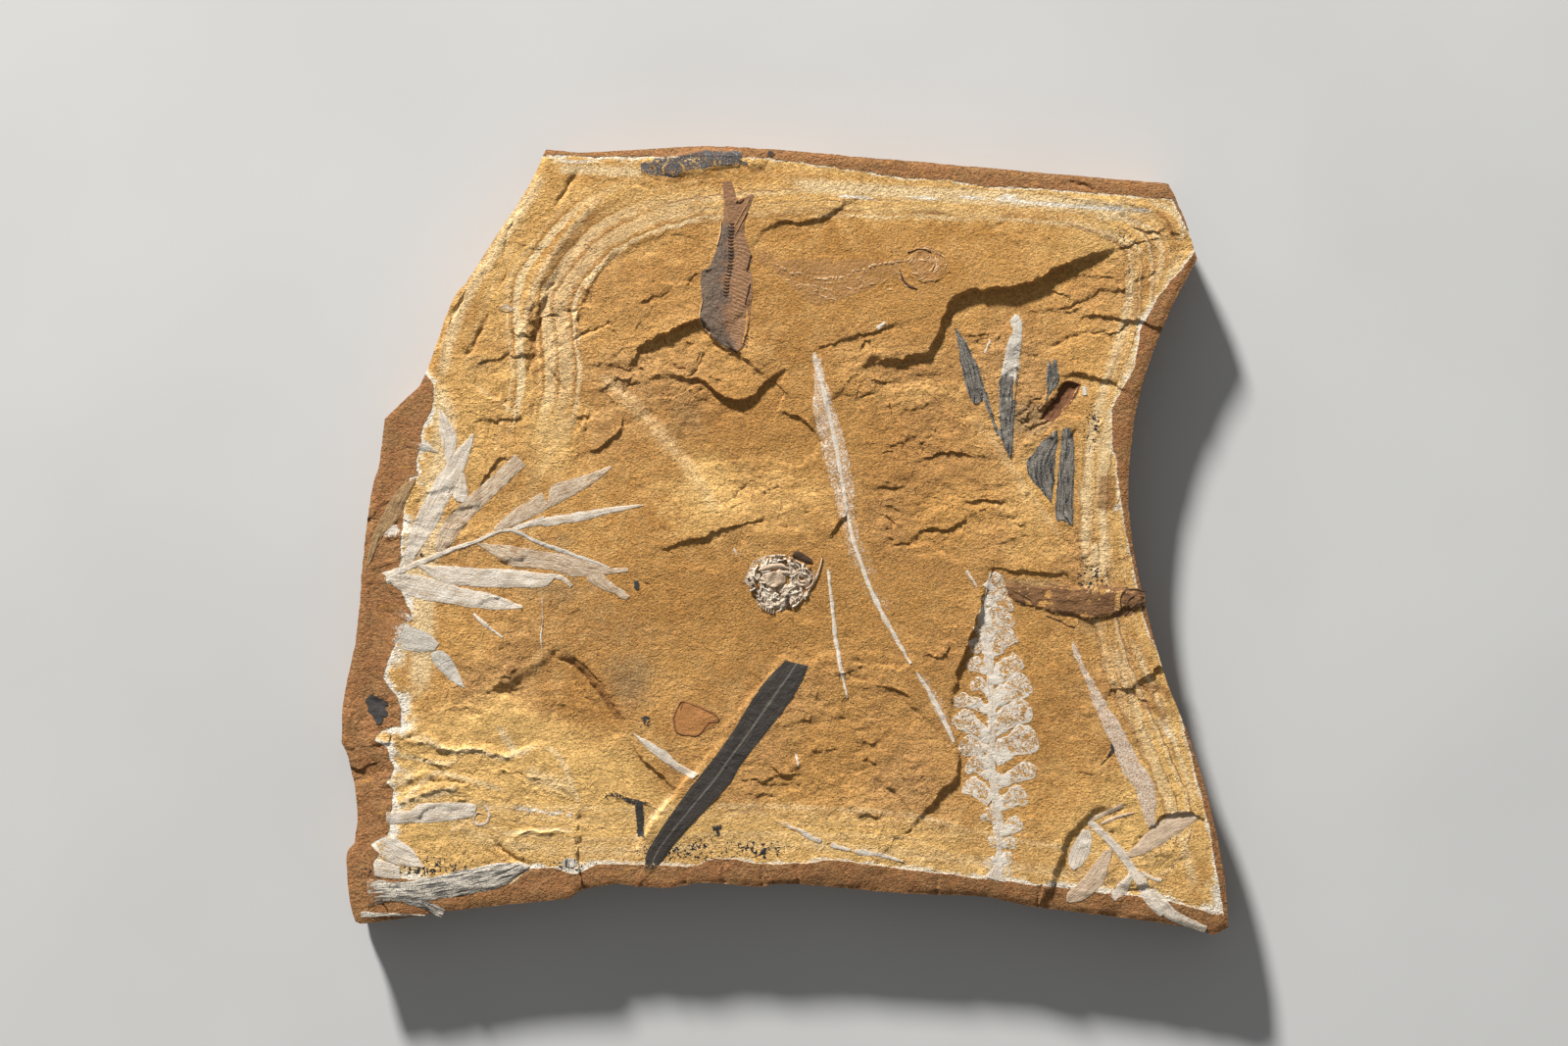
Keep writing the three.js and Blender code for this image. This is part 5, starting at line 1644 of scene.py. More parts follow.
@dataclass(frozen=True)
class FilmFinish:
    """The finish of a fossil film: a leaf, blade or stem with veins along it.

    body and second are its colours, vein how strong the veins are and vein_width and streak how
    wide and long in mm, holes how much stone shows through, speckle how much of the second
    colour is dotted over it, midrib and fleck more colours for its middle line and for small
    dots, other_side the colour of its right half, lace how much it's a net of holes, edge_wear how
    much more its edges are worn, coarse the height of its lumps in mm, crowd how many of the
    small dots there are, and ribs how far apart its thin ribs lie in mm.
    """

    name: str
    body: Colour
    second: Colour
    vein: float = 0.3
    vein_width: float = 0.35
    holes: float = 0.1
    speckle: float = 0.2
    midrib: Colour | None = None
    fleck: Colour | None = None
    other_side: Colour | None = None
    rib_colour: Colour = (206, 164, 122)
    lace: float = 0.0
    edge_wear: float = 0.08
    coarse: float = 0.0
    streak: float = 9.0
    gloss: float = 0.78
    crowd: float = 0.3
    ribs: float = 0.0
    stone: StoneFinish = StoneFinish()

    def material(self) -> bpy.types.Material:
        """Makes the film's material.

        Returns:
            The material.
        """
        material = bpy.data.materials.new(self.name)
        g = Graph(material)
        stone, _, stone_height = self.stone.lay(g)
        at = g.place()
        along, across = g.layer("along"), g.layer("across_mm")
        fibre = g.vector(g.math("MULTIPLY", along, 1 / self.streak),
                         g.math("MULTIPLY", across, 1 / self.vein_width), g.layer("seed"))
        veins = g.noise(fibre, 1.0, 2, 0.6)
        fleck = g.noise(at, 0.9, 3, 0.7)
        cloud = g.noise(at, 6, 3)
        colour = g.mix(g.step(veins, 0.42, 0.66, 0, self.vein), self.body, self.second)
        colour = g.mix(g.step(fleck, 0.62 - 0.25 * self.speckle, 0.66, 0, min(1.0, 2.5 * self.speckle)),
                       colour, self.second)
        colour = g.mix(g.step(cloud, 0.4, 0.75, 0, 0.35), colour, self.second)
        if self.other_side:
            half = g.math("MULTIPLY_ADD", g.math("SUBTRACT", cloud, 0.5), 1.6, g.layer("across"))
            half = g.math("SUBTRACT", half, g.step(along, 26, 13, 0, 1.6))
            colour = g.mix(g.step(half, 0.3, -0.3), colour, self.other_side)
            colour = g.mix(g.step(fleck, 0.55, 0.68, 0, 0.4), colour, self.second)
        if self.fleck:
            dots = g.noise(at, 0.62, 2, 0.6)
            low = 0.62 - 0.2 * self.crowd
            colour = g.mix(g.step(dots, low, low + 0.07, 0, 0.85), colour, self.fleck)
        if self.midrib:
            rib = g.step(g.math("ABSOLUTE", g.layer("across")), 0.09, 0.05)
            colour = g.mix(rib, colour, self.midrib)
        if self.ribs:
            turn = 2 * math.pi / self.ribs
            phase = g.total((along, turn), (g.math("ABSOLUTE", across), -0.7 * turn), (cloud, 9.0))
            rib = g.step(g.math("SINE", phase), 0.1, 0.95)
            right = g.step(g.layer("across"), 0.25, -0.3, 0.1, 1.0)
            rib = g.math("MULTIPLY", rib, right)
            rib = g.math("MULTIPLY", rib, g.step(along, 22, 44, 0.25, 1.0))
            colour = g.mix(g.math("MULTIPLY", rib, 0.42), colour, self.rib_colour)
            veins = g.math("MULTIPLY_ADD", rib, 0.5, veins)
        shade = g.step(g.noise(at, 0.8, 3, 0.7), 0.3, 0.7, 0.84, 1.12)
        colour = g.mix(1.0, colour, g.vector(shade, shade, shade), "MULTIPLY")
        worn = g.total((veins, 0.5 * self.vein), (fleck, 1 - 0.5 * self.vein), (cloud, 0.4),
                       (g.layer("bare"), 0.55),
                       (g.step(g.math("ABSOLUTE", g.layer("across")), 0.6, 1.0), self.edge_wear))
        gone = g.step(worn, 1.02 - 0.5 * self.holes, 1.08 - 0.5 * self.holes)
        if self.lace:
            strand = g.math("ABSOLUTE", g.math("SUBTRACT", g.noise(at, 1.7, 2, 0.55, 0.8), 0.5))
            rim = g.step(g.math("ABSOLUTE", g.layer("across")), 0.92, 0.8)
            open_share = g.step(g.math("ADD", g.noise(at, 4.5, 2), g.layer("bare")), 0.5, 0.62)
            hole = g.math("MULTIPLY", g.step(strand, 0.05, 0.07), g.math("MULTIPLY", rim, open_share))
            gone = g.math("MAXIMUM", gone, g.math("MULTIPLY", hole, self.lace))
        colour = g.mix(gone, colour, stone)
        height = g.total((veins, 0.22 * self.vein + 0.05), (fleck, 0.08), (gone, -0.12),
                         (stone_height, 0.35), (g.noise(at, 1.4, 3, 0.6), self.coarse * 3))
        roughness = g.total((fleck, 0.12), (gone, 0.1))
        g.finish(colour, g.math("ADD", roughness, self.gloss), height)
        return material


# ------------------------------------------------------------------ the slab


@dataclass
class Slab:
    """The slab of stone: its split upper face, broken walls and rough underside."""

    relief: Relief
    paint: StonePaint
    across: int = 168
    down: int = 154
    budgets: tuple[int, ...] = (104000, 140000, 160000)  # triangles of the upper face, cut by cut
    cut_cost: int = 7  # triangles that dividing one face adds, with those beside it
    tolerance: float = 0.03  # mm that a face may stray from the relief
    wall_drop: float = 2.3  # mm between rings of the wall
    wall_rings: int = 10
    foot_inset: float = 3.2  # mm that the wall's foot stands back
    least_inset: float = 0.06
    beds: int = 9  # beds that show in the wall
    base_across: int = 70
    base_down: int = 62
    base_share: float = 0.955  # of the outline that the underside fills
    flake_step: float = 0.35  # mm between levels of the underside
    sharp_edge: float = 42.0  # degrees
    map_width: float = 488.0  # mm of the upper face to one side of the map
    map_base_width: float = 2200.0
    map_wall_width: float = 470.0
    map_strips: int = 4  # strips into which the wall is laid

    def build(self) -> bpy.types.Object:
        """Builds and dresses the slab.

        Returns:
            The finished piece.
        """
        self.outline = Outline(self.across, self.down)
        piece = add_grid("slab", self.across, self.down)
        self._raise(piece, self.outline.at(*grid_shares(piece)))
        for budget in self.budgets:
            self._refine(piece, budget)
        self._walls(piece)
        self._underside(piece)
        self._unwrap(piece)
        self.paint.apply(piece.data)
        piece.data.materials.append(SlabFinish().material())
        make_active(piece)
        bpy.ops.object.shade_smooth_by_angle(angle=math.radians(self.sharp_edge))
        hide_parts("fossil_slab")
        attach(piece, "root")
        return piece

    def _raise(self, piece: bpy.types.Object, plan: np.ndarray) -> None:
        """Puts every vertex at its place on the plan, at the height of the relief."""
        height = self.relief.height(plan, self.outline.rim_distance(plan))
        place_vertices(piece.data, np.column_stack([plan, height]))

    def _refine(self, piece: bpy.types.Object, budget: int) -> None:
        """Divides the faces that follow the relief least well.

        Args:
            piece: the upper face.
            budget: how many triangles it may have afterwards, about.
        """
        mesh = piece.data
        starts = read_numbers(mesh.polygons, "loop_start")
        sizes = read_numbers(mesh.polygons, "loop_total")
        corners = read_numbers(mesh.loops, "vertex_index")
        ring = corners[starts[:, None] + np.arange(4)[None] % sizes[:, None]]
        points = vertex_places(mesh)[ring]
        middle = points.mean(1)
        error = np.zeros(len(sizes))
        for share, corner in ((0.0, 0), (0.5, 0), (0.5, 2)):
            probe = middle * (1 - share) + points[:, corner] * share
            rim = self.outline.rim_distance(probe[:, :2])
            height = self.relief.height(probe[:, :2], rim)
            error = np.maximum(error, np.abs(height - probe[:, 2]))
        error[sizes != 4] *= 0.5
        chosen = np.zeros(len(sizes), bool)
        worst = np.argsort(-error)[: max(0, (budget - triangle_count(mesh)) // self.cut_cost)]
        chosen[worst] = error[worst] > self.tolerance
        with shaping(piece, Pick.FACES, "DESELECT"):
            pass
        mesh.polygons.foreach_set("select", chosen)
        with shaping(piece, Pick.FACES, None):
            bpy.ops.mesh.subdivide(number_cuts=1, ngon=False)
        self._raise(piece, vertex_places(mesh)[:, :2])

    def _walls(self, piece: bpy.types.Object) -> None:
        """Extrudes the edge down to the underside and breaks it up.

        Args:
            piece: the upper face, which gets its walls.
        """
        mesh = piece.data
        top_count = len(mesh.vertices)
        with shaping(piece, Pick.EDGES, "DESELECT"):
            pick_open_edges()
            for _ in range(self.wall_rings):
                bpy.ops.mesh.extrude_region_move(
                    TRANSFORM_OT_translate={"value": (0, 0, -self.wall_drop * MM)})
        places = vertex_places(mesh)
        wall = places[top_count:]
        plan = wall[:, :2]
        closed = closed_up(self.outline.loop)
        _, share = nearest_on(closed, plan)
        rim = self.relief.height(plan, np.zeros(len(plan)))
        ring = np.clip(np.round((rim - wall[:, 2]) / self.wall_drop), 1, self.wall_rings)
        depth = ring / self.wall_rings
        around = share * path_length(closed)
        inward = self._inward(closed, share)
        a, b = Noise(91), Noise(92)
        coarse = a.rough(around, 40 * depth, 14, 3)
        bedded = b.at(np.round(depth * self.beds) * 40 + around * 0.3, depth * 90, 9)
        chips = np.maximum(0, a.rough(around + 300, 24 * depth, 6, 3))
        profile = np.interp(depth, (0, 0.12, 0.5, 0.8, 1), (0.1, 0.35, 1.3, 1.5, self.foot_inset))
        inset = profile + (0.25 + 1.1 * depth) * (coarse + 0.45 * bedded) + 0.8 * chips * depth
        inset = np.maximum(self.least_inset, inset)
        places[top_count:, :2] = plan + inward * inset[:, None]
        places[top_count:, 2] = rim * (1 - depth)
        place_vertices(mesh, places)
        flags = np.zeros(len(places))
        flags[top_count:] = 0.35 + 0.65 * np.minimum(1, depth * 4)
        set_layer(mesh, "wall", flags)
        station = np.zeros(len(places))
        station[top_count:] = around
        self.perimeter = path_length(closed)
        rim_points = places[:top_count, :2]
        near = self.outline.rim_distance(rim_points) < 0.05
        station[:top_count][near] = nearest_on(closed, rim_points[near])[1] * self.perimeter
        set_layer(mesh, "station", station)

    @staticmethod
    def _inward(closed: np.ndarray, share: np.ndarray) -> np.ndarray:
        """Finds the inward direction of a clockwise loop, a little smoothed.

        Args:
            closed: the loop's points, the first once more at the end.
            share: shares along the loop.

        Returns:
            One direction a share.
        """
        stations, known = np.linspace(0, 1, 400), stations_of(closed)
        even = read_path(closed, known, stations * known[-1])[:-1]
        inward = rightward(np.roll(even, -3, axis=0) - np.roll(even, 3, axis=0))
        return read_path(closed_up(inward), stations, share)

    def _underside(self, piece: bpy.types.Object) -> None:
        """Closes the slab with a rough split underside.

        Args:
            piece: the upper face and its walls.
        """
        base = add_grid("underside", self.base_across, self.base_down)
        plan = self.outline.at(*grid_shares(base)) * self.base_share
        x, y = plan.T
        noise = Noise(55)
        rise = 0.55 + 0.45 * noise.rough(x, y, 30, 3) + 0.2 * noise.rough(x, y, 6, 2)
        level = rise / self.flake_step
        step = 0.6 * (np.floor(level) + smoothstep(level % 1, 0.6, 1)) * self.flake_step
        height = np.clip(0.4 * rise + step, 0.02, 3)
        for flake in UNDERSIDE_FLAKES:
            flake.add_to(plan, height)
        place_vertices(base.data, np.column_stack([plan, height]))
        with shaping(base):
            bpy.ops.mesh.flip_normals()
        for name in ("wall", "base"):
            set_layer(base.data, name, np.ones(len(plan)))
        join_pieces([piece, base], "slab")
        with shaping(piece, Pick.EDGES, "DESELECT"):
            pick_open_edges()
            bpy.ops.mesh.bridge_edge_loops()
            bpy.ops.mesh.select_all(action="SELECT")
            bpy.ops.mesh.normals_make_consistent(inside=False)

    def _unwrap(self, piece: bpy.types.Object) -> None:
        """Lays the upper face, the underside and the walls out on one map.

        Args:
            piece: the closed slab.
        """
        mesh = piece.data
        wall, base, station = (read_numbers(mesh.attributes[name].data, "value", np.float32)
                               for name in ("wall", "base", "station"))
        loops = read_numbers(mesh.loops, "vertex_index")
        sizes = read_numbers(mesh.polygons, "loop_total")
        owner = np.repeat(np.arange(len(sizes)), sizes)
        starts = np.concatenate([[0], np.cumsum(sizes)[:-1]])

        def over_face(extreme: np.ufunc, values: np.ndarray) -> np.ndarray:
            """The smallest or largest value of the face that each corner belongs to."""
            return extreme.reduceat(values[loops], starts)[owner]

        x, y, z = vertex_places(mesh)[loops].T
        top = np.column_stack([0.4 + x / self.map_width, 0.65 + y / self.map_width])
        under = np.column_stack([0.9 + x / self.map_base_width, 0.12 + y / self.map_base_width])
        low, high = over_face(np.minimum, station), over_face(np.maximum, station)
        over_seam = high - low > self.perimeter / 2
        late = over_seam & (station[loops] < self.perimeter / 2)
        turn = station[loops] + np.where(late, self.perimeter, 0)
        first = np.where(over_seam, high, low)
        strip = np.minimum(self.map_strips - 1, np.floor(first / self.perimeter * self.map_strips))
        side = np.column_stack([
            0.02 + (turn - strip * self.perimeter / self.map_strips) / self.map_wall_width,
            0.03 + strip * 0.062 + z / 500])
        on_base, on_wall = over_face(np.maximum, base) > 0.5, over_face(np.maximum, wall) > 0
        uv = np.where(on_base[:, None], under, np.where(on_wall[:, None], side, top))
        layer = mesh.uv_layers.new(name="OFBake")
        layer.data.foreach_set("uv", uv.astype(np.float32).ravel())
        mesh.uv_layers.active = layer
        for name in ("base", "station"):
            mesh.attributes.remove(mesh.attributes[name])


UNDERSIDE_FLAKES = (
    Patch((600, 240, 700, 205, 790, 232, 770, 300, 660, 330, 590, 292), (1.2, 1.8, 1.4, 0.9, 0.8, 1), 4),
    Patch((1010, 560, 1100, 520, 1135, 590, 1120, 680, 1050, 700, 1000, 640), (0.9, 1.6, 2, 1.8, 1, 0.8),
        5),
    Patch((430, 760, 520, 730, 640, 780, 620, 850, 500, 880, 420, 850), (1.6, 1, 0.8, 1.4, 2, 2), 5),
)


# ------------------------------------------------------------------ fossil films

FILM_SPACING = (0.42, 0.75)  # mm between a film's points, at the least and at the most
BRIDGED_ROWS = 17  # rows over which a film that bridges the ground evens it out


class Ground:
    """The finished slab's surface, for seating films."""

    above: float = 60.0  # mm, over all of the slab
    least: float = 12.0  # mm; what lies lower is no part of the upper face

    def __init__(self, piece: bpy.types.Object, relief: Relief) -> None:
        """Args:
            piece: the finished slab.
            relief: its relief, for what lies past its edge.
        """
        places = vertex_places(piece.data)
        faces = [tuple(face.vertices) for face in piece.data.polygons]
        self.tree = BVHTree.FromPolygons([Vector(p) for p in places], faces)
        self.relief = relief

    def height(self, plan: np.ndarray) -> np.ndarray:
        """Finds the height of the ground.

        Args:
            plan: places on the slab in mm.

        Returns:
            One height a place, in mm.
        """
        down = Vector((0, 0, -1))
        found = np.zeros(len(plan))
        for i, (x, y) in enumerate(plan):
            hit = self.tree.ray_cast(Vector((x, y, self.above)), down)[0]
            found[i] = hit.z if hit is not None else 0.0
        off = np.flatnonzero(found < self.least)
        if len(off):
            found[off] = self.relief.height(plan[off], np.zeros(len(off)))
        return found


@dataclass(frozen=True)
class Film:
    """A leaf-like film between its left and right edges, both from its start to its tip.

    proud is how far it stands above the stone in mm, keel how much more along its middle, torn
    how ragged its edges are, bare how worn it is at even stations, spacing how far apart its
    points lie in mm (0 for what suits its width), crumple the height of its folds in mm, and flat
    how much it bridges the unevenness of the stone.
    """

    left: Line
    right: Line
    proud: float = 0.2
    keel: float = 0.04
    torn: float = 0.25
    bare: tuple[float, ...] = (0.0, 0.0)
    spacing: float = 0.0
    crumple: float = 0.0
    flat: float = 0.0

    def build(self, name: str, seed: int, ground: Ground) -> bpy.types.Object:
        """Builds the film on the ground.

        Args:
            name: the new piece's name.
            seed: a number for its ragged edges.
            ground: the slab's surface.

        Returns:
            The film as a thin piece.
        """
        noise = Noise(200 + seed)
        left, right = (rounded_line(to_slab(edge), 8) for edge in (self.left, self.right))
        length = 0.5 * (path_length(left) + path_length(right))
        widest = np.linalg.norm(resampled(left, 20) - resampled(right, 20), axis=1).max()
        spacing = self.spacing or np.clip(widest / 4, *FILM_SPACING)
        rows, columns = max(4, round(length / spacing)), int(np.clip(round(widest / spacing), 3, 40))
        left, right = resampled(left, rows), resampled(right, rows)
        width = np.linalg.norm(left - right, axis=1)
        self._tear(left, right, width, np.linspace(0, length, rows + 1), noise)
        piece = add_grid(name, columns, rows)
        v, u = grid_shares(piece)
        steps = np.linspace(0, 1, rows + 1)
        plan = (read_path(left, steps, u) * (1 - v[:, None])
                + read_path(right, steps, u) * v[:, None])
        across = 2 * v - 1
        lift = self._lift(plan, across, noise)
        floor = ground.height(plan)
        if self.flat:
            floor = self._bridge(floor, np.argsort(u, kind="stable").reshape(rows + 1, columns + 1))
        place_vertices(piece.data, np.column_stack([plan, floor + lift]))
        layers = {
            "along": u * length, "across": across,
            "across_mm": across * 0.5 * np.interp(u, steps, width),
            "seed": np.full(len(u), seed * 3.7), "bare": at_stations(self.bare, u),
        }
        for layer, values in layers.items():
            set_layer(piece.data, layer, values)
        if sum(face.normal.z * face.area for face in piece.data.polygons) < 0:
            with shaping(piece):
                bpy.ops.mesh.flip_normals()
        return piece

    def _tear(self, left: np.ndarray, right: np.ndarray, width: np.ndarray, stations: np.ndarray,
              noise: Noise) -> None:
        """Makes the film's edges ragged.

        Args:
            left: the left edge's points, which it moves.
            right: the right edge's points, which it moves.
            width: how far apart they are in mm.
            stations: how far along the film they lie in mm.
            noise: the noise that moves them.
        """
        taper = np.minimum(1, width / 1.5)
        for edge, sign, row in ((left, 1, 0.0), (right, -1, 60.0)):
            away = (left - right) / np.maximum(width, 0.2)[:, None] * sign
            wave = noise.rough(stations, np.full(len(stations), row), 3.2, 3)
            edge += away * (self.torn * wave * taper)[:, None]

    def _lift(self, plan: np.ndarray, across: np.ndarray, noise: Noise) -> np.ndarray:
        """Works out how far the film stands above the ground.

        Args:
            plan: places of its points in mm.
            across: where they lie between its edges, from -1 to 1.
            noise: the noise of its folds.

        Returns:
            One height a point, in mm.
        """
        x, y = plan.T
        from_edge = 1 - np.abs(across)
        lift = self.proud * (0.45 + 0.55 * smoothstep(from_edge, 0, 0.25))
        lift += self.keel * (1 - across**2)
        lift += 0.05 * noise.at(x, y, 2.4)
        if self.crumple:
            folds = 1 - np.abs(noise.rough(x, y, 4.2, 3)) * 2.2
            inner = smoothstep(from_edge, 0, 0.3)
            lift += self.crumple * inner * (0.8 * folds + 0.25 * noise.rough(x, y, 1.4, 2))
        return lift

    def _bridge(self, floor: np.ndarray, rows: np.ndarray) -> np.ndarray:
        """Evens the ground out under a film that bridges it, row by row.

        Args:
            floor: the height of the ground at each point in mm.
            rows: the indices of the points, one row across the film after another.

        Returns:
            The height on which the film lies, in mm.
        """
        beside = BRIDGED_ROWS // 2
        level = np.pad(floor[rows].mean(1), beside, mode="edge")
        level = np.convolve(level, np.ones(BRIDGED_ROWS) / BRIDGED_ROWS, mode="valid")
        even = np.empty_like(floor)
        even[rows] = level[:, None]
        return np.maximum(floor, floor + self.flat * (even - floor))


def blade(centre: Line, widths: tuple[float, ...], **more: object) -> Film:
    """Makes a film along a centre line.

    Args:
        centre: the line on the plan grid.
        widths: its full widths on the plan grid, at even stations.
        more: the film's other fields.

    Returns:
        The film.
    """
    line = rounded_line(np.asarray(centre, float).reshape(-1, 2), 4)
    side = rightward(np.gradient(line, axis=0))
    half = 0.5 * at_stations(widths, np.linspace(0, 1, len(line)))
    left, right = (tuple((line + sign * side * half[:, None]).ravel()) for sign in (1, -1))
    return Film(left, right, **more)


@dataclass
class FossilPiece:
    """A fossil made of one or more films with one finish."""

    name: str
    films: tuple[Film, ...]
    finish: FilmFinish
    thickness: float = 0.45  # mm
    weld: float = 0.02  # mm within which points are one
    sharp_edge: float = 50.0  # degrees

    def build(self, ground: Ground, paint: StonePaint) -> bpy.types.Object:
        """Builds, joins and dresses the films.

        Args:
            ground: the slab's surface.
            paint: the stone's colour fields, for where the stone shows through.

        Returns:
            The finished piece.
        """
        parts = [film.build(f"{self.name}_{i}", i + 7 * len(self.name), ground)
                 for i, film in enumerate(self.films)]
        piece = join_pieces(parts, self.name)
        with shaping(piece):
            bpy.ops.mesh.remove_doubles(threshold=self.weld * MM)
        modifier = piece.modifiers.new("thickness", "SOLIDIFY")
        modifier.thickness = self.thickness * MM
        modifier.offset = -1
        bpy.ops.object.modifier_apply(modifier=modifier.name)
        bpy.ops.object.shade_smooth_by_angle(angle=math.radians(self.sharp_edge))
        paint.apply(piece.data)
        piece.data.materials.append(self.finish.material())
        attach(piece, "root")
        return piece


# ------------------------------------------------------------------ the fossils

WHITE_LEAF = FilmFinish("white_leaf", (234, 222, 204), (188, 160, 126), vein=0.75, vein_width=0.3,
    holes=0.16, speckle=0.12)
SOLID_WHITE = FilmFinish("solid_white", (232, 220, 202), (200, 176, 146), vein=0.4, holes=0.02, speckle=0.1,
    edge_wear=0.04)
TAN_LEAF = FilmFinish("tan_leaf", (222, 202, 174), (166, 126, 88), vein=0.95, vein_width=0.3, streak=4.0,
    holes=0.2, speckle=0.15)
GREY_WHITE = FilmFinish("grey_white_leaf", (216, 206, 190), (160, 146, 128), vein=0.5, holes=0.2,
    speckle=0.2)
SPOTTED = FilmFinish("spotted_leaf", (228, 212, 192), (204, 176, 146), vein=0.5, vein_width=0.4, streak=2.5,
    holes=0.2, speckle=0.1, fleck=(184, 136, 90), crowd=0.62)
KHAKI_LEAF = FilmFinish("khaki_leaf", (178, 146, 104), (122, 88, 56), vein=1.0, holes=0.3, speckle=0.2,
    streak=7.0)
PALE_BROWN = FilmFinish("pale_brown_leaf", (218, 192, 162), (180, 148, 118), vein=0.7, holes=0.1,
    speckle=0.1)
SPECKLED = FilmFinish("speckled_blade", (204, 162, 116), (190, 142, 94), vein=0.1, holes=0.36, speckle=0.1,
    edge_wear=0.06, fleck=(238, 228, 212), crowd=0.6)
LACE = FilmFinish("fern_lace", (232, 221, 204), (206, 184, 152), vein=0.2, holes=0.14, speckle=0.1,
    lace=1.0, edge_wear=0.02)
DARK_RIBBON = FilmFinish("dark_ribbon", (74, 67, 59), (48, 44, 42), vein=0.8, vein_width=0.25, streak=16.0,
    holes=0.0, speckle=0.12, midrib=(112, 104, 95), gloss=0.56)
GREY_LEAF = FilmFinish("grey_leaf", (134, 126, 114), (50, 48, 47), vein=1.0, vein_width=0.8, streak=7.0,
    holes=0.06, speckle=0.24, fleck=(186, 177, 162), gloss=0.6, crowd=0.12)
LOG_SKIN = FilmFinish("grey_log", (222, 210, 190), (72, 70, 70), vein=1.0, vein_width=0.75, streak=8.0,
    holes=0.16, speckle=0.1, fleck=(60, 59, 60), crowd=0.3)
HOLLOW = FilmFinish("hollow_leaf", (132, 88, 56), (84, 54, 36), vein=1.0, vein_width=0.3, streak=9.0,
    holes=0.06, speckle=0.1)
WOOD = FilmFinish("brown_wood", (148, 107, 69), (104, 72, 47), vein=0.9, vein_width=0.8, streak=7.0,
    holes=0.06, speckle=0.12, coarse=0.1, edge_wear=0.2, fleck=(88, 66, 50), crowd=0.1)
FISH_SKIN = FilmFinish("fish_skin", (128, 107, 88), (82, 73, 70), vein=0.3, vein_width=0.8, holes=0.14,
    speckle=0.45, other_side=(152, 112, 80), coarse=0.14, streak=4.0, ribs=1.7)
FISH_BONE = FilmFinish("fish_bone", (178, 134, 92), (140, 98, 64), vein=0.4, holes=0.34, speckle=0.3)
# also the finish of the painted shadow among the crumpled fossil's folds
DARK_BONE_AND_SHADOW = FilmFinish("dark_bone_and_shadow", (86, 62, 46), (60, 46, 38), vein=0.3, holes=0.1, speckle=0.2)
PALE_BONE = FilmFinish("pale_bone", (220, 184, 138), (186, 138, 92), vein=0.4, holes=0.4, speckle=0.4)
FAINT_SKIN = FilmFinish("faint_skin", (184, 136, 84), (152, 108, 64), vein=0.3, vein_width=1.0, holes=0.6,
    speckle=0.3, coarse=0.2, edge_wear=0.3)
SHELL = FilmFinish("crumpled_shell", (232, 212, 186), (170, 128, 90), vein=0.2, holes=0.22, speckle=0.35,
    fleck=(96, 70, 48), coarse=0.25)
CHALK = FilmFinish("chalky_edge", (240, 230, 212), (206, 176, 140), vein=0.3, holes=0.0, speckle=0.2)
CRUST = FilmFinish("mineral_crust", (96, 92, 92), (56, 56, 62), vein=0.2, vein_width=1.2, holes=0.54,
    speckle=0.4, fleck=(156, 146, 132), gloss=0.6, edge_wear=0.3)
DARK_MARK = FilmFinish("dark_mark", (66, 62, 58), (46, 46, 48), vein=0.2, holes=0.42, speckle=0.3,
    edge_wear=0.16)
SCALE_SKIN = FilmFinish("scale_skin", (190, 132, 76), (160, 104, 58), vein=0.2, holes=0.3, speckle=0.2)
SCALE_RIM = FilmFinish("scale_rim", (150, 100, 60), (120, 80, 48), vein=0.2, holes=0.3, speckle=0.2)


def round_patch(east: float, south: float, wide: float, deep: float, **more: object) -> Film:
    """Makes a film over a round patch, from its north end to its south end.

    Args:
        east: its middle on the plan grid, eastward.
        south: its middle on the plan grid, southward.
        wide: its radius from east to west.
        deep: its radius from north to south.
        more: the film's other fields.

    Returns:
        The film.
    """
    turn = np.linspace(0, math.pi, 9)
    left, right = (
        tuple(zip(east + side * wide * np.sin(turn), south - deep * np.cos(turn)))
        for side in (-1, 1)
    )
    return Film(left, right, **more)


SHOOT_WHITE = (
    blade((411, 580, 447, 508, 483, 443), (8, 18, 22, 21, 17, 3)),
    Film((554, 528, 636, 516, 657, 515), (554, 537, 592, 531, 657, 516)),
    blade((522, 541, 538, 535, 556, 531), (4, 6, 9)),
    Film((426, 576, 519, 581, 569, 586), (428, 579, 449, 593, 480, 598, 550, 599, 562, 594)),
    blade((567, 588, 575, 590, 583, 598), (5, 4, 3)),
    Film((396, 588, 412, 585, 441, 590, 470, 599, 504, 607, 533, 618), (396, 592, 410, 603, 430, 611, 496,
        621, 533, 621)),
    blade((392, 590, 411, 581, 458, 562, 487, 552, 506, 543, 526, 540), (13, 8, 5, 4, 4, 4, 3)),
    blade((483, 626, 496, 638, 513, 650), (3, 4, 2)),
    Film((448, 417, 449, 442, 456, 473), (451, 419, 465, 440, 465, 457, 459, 473)),
    Film((470, 482, 462, 504, 466, 511), (474, 483, 477, 504, 475, 513)),
)
SHOOT_TAN = (
    blade((447, 562, 467, 530, 531, 469), (7, 18, 19, 17, 16, 15)),
    blade((505, 541, 525, 528, 557, 510), (5, 12, 16, 18)),
    Film((559, 509, 566, 494, 605, 482, 622, 475), (560, 518, 575, 511, 606, 492, 625, 477)),
    Film((487, 554, 521, 557, 565, 564, 593, 570, 622, 579, 641, 580), (487, 556, 523, 577, 561, 581, 588,
        588, 620, 586, 641, 583)),
    Film((599, 588, 603, 595, 639, 612), (616, 586, 622, 593, 643, 607)),
)
SHOOT_GREY = (
    blade((525, 541, 552, 554, 622, 579), (4, 4, 4, 2)),
    blade((414, 453, 432, 456, 447, 461), (5, 9, 3), bare=(1, 0.2, 0.4)),
    round_patch(399, 543, 9, 8, torn=1.0, bare=(0.45, 0.3, 0.9)),
)
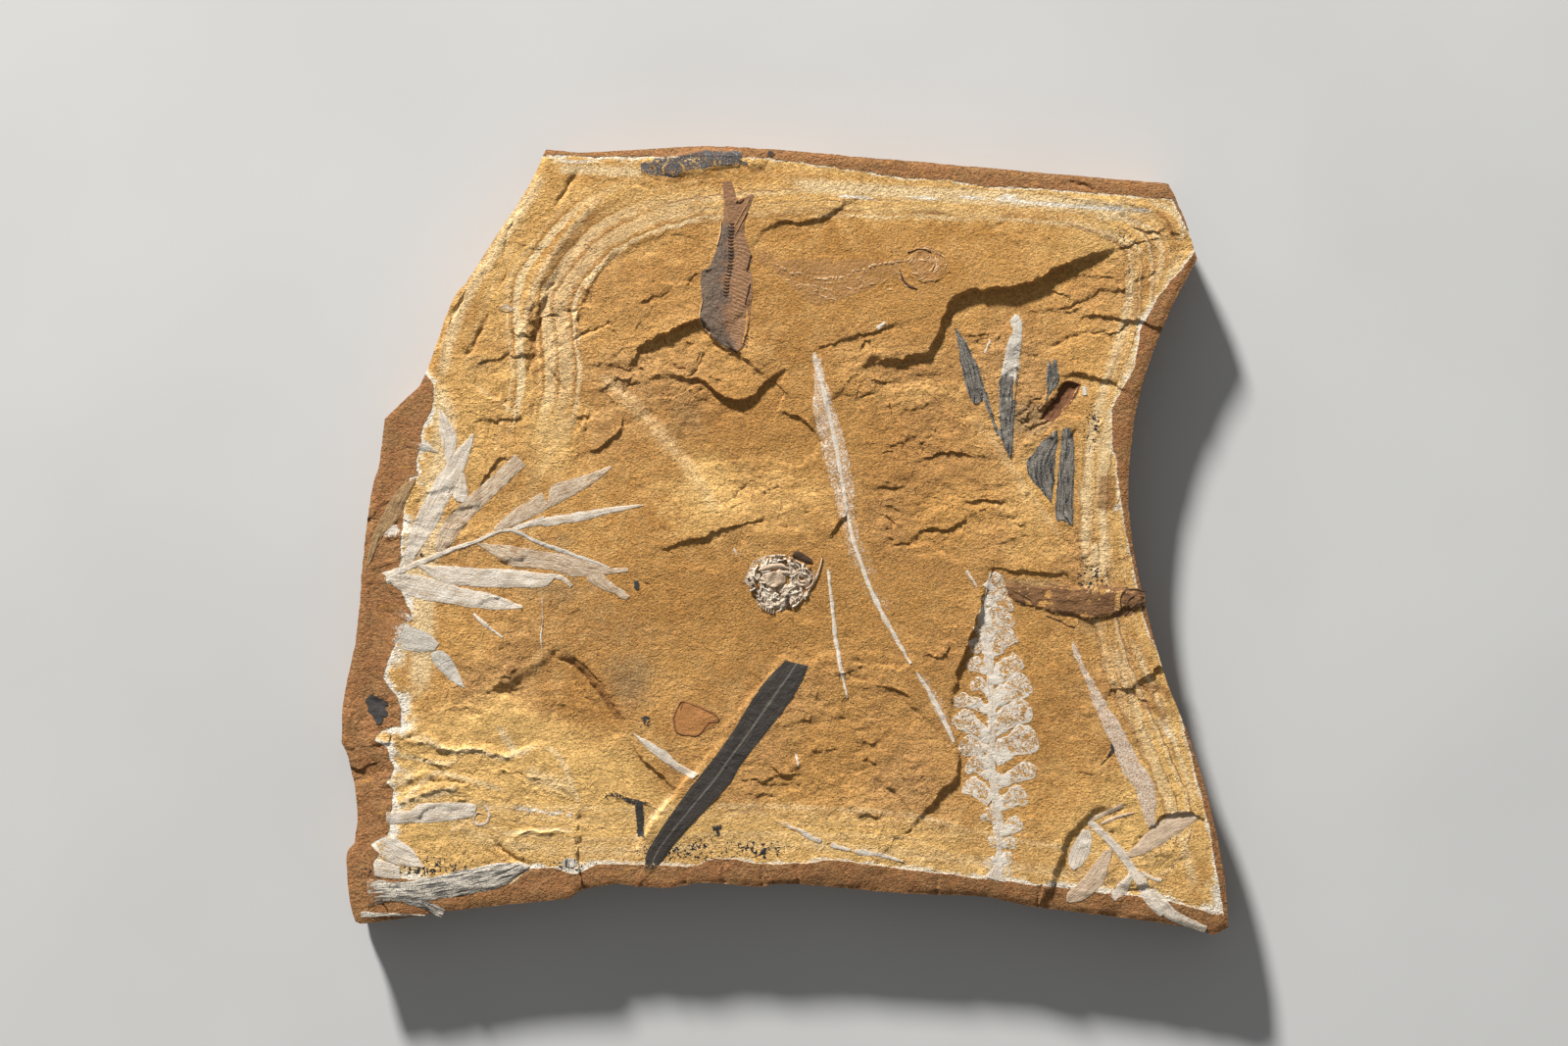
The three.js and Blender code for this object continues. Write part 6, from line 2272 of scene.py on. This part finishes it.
RIND_LEAVES = (
    Film((424, 487, 409, 496, 396, 513, 385, 535, 377, 556, 373, 577), (423, 493, 405, 531, 391, 546, 376,
        577), proud=0.3),
    blade((375, 579, 410, 570), (6, 9, 5), bare=(1, 0.3)),
    blade((368, 590, 394, 590), (10, 12, 12), bare=(1, 0.5)),
)
WEST_LEAVES = (
    Film((382, 624, 432, 643, 448, 656), (384, 648, 402, 660, 424, 664, 443, 664), bare=(1.2, 0.25, 0)),
    blade((391, 616, 404, 622, 419, 633), (9, 12, 6), bare=(0.9, 0.3)),
    Film((440, 665, 450, 664, 461, 672, 474, 700), (440, 672, 447, 682, 455, 690, 464, 697, 474, 702)),
)
FOLDED_LEAVES = (
    Film((394, 828, 419, 826, 431, 819, 477, 819, 487, 822), (394, 840, 436, 839, 478, 834, 484, 831),
        bare=(0.35, 0, 0.1)),
    Film((376, 852, 400, 853, 419, 865, 433, 884), (377, 863, 388, 875, 406, 882, 431, 885), bare=(1.0, 0.1,
        0)),
    Film((381, 880, 392, 878, 408, 884), (382, 893, 396, 896, 408, 896), bare=(0.2, 0.2)),
)
LOG_FILMS = (
    Film((374, 896, 419, 899, 498, 882, 526, 880, 540, 882), (376, 927, 393, 921, 440, 918, 488, 910, 514,
        903, 540, 885), keel=0.5, bare=(0.5, 0, 0, 0.1)),
    blade((414, 919, 436, 924, 452, 932), (5, 9, 8)),
    blade((368, 933, 434, 934), (6, 5, 1), bare=(0, 0.4)),
    round_patch(582, 880, 8, 5),
)
PALE_SHOOT = (
    blade((1111, 838, 1136, 861, 1162, 896, 1172, 914, 1189, 930), (6, 8, 9, 10, 12, 14, 14)),
    blade((1185, 926, 1205, 938, 1231, 948), (10, 11, 7)),
    blade((1175, 908, 1200, 932), (8, 9, 4)),
    Film((1105, 846, 1096, 861, 1091, 874, 1092, 884, 1096, 888), (1113, 846, 1114, 859, 1110, 874, 1103,
        884, 1097, 888)),
    blade((1154, 892, 1146, 905, 1136, 917), (5, 12, 7), bare=(0, 0.4)),
    blade((1164, 890, 1174, 895, 1185, 898), (4, 3, 4), bare=(0.2, 0.4)),
)
PALE_SHOOT_BROWN = (
    Film((1133, 864, 1121, 875, 1102, 900, 1089, 912, 1089, 920), (1135, 871, 1128, 895, 1120, 907, 1104,
        919, 1092, 921)),
    Film((1148, 870, 1156, 865, 1169, 851, 1190, 833, 1207, 827, 1222, 832), (1152, 875, 1166, 872, 1182,
        863, 1223, 835)),
    blade((1111, 837, 1146, 822), (4, 7, 5), bare=(0, 0.1)),
    blade((1124, 840, 1141, 833, 1158, 829), (3, 4, 1)),
)
STRAP = (
    blade((834, 366, 842, 420, 857, 480, 863, 520, 871, 550, 884, 585, 928, 676), (7, 16, 25, 26, 23, 18,
        16, 20, 25, 18, 8), proud=0.12, torn=0.7, bare=(-0.1, 0.12, 0.16, 0.34, 0.45, 0.5)),
    blade((936, 686, 948, 704, 973, 756), (6, 12, 12, 3), proud=0.12, torn=0.6, bare=(0.4, 0.3)),
)
STRAP_RIB = (
    blade((832, 360, 833, 370, 850, 440, 868, 540, 877, 570, 888, 600, 900, 625, 929, 677), (2, 4, 5, 5, 5,
        4.5, 4, 4.5, 5.5, 6, 5, 3), torn=0.2),
    blade((936, 686, 955, 718, 973, 757), (3, 5, 5.5, 5.5, 3), torn=0.25),
    blade((845, 581, 854, 660, 865, 712), (2.5, 4, 4, 3.5, 3, 2)),
)
SPECKLED_LEAF = (
    Film((1093, 655, 1097, 670, 1125, 740, 1147, 790, 1158, 805, 1171, 845), (1096, 655, 1110, 684, 1130,
        720, 1142, 737, 1162, 775, 1173, 791, 1180, 808, 1178, 843), torn=0.5, bare=(0.15, 0.1, 0.14, 0.08,
        -0.05)),
)
SCRAPS = (
    blade((787, 834, 838, 858), (6, 9, 5), bare=(0.6, 0.25), torn=0.6),
    blade((848, 862, 868, 867), (6, 4), bare=(0.3, 0.4), torn=0.5),
    blade((872, 868, 898, 872, 922, 879), (5, 6, 2), bare=(0.4, 0.1, 0.4), torn=0.5),
    blade((494, 822, 499, 829, 497, 838, 489, 841, 484, 836, 487, 829, 493, 831), (2, 2.4, 2, 2.4, 2, 1.6,
        1), torn=0.4),
    blade((553, 610, 554, 630, 552, 650, 554, 670), (1, 1.6, 1.2, 1), bare=(0.5, 0.3, 0.5), torn=0.4),
    Film((646, 748, 671, 761, 683, 769, 693, 779, 713, 789), (648, 751, 673, 774, 706, 795)),
    blade((986, 582, 997, 599), (3, 5, 2)),
    blade((895, 335, 903, 329), (4, 4)),
    blade((1011, 347, 1005, 360), (2, 4, 2)),
    blade((812, 769, 815, 782), (2, 4, 2)),
    blade((1106, 394, 1107, 403), (5, 5)),
    round_patch(517, 314, 9, 4, bare=(0.6, 0.6)),
    round_patch(832, 368, 3, 4),
    blade((749, 559, 752, 566), (2, 2)),
)
RIBBON = (
    Film((801, 674, 776, 701, 741, 756, 693, 819, 662, 866, 658, 882), (825, 679, 817, 698, 799, 725, 759,
        776, 743, 801, 700, 847, 683, 867, 673, 882), proud=0.2, keel=0.03, torn=0.1, flat=0.9),
)
RIBBON_TAIL = (blade((666, 880, 648, 904), (12, 9, 6), bare=(0.2, 0.5, 1.1)),)
GREY_LEAVES = (
    Film((974, 335, 984, 390, 993, 412), (976, 335, 990, 356, 1004, 394, 1003, 406, 1000, 411), torn=0.4),
    blade((1004, 400, 1018, 444), (6, 5, 2)),
    Film((1021, 382, 1019, 400, 1020, 434, 1018, 442, 1031, 468), (1039, 380, 1032, 468), torn=0.4),
    Film((1070, 366, 1068, 385, 1069, 398, 1067, 408), (1074, 374, 1077, 388, 1074, 398, 1068, 408),
        torn=0.3),
    Film((1075, 366, 1070, 396), (1078, 367, 1081, 390, 1074, 399), torn=0.3),
    Film((1077, 439, 1060, 455, 1047, 479, 1073, 513), (1079, 439, 1074, 514), torn=0.5),
    Film((1084, 437, 1077, 523, 1084, 531, 1093, 536), (1092, 436, 1096, 455, 1095, 536)),
)
GREY_TIPS = (
    Film((1036, 320, 1031, 328, 1034, 338, 1028, 350, 1021, 384), (1041, 322, 1043, 336, 1039, 384)),
    blade((1037, 372, 1035, 408), (5, 5, 2), proud=0.36, bare=(0, 1)),
)
HOLLOW_LEAF = (
    Film((1090, 388, 1080, 396, 1062, 427), (1103, 392, 1096, 407, 1074, 430), proud=0.2),
)
WOOD_BAR = (
    Film((1022, 598, 1050, 595, 1100, 600, 1140, 598, 1169, 606), (1024, 604, 1050, 620, 1125, 632, 1168,
        620), proud=0.05, keel=0, torn=1.0, crumple=0.15, bare=(0.2, -0.1, -0.1, -0.15)),
)
WOOD_KNOT = (
    blade((1145, 626, 1143, 612, 1148, 603, 1158, 601, 1170, 604), (1, 2.4, 1.6, 2, 1), torn=0.4),
    blade((1152, 624, 1151, 614, 1157, 608, 1168, 609), (1, 2.2, 1.4, 1), torn=0.4),
    blade((1148, 628, 1158, 618, 1170, 614), (0.8, 2.4, 1), torn=0.4),
    blade((1030, 601, 1052, 612), (1, 3, 1), torn=0.6, bare=(0.2, 0.2)),
    blade((1068, 628, 1096, 640), (1, 5, 2), torn=0.9, bare=(0.2, 0.3)),
)
CRUMPLED = (
    Film((790, 566, 775, 569, 765, 577, 762, 594, 770, 604, 773, 614, 777, 621, 786, 626), (804, 567, 824,
        578, 830, 587, 829, 598, 822, 609, 804, 620, 790, 626), proud=0.15, keel=0.2, torn=0.9,
        spacing=0.42, crumple=0.75),
)
CRUMPLED_SMOOTH = (
    round_patch(790, 591, 12, 8, proud=0.8, keel=0.4, crumple=0.4),
    Film((774, 581, 784, 575, 795, 574, 805, 579), (774, 583, 795, 580, 805, 581), proud=0.7, keel=0.3),
    blade((839, 569, 836, 581, 828, 598, 816, 614), (1.4, 1.8, 2, 1), proud=0.7, torn=0.1),
    blade((836, 584, 830, 596, 822, 606), (1.2, 1.6, 1.2), proud=0.6, torn=0.1),
    *(blade(((776 + 2.7 * i, 614 + 1.6 * i), (777 + 2.5 * i, 620 + 1.1 * i)), (1.6, 1.8),
            proud=0.8, torn=0.1) for i in range(6)),
    *(blade(tuple((819 + r * math.cos(a), 589 + r * math.sin(a)) for a in np.linspace(s, e, 7)),
            (1, 2, 1), proud=0.9, torn=0.2)
      for r, s, e in ((9, -2.6, -0.2), (8, 0.2, 2.8), (4.5, 1, 4.6), (12, -0.6, 1.3))),
)


@dataclass(frozen=True)
class Shards:
    """Thin marks that curl round a middle: broken edges, and in the dark finish painted shadow between them;
    sizes are steps of the plan grid.

    core is the share of the ground in the middle that stays free, bend how far they turn from
    running round it (in radians), reach and width the least and the most of their half lengths
    and of their widths, and tip how wide they end.
    """

    east: float
    south: float
    wide: float
    deep: float
    core: float
    bend: float
    reach: tuple[float, float]
    width: tuple[float, float]
    tip: float
    torn: float

    def films(self, draw: np.random.Generator, count: int, proud: float) -> tuple[Film, ...]:
        """Scatters them.

        Args:
            draw: the random numbers for their places.
            count: how many.
            proud: how far they stand above the stone in mm.

        Returns:
            The films.
        """
        films = []
        for _ in range(count):
            turn, away = draw.uniform(0, 2 * math.pi), math.sqrt(draw.uniform(self.core, 1))
            x = self.east + self.wide * away * math.cos(turn)
            y = self.south + self.deep * away * math.sin(turn)
            heading, reach = turn + math.pi / 2 + draw.normal(0, self.bend), draw.uniform(*self.reach)
            run = reach * np.array([math.cos(heading), math.sin(heading)])
            line = (x - run[0], y - run[1], x + draw.normal(), y + draw.normal(), x + run[0], y + run[1])
            films.append(blade(line, (0.6, draw.uniform(*self.width), self.tip), proud=proud,
                               torn=self.torn))
        return tuple(films)


CRUMPLED_SHARDS = Shards(796, 595, 31, 27, 0.1, 0.9, (1.5, 6), (1.1, 2.4), 0.6, 0.3)
SKULL_SHARDS = Shards(944, 270, 23, 18, 0.05, 0.5, (2, 5.5), (1.2, 2.6), 0.8, 0.5)
# painted shadow: a dark patch among the folds of the crumpled fossil
CRUMPLED_DARK = (
    Film((808, 566, 813, 562, 824, 567, 829, 571), (809, 568, 822, 574, 828, 575), proud=0.5),
)
CRUST_FILMS = (
    Film((654, 164, 668, 159, 712, 152, 758, 152), (654, 176, 686, 187, 702, 177, 754, 170), torn=0.8),
    round_patch(688, 173, 14, 7, proud=0.4, torn=0.9), blade((744, 158, 764, 168), (10, 8, 3), torn=1),
)
DARK_MARKS = (
    blade((618, 810, 652, 818, 672, 826), (6, 7, 5, 3), torn=0.9, bare=(0.3, 0.05, 0.1, 0.5)),
    blade((652, 818, 654, 853), (9, 9, 8), torn=0.2),
    blade((727, 845, 736, 843), (5, 4), torn=0.5), blade((732, 845, 733, 852), (5, 3)),
    round_patch(650, 597, 4.5, 5, torn=0.9), round_patch(660, 735, 5, 5, torn=0.9, bare=(0.2, 0.2)),
    round_patch(786, 157, 4, 3, torn=0.6),
    blade((376, 711, 383, 719, 386, 728, 386, 739), (10, 21, 18, 6), torn=1.1, bare=(-0.2, -0.3, -0.3)),
    round_patch(387, 727, 9, 6, torn=1, bare=(-0.3, -0.3)),
    blade((1134, 757, 1135, 766, 1123, 780), (1.5, 5, 4, 1.5), torn=0.5, bare=(0.1, 0.1)),
    blade((373, 715, 386, 721, 395, 717), (5, 6, 3), torn=1, bare=(-0.2,) * 2),
    blade((1116, 420, 1114, 430, 1119, 440), (5, 5, 4), torn=0.6, bare=(0.3, 0.3)),
    blade((1125, 428, 1116, 450), (3, 4, 3), torn=0.6, bare=(0.4, 0.4)),
    blade((526, 424, 524, 438, 526, 452), (2, 3, 2), torn=0.6, bare=(0.5, 0.5)),
    round_patch(430, 566, 2.5, 2, torn=0.6, bare=(0.2, 0.2)),
)


def fern_films() -> tuple[Film, ...]:
    """Lays the fern's pinnae, each from the midrib to its tip, with its width.

    Returns:
        Their films.
    """
    right = ((1007, 600, 1021, 586, 15), (1006, 616, 1026, 598, 17), (1004, 634, 1031, 612, 19),
             (1004, 652, 1033, 628, 19), (1006, 670, 1035, 645, 20), (1011, 694, 1042, 672, 20),
             (1012, 716, 1050, 694, 25), (1012, 744, 1051, 720, 26), (1013, 772, 1057, 748, 28),
             (1014, 800, 1058, 784, 19), (1016, 824, 1047, 809, 21), (1020, 850, 1043, 838, 14),
             (1022, 862, 1036, 857, 12), (1022, 876, 1033, 874, 13), (1020, 888, 1031, 887, 12))
    left = ((1004, 640, 996, 646, 12), (1004, 656, 990, 662, 15), (1008, 684, 987, 675, 14),
            (1010, 708, 994, 693, 15), (1010, 724, 973, 713, 15), (1011, 754, 974, 730, 22),
            (1011, 772, 980, 757, 19), (1011, 790, 987, 778, 18), (1012, 816, 985, 798, 20),
            (1017, 838, 1002, 830, 13), (1018, 856, 1009, 860, 10), (1016, 876, 1007, 886, 11))
    films = []
    for x0, y0, x1, y1, width in (*right, *left):
        middle = (0.5 * (x0 + x1), 0.5 * (y0 + y1) - 1.0)
        near_tip = (0.15 * x0 + 0.85 * x1, 0.15 * y0 + 0.85 * y1)
        films.append(blade((x0, y0, *middle, *near_tip, x1, y1),
                           (0.7 * width, 0.8 * width, 0.95 * width, 1.05 * width, 0.9 * width, 5),
                           bare=(-0.1, 0.12, 0.24, 0.16), torn=0.9))
    return tuple(films)


FERN_RIB = (
    blade((1011, 584, 1006, 610, 1003, 636, 1011, 690, 1013, 787, 1020, 848, 1020, 872, 1014, 897), (2, 3,
        4, 7, 10, 9, 8, 9, 10, 8, 9, 22), torn=0.8),
)


def fish_bones() -> tuple[Film, ...]:
    """Lays the ribs of the fish, which curve away from its backbone, and the rays of its tail.

    Returns:
        Their films.
    """
    films = []
    for i in range(15):
        y = 286 + 4.2 * i
        films.append(blade((742 - 0.1 * i, y, 751, y + 1.5, 759, y + 5, 765 - 0.2 * i, y + 9),
                           (0.5, 1.0, 0.9, 0.4), proud=0.36, torn=0.3))
    films.append(blade((738, 198, 745, 232), (2.5, 3, 2), proud=0.5))
    films.append(blade((765, 203, 749, 232), (3, 2.5, 2), proud=0.5))
    films.append(blade((762, 216, 750, 240), (2, 2, 1), proud=0.5))
    return tuple(films)


def fish_backbone() -> tuple[Film, ...]:
    """Lays the dark gaps between the fish's vertebrae, and its dark jaw and fin.

    Returns:
        Their films.
    """
    column = rounded_line(np.array([(746.5, 228), (745.6, 247), (745.6, 266), (742, 287),
                                    (740.5, 301)]), 8)
    films = [blade(((x - 2.8, y - 0.4), (x, y + 0.5), (x + 2.8, y - 0.3)), (0.8, 1.6, 0.8),
                   proud=0.6, torn=0.1) for x, y in resampled(column, 21)]
    films.append(blade((741, 348, 752, 360), (3, 5, 3), proud=0.5))
    films.append(blade((765, 290, 760, 310), (2, 3, 1), proud=0.5))
    films.append(blade((766, 260, 762, 276), (2, 3, 1), proud=0.5))
    return tuple(films)


FISH_BODY = (
    Film((747, 185, 754, 205, 760, 201, 769, 199, 761, 222, 760, 239, 767, 262, 765, 273, 768, 284, 766,
        318, 763, 338, 759, 352, 752, 360), (737, 185, 739, 211, 735, 241, 724, 272, 716, 278, 716, 308,
        714, 323, 717, 334, 729, 346, 748, 359), proud=0.3, torn=0.25),
)
FISH_FRINGE = (
    blade((736, 226, 735, 238, 732, 250), (1.5, 2, 1), proud=0.5),
    blade((717, 306, 714, 322, 716, 332, 724, 341), (1, 2, 2, 1), proud=0.5),
    blade((763, 316, 762, 334, 758, 350), (2, 4, 2), proud=0.5, bare=(0.5, 0.5)),
)
FAINT_FISH = (
    Film((774, 252, 796, 262, 834, 256, 920, 262), (772, 268, 796, 282, 814, 306, 832, 318, 870, 306, 918,
        284), proud=0.06, torn=0.8),
    round_patch(946, 270, 24, 19, proud=0.12, torn=0.8, crumple=0.3),
)


def faint_fish_bones() -> tuple[Film, ...]:
    """Lays the faint fish's crumbled vertebrae and ribs, and the jumble of bones in its skull.

    Returns:
        Their films.
    """
    column = rounded_line(np.array([(793, 271), (810, 278), (836, 283), (855, 283), (872, 277),
                                    (894, 270), (915, 268)]), 8)
    draw = np.random.default_rng(77)
    films = []
    for x, y in resampled(column, 22):
        films.append(round_patch(x + draw.normal(0, 1.2), y + draw.normal(0, 1.1), draw.uniform(0.9, 3),
                                 draw.uniform(0.7, 1.6), proud=0.3, torn=0.5))
    films.extend(SKULL_SHARDS.films(draw, 30, 0.35))
    for _ in range(26):
        x = draw.uniform(800, 925)
        y = np.interp(x, (800, 836, 925), (284, 298, 280)) + draw.normal(0, 7)
        films.append(blade((x, y, x + draw.uniform(3, 7), y + draw.normal(0, 2)), (1, 1.4), proud=0.2,
                           torn=0.5))
    return tuple(films)


FAINT_FISH_DARK = (
    blade((918, 276, 922, 286, 928, 292, 936, 295), (1, 2, 2, 0.8), proud=0.3, torn=0.6, bare=(0.3, 0.3)),
    blade((926, 258, 938, 254, 950, 257), (0.8, 1.2, 0.8), proud=0.5, torn=0.4),
)
SCALE_FACE = (
    Film((698, 717, 690, 726, 688, 736, 692, 746, 704, 751), (700, 716, 716, 721, 733, 735, 724, 743, 711,
        751), proud=0.1, torn=0.3),
)
SCALE = (
    blade((697, 717, 694, 724), (2, 2)), blade((722, 737, 731, 735), (3, 2)),
    blade((687, 732, 692, 721, 698, 716, 726, 727, 733, 735, 723, 738, 713, 749, 701, 750, 690, 746, 687,
        732), (2, 1.6, 2.2, 1.4, 2, 1.6, 2.2), proud=0.25, torn=0.3),
)


def fossil_pieces() -> tuple[FossilPiece, ...]:
    """Lists every fossil of the slab.

    Returns:
        The fossils in the order in which they're made.
    """
    # the second set of shards, in the dark finish, is painted shadow between the crumpled folds
    pale, dark = (CRUMPLED_SHARDS.films(np.random.default_rng(seed), count, proud)
                  for seed, count, proud in ((81, 50, 0.9), (82, 34, 0.75)))
    return (
        FossilPiece("shoot_leaves", SHOOT_WHITE, WHITE_LEAF),
        FossilPiece("shoot_tan_leaves", SHOOT_TAN, TAN_LEAF),
        FossilPiece("shoot_grey_scraps", SHOOT_GREY, GREY_WHITE),
        FossilPiece("rind_leaves", RIND_LEAVES, KHAKI_LEAF),
        FossilPiece("west_leaves", WEST_LEAVES, GREY_WHITE),
        FossilPiece("folded_leaves", FOLDED_LEAVES, WHITE_LEAF),
        FossilPiece("log_fragment", LOG_FILMS, LOG_SKIN),
        FossilPiece("pale_shoot", PALE_SHOOT, WHITE_LEAF),
        FossilPiece("pale_shoot_leaves", PALE_SHOOT_BROWN, PALE_BROWN),
        FossilPiece("strap_blade", STRAP, SPECKLED),
        FossilPiece("strap_midrib", STRAP_RIB, SOLID_WHITE),
        FossilPiece("fern_pinnae", fern_films(), LACE),
        FossilPiece("fern_midrib", FERN_RIB, WHITE_LEAF),
        FossilPiece("speckled_leaf", SPECKLED_LEAF, SPOTTED),
        FossilPiece("leaf_scraps", SCRAPS, WHITE_LEAF),
        FossilPiece("ribbon_leaf", RIBBON, DARK_RIBBON, 0.6),
        FossilPiece("ribbon_tail", RIBBON_TAIL, DARK_MARK),
        FossilPiece("grey_leaves", GREY_LEAVES, GREY_LEAF),
        FossilPiece("grey_leaf_tips", GREY_TIPS, GREY_WHITE),
        FossilPiece("hollow_leaf", HOLLOW_LEAF, HOLLOW),
        FossilPiece("wood_bar", WOOD_BAR, WOOD, 0.7),
        FossilPiece("wood_knot", WOOD_KNOT, DARK_BONE_AND_SHADOW, 0.6),
        FossilPiece("fish_body", FISH_BODY, FISH_SKIN, 0.6),
        FossilPiece("fish_ribs", fish_bones(), FISH_BONE, 0.6),
        FossilPiece("fish_backbone", fish_backbone(), DARK_BONE_AND_SHADOW, 0.6),
        FossilPiece("fish_fringe", FISH_FRINGE, PALE_BONE, 0.6),
        FossilPiece("faint_fish", FAINT_FISH, FAINT_SKIN),
        FossilPiece("faint_fish_bones", faint_fish_bones(), PALE_BONE, 0.6),
        FossilPiece("faint_fish_jaw", FAINT_FISH_DARK, DARK_BONE_AND_SHADOW, 0.6),
        FossilPiece("crumpled_fossil", CRUMPLED, SHELL, 0.8),
        FossilPiece("crumpled_folds", CRUMPLED_SMOOTH, PALE_BROWN, 0.8),
        FossilPiece("crumpled_edges", pale, CHALK, 0.8),
        FossilPiece("crumpled_shadow", (*CRUMPLED_DARK, *dark), DARK_BONE_AND_SHADOW),
        FossilPiece("mineral_crust", CRUST_FILMS, CRUST),
        FossilPiece("dark_marks", DARK_MARKS, DARK_MARK),
        FossilPiece("scale_face", SCALE_FACE, SCALE_SKIN),
        FossilPiece("fish_scale", SCALE, SCALE_RIM),
    )


@dataclass(frozen=True)
class FloorFinish:
    """A plain pale matt floor, faintly cloudy."""

    dark: Colour = (203, 202, 199)
    light: Colour = (209, 208, 205)
    cloud_length: float = 180.0  # mm

    def material(self) -> bpy.types.Material:
        """Makes the floor's material.

        Returns:
            The material.
        """
        material = bpy.data.materials.new("pale_floor")
        g = Graph(material)
        cloud = g.noise(g.place(), self.cloud_length, 3)
        colour = g.mix(g.step(cloud, 0.3, 0.7), self.dark, self.light)
        g.finish(colour, g.step(cloud, 0.2, 0.8, 0.8, 0.9), g.math("MULTIPLY", cloud, 0.2))
        return material


@dataclass
class Studio:
    """The floor, the lights and the camera, in metres, degrees and watts."""

    floor_radius: float = 6.0
    floor_gap: float = 0.0004  # how far the floor lies under the slab
    key_turn: float = 22.0  # west of north
    key_height: float = 23.0
    key_away: float = 5.0
    key_size: float = 0.55
    key_power: float = 510.0
    fill_colour: tuple[float, ...] = (0.96, 0.98, 1.0, 1.0)
    fill_strength: float = 0.2
    camera_place: tuple[float, float, float] = (-0.00042, 0.00756, 1.8917)
    lens: float = 100.0  # mm, as is the sensor
    sensor: float = 36.0
    clip: tuple[float, float] = (0.05, 50.0)

    def build(self) -> None:
        """Sets up the studio."""
        self._floor()
        self._lights()
        self._camera()

    def _floor(self) -> None:
        """Lays a plain pale floor under the slab."""
        deselect_all()
        bpy.ops.mesh.primitive_circle_add(vertices=96, radius=self.floor_radius, fill_type="NGON",
                                          location=(0, 0, -self.floor_gap))
        floor = bpy.context.object
        floor.name = "floor"
        bpy.ops.object.transform_apply(location=True)
        floor.data.materials.append(FloorFinish().material())

    def _lights(self) -> None:
        """Puts up one soft key light, low in the north-north-west, and a weak fill all round."""
        turn, height = math.radians(self.key_turn), math.radians(self.key_height)
        toward = Vector((-math.sin(turn) * math.cos(height), math.cos(turn) * math.cos(height),
                         math.sin(height)))
        bpy.ops.object.light_add(type="AREA", location=toward * self.key_away)
        key = bpy.context.object
        key.name = "key"
        key.data.shape = "DISK"
        key.data.size = self.key_size
        key.data.energy = self.key_power
        key.rotation_euler = toward.to_track_quat("Z", "Y").to_euler()
        world = bpy.data.worlds.new("studio")
        bpy.context.scene.world = world
        world.use_nodes = True
        background = world.node_tree.nodes["Background"]
        background.inputs["Color"].default_value = self.fill_colour
        background.inputs["Strength"].default_value = self.fill_strength

    def _camera(self) -> None:
        """Puts a camera straight above."""
        bpy.ops.object.camera_add(location=self.camera_place, rotation=(0, 0, 0))
        camera = bpy.context.object
        camera.data.lens = self.lens
        camera.data.sensor_width = self.sensor
        camera.data.clip_start, camera.data.clip_end = self.clip
        bpy.context.scene.camera = camera
        bpy.context.scene.view_settings.view_transform = "Standard"


def main() -> None:
    """Builds the slab, its fossils and the studio."""
    logging.basicConfig(level=logging.INFO, format="%(name)s: %(message)s")
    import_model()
    relief = Relief()
    paint = StonePaint(relief)
    piece = Slab(relief, paint).build()
    LOG.info("slab: %d triangles", triangle_count(piece.data))
    ground = Ground(piece, relief)
    for fossil in fossil_pieces():
        made = fossil.build(ground, paint)
        LOG.info("%s: %d triangles", made.name, triangle_count(made.data))
    Studio().build()


if __name__ == "__main__":
    main()
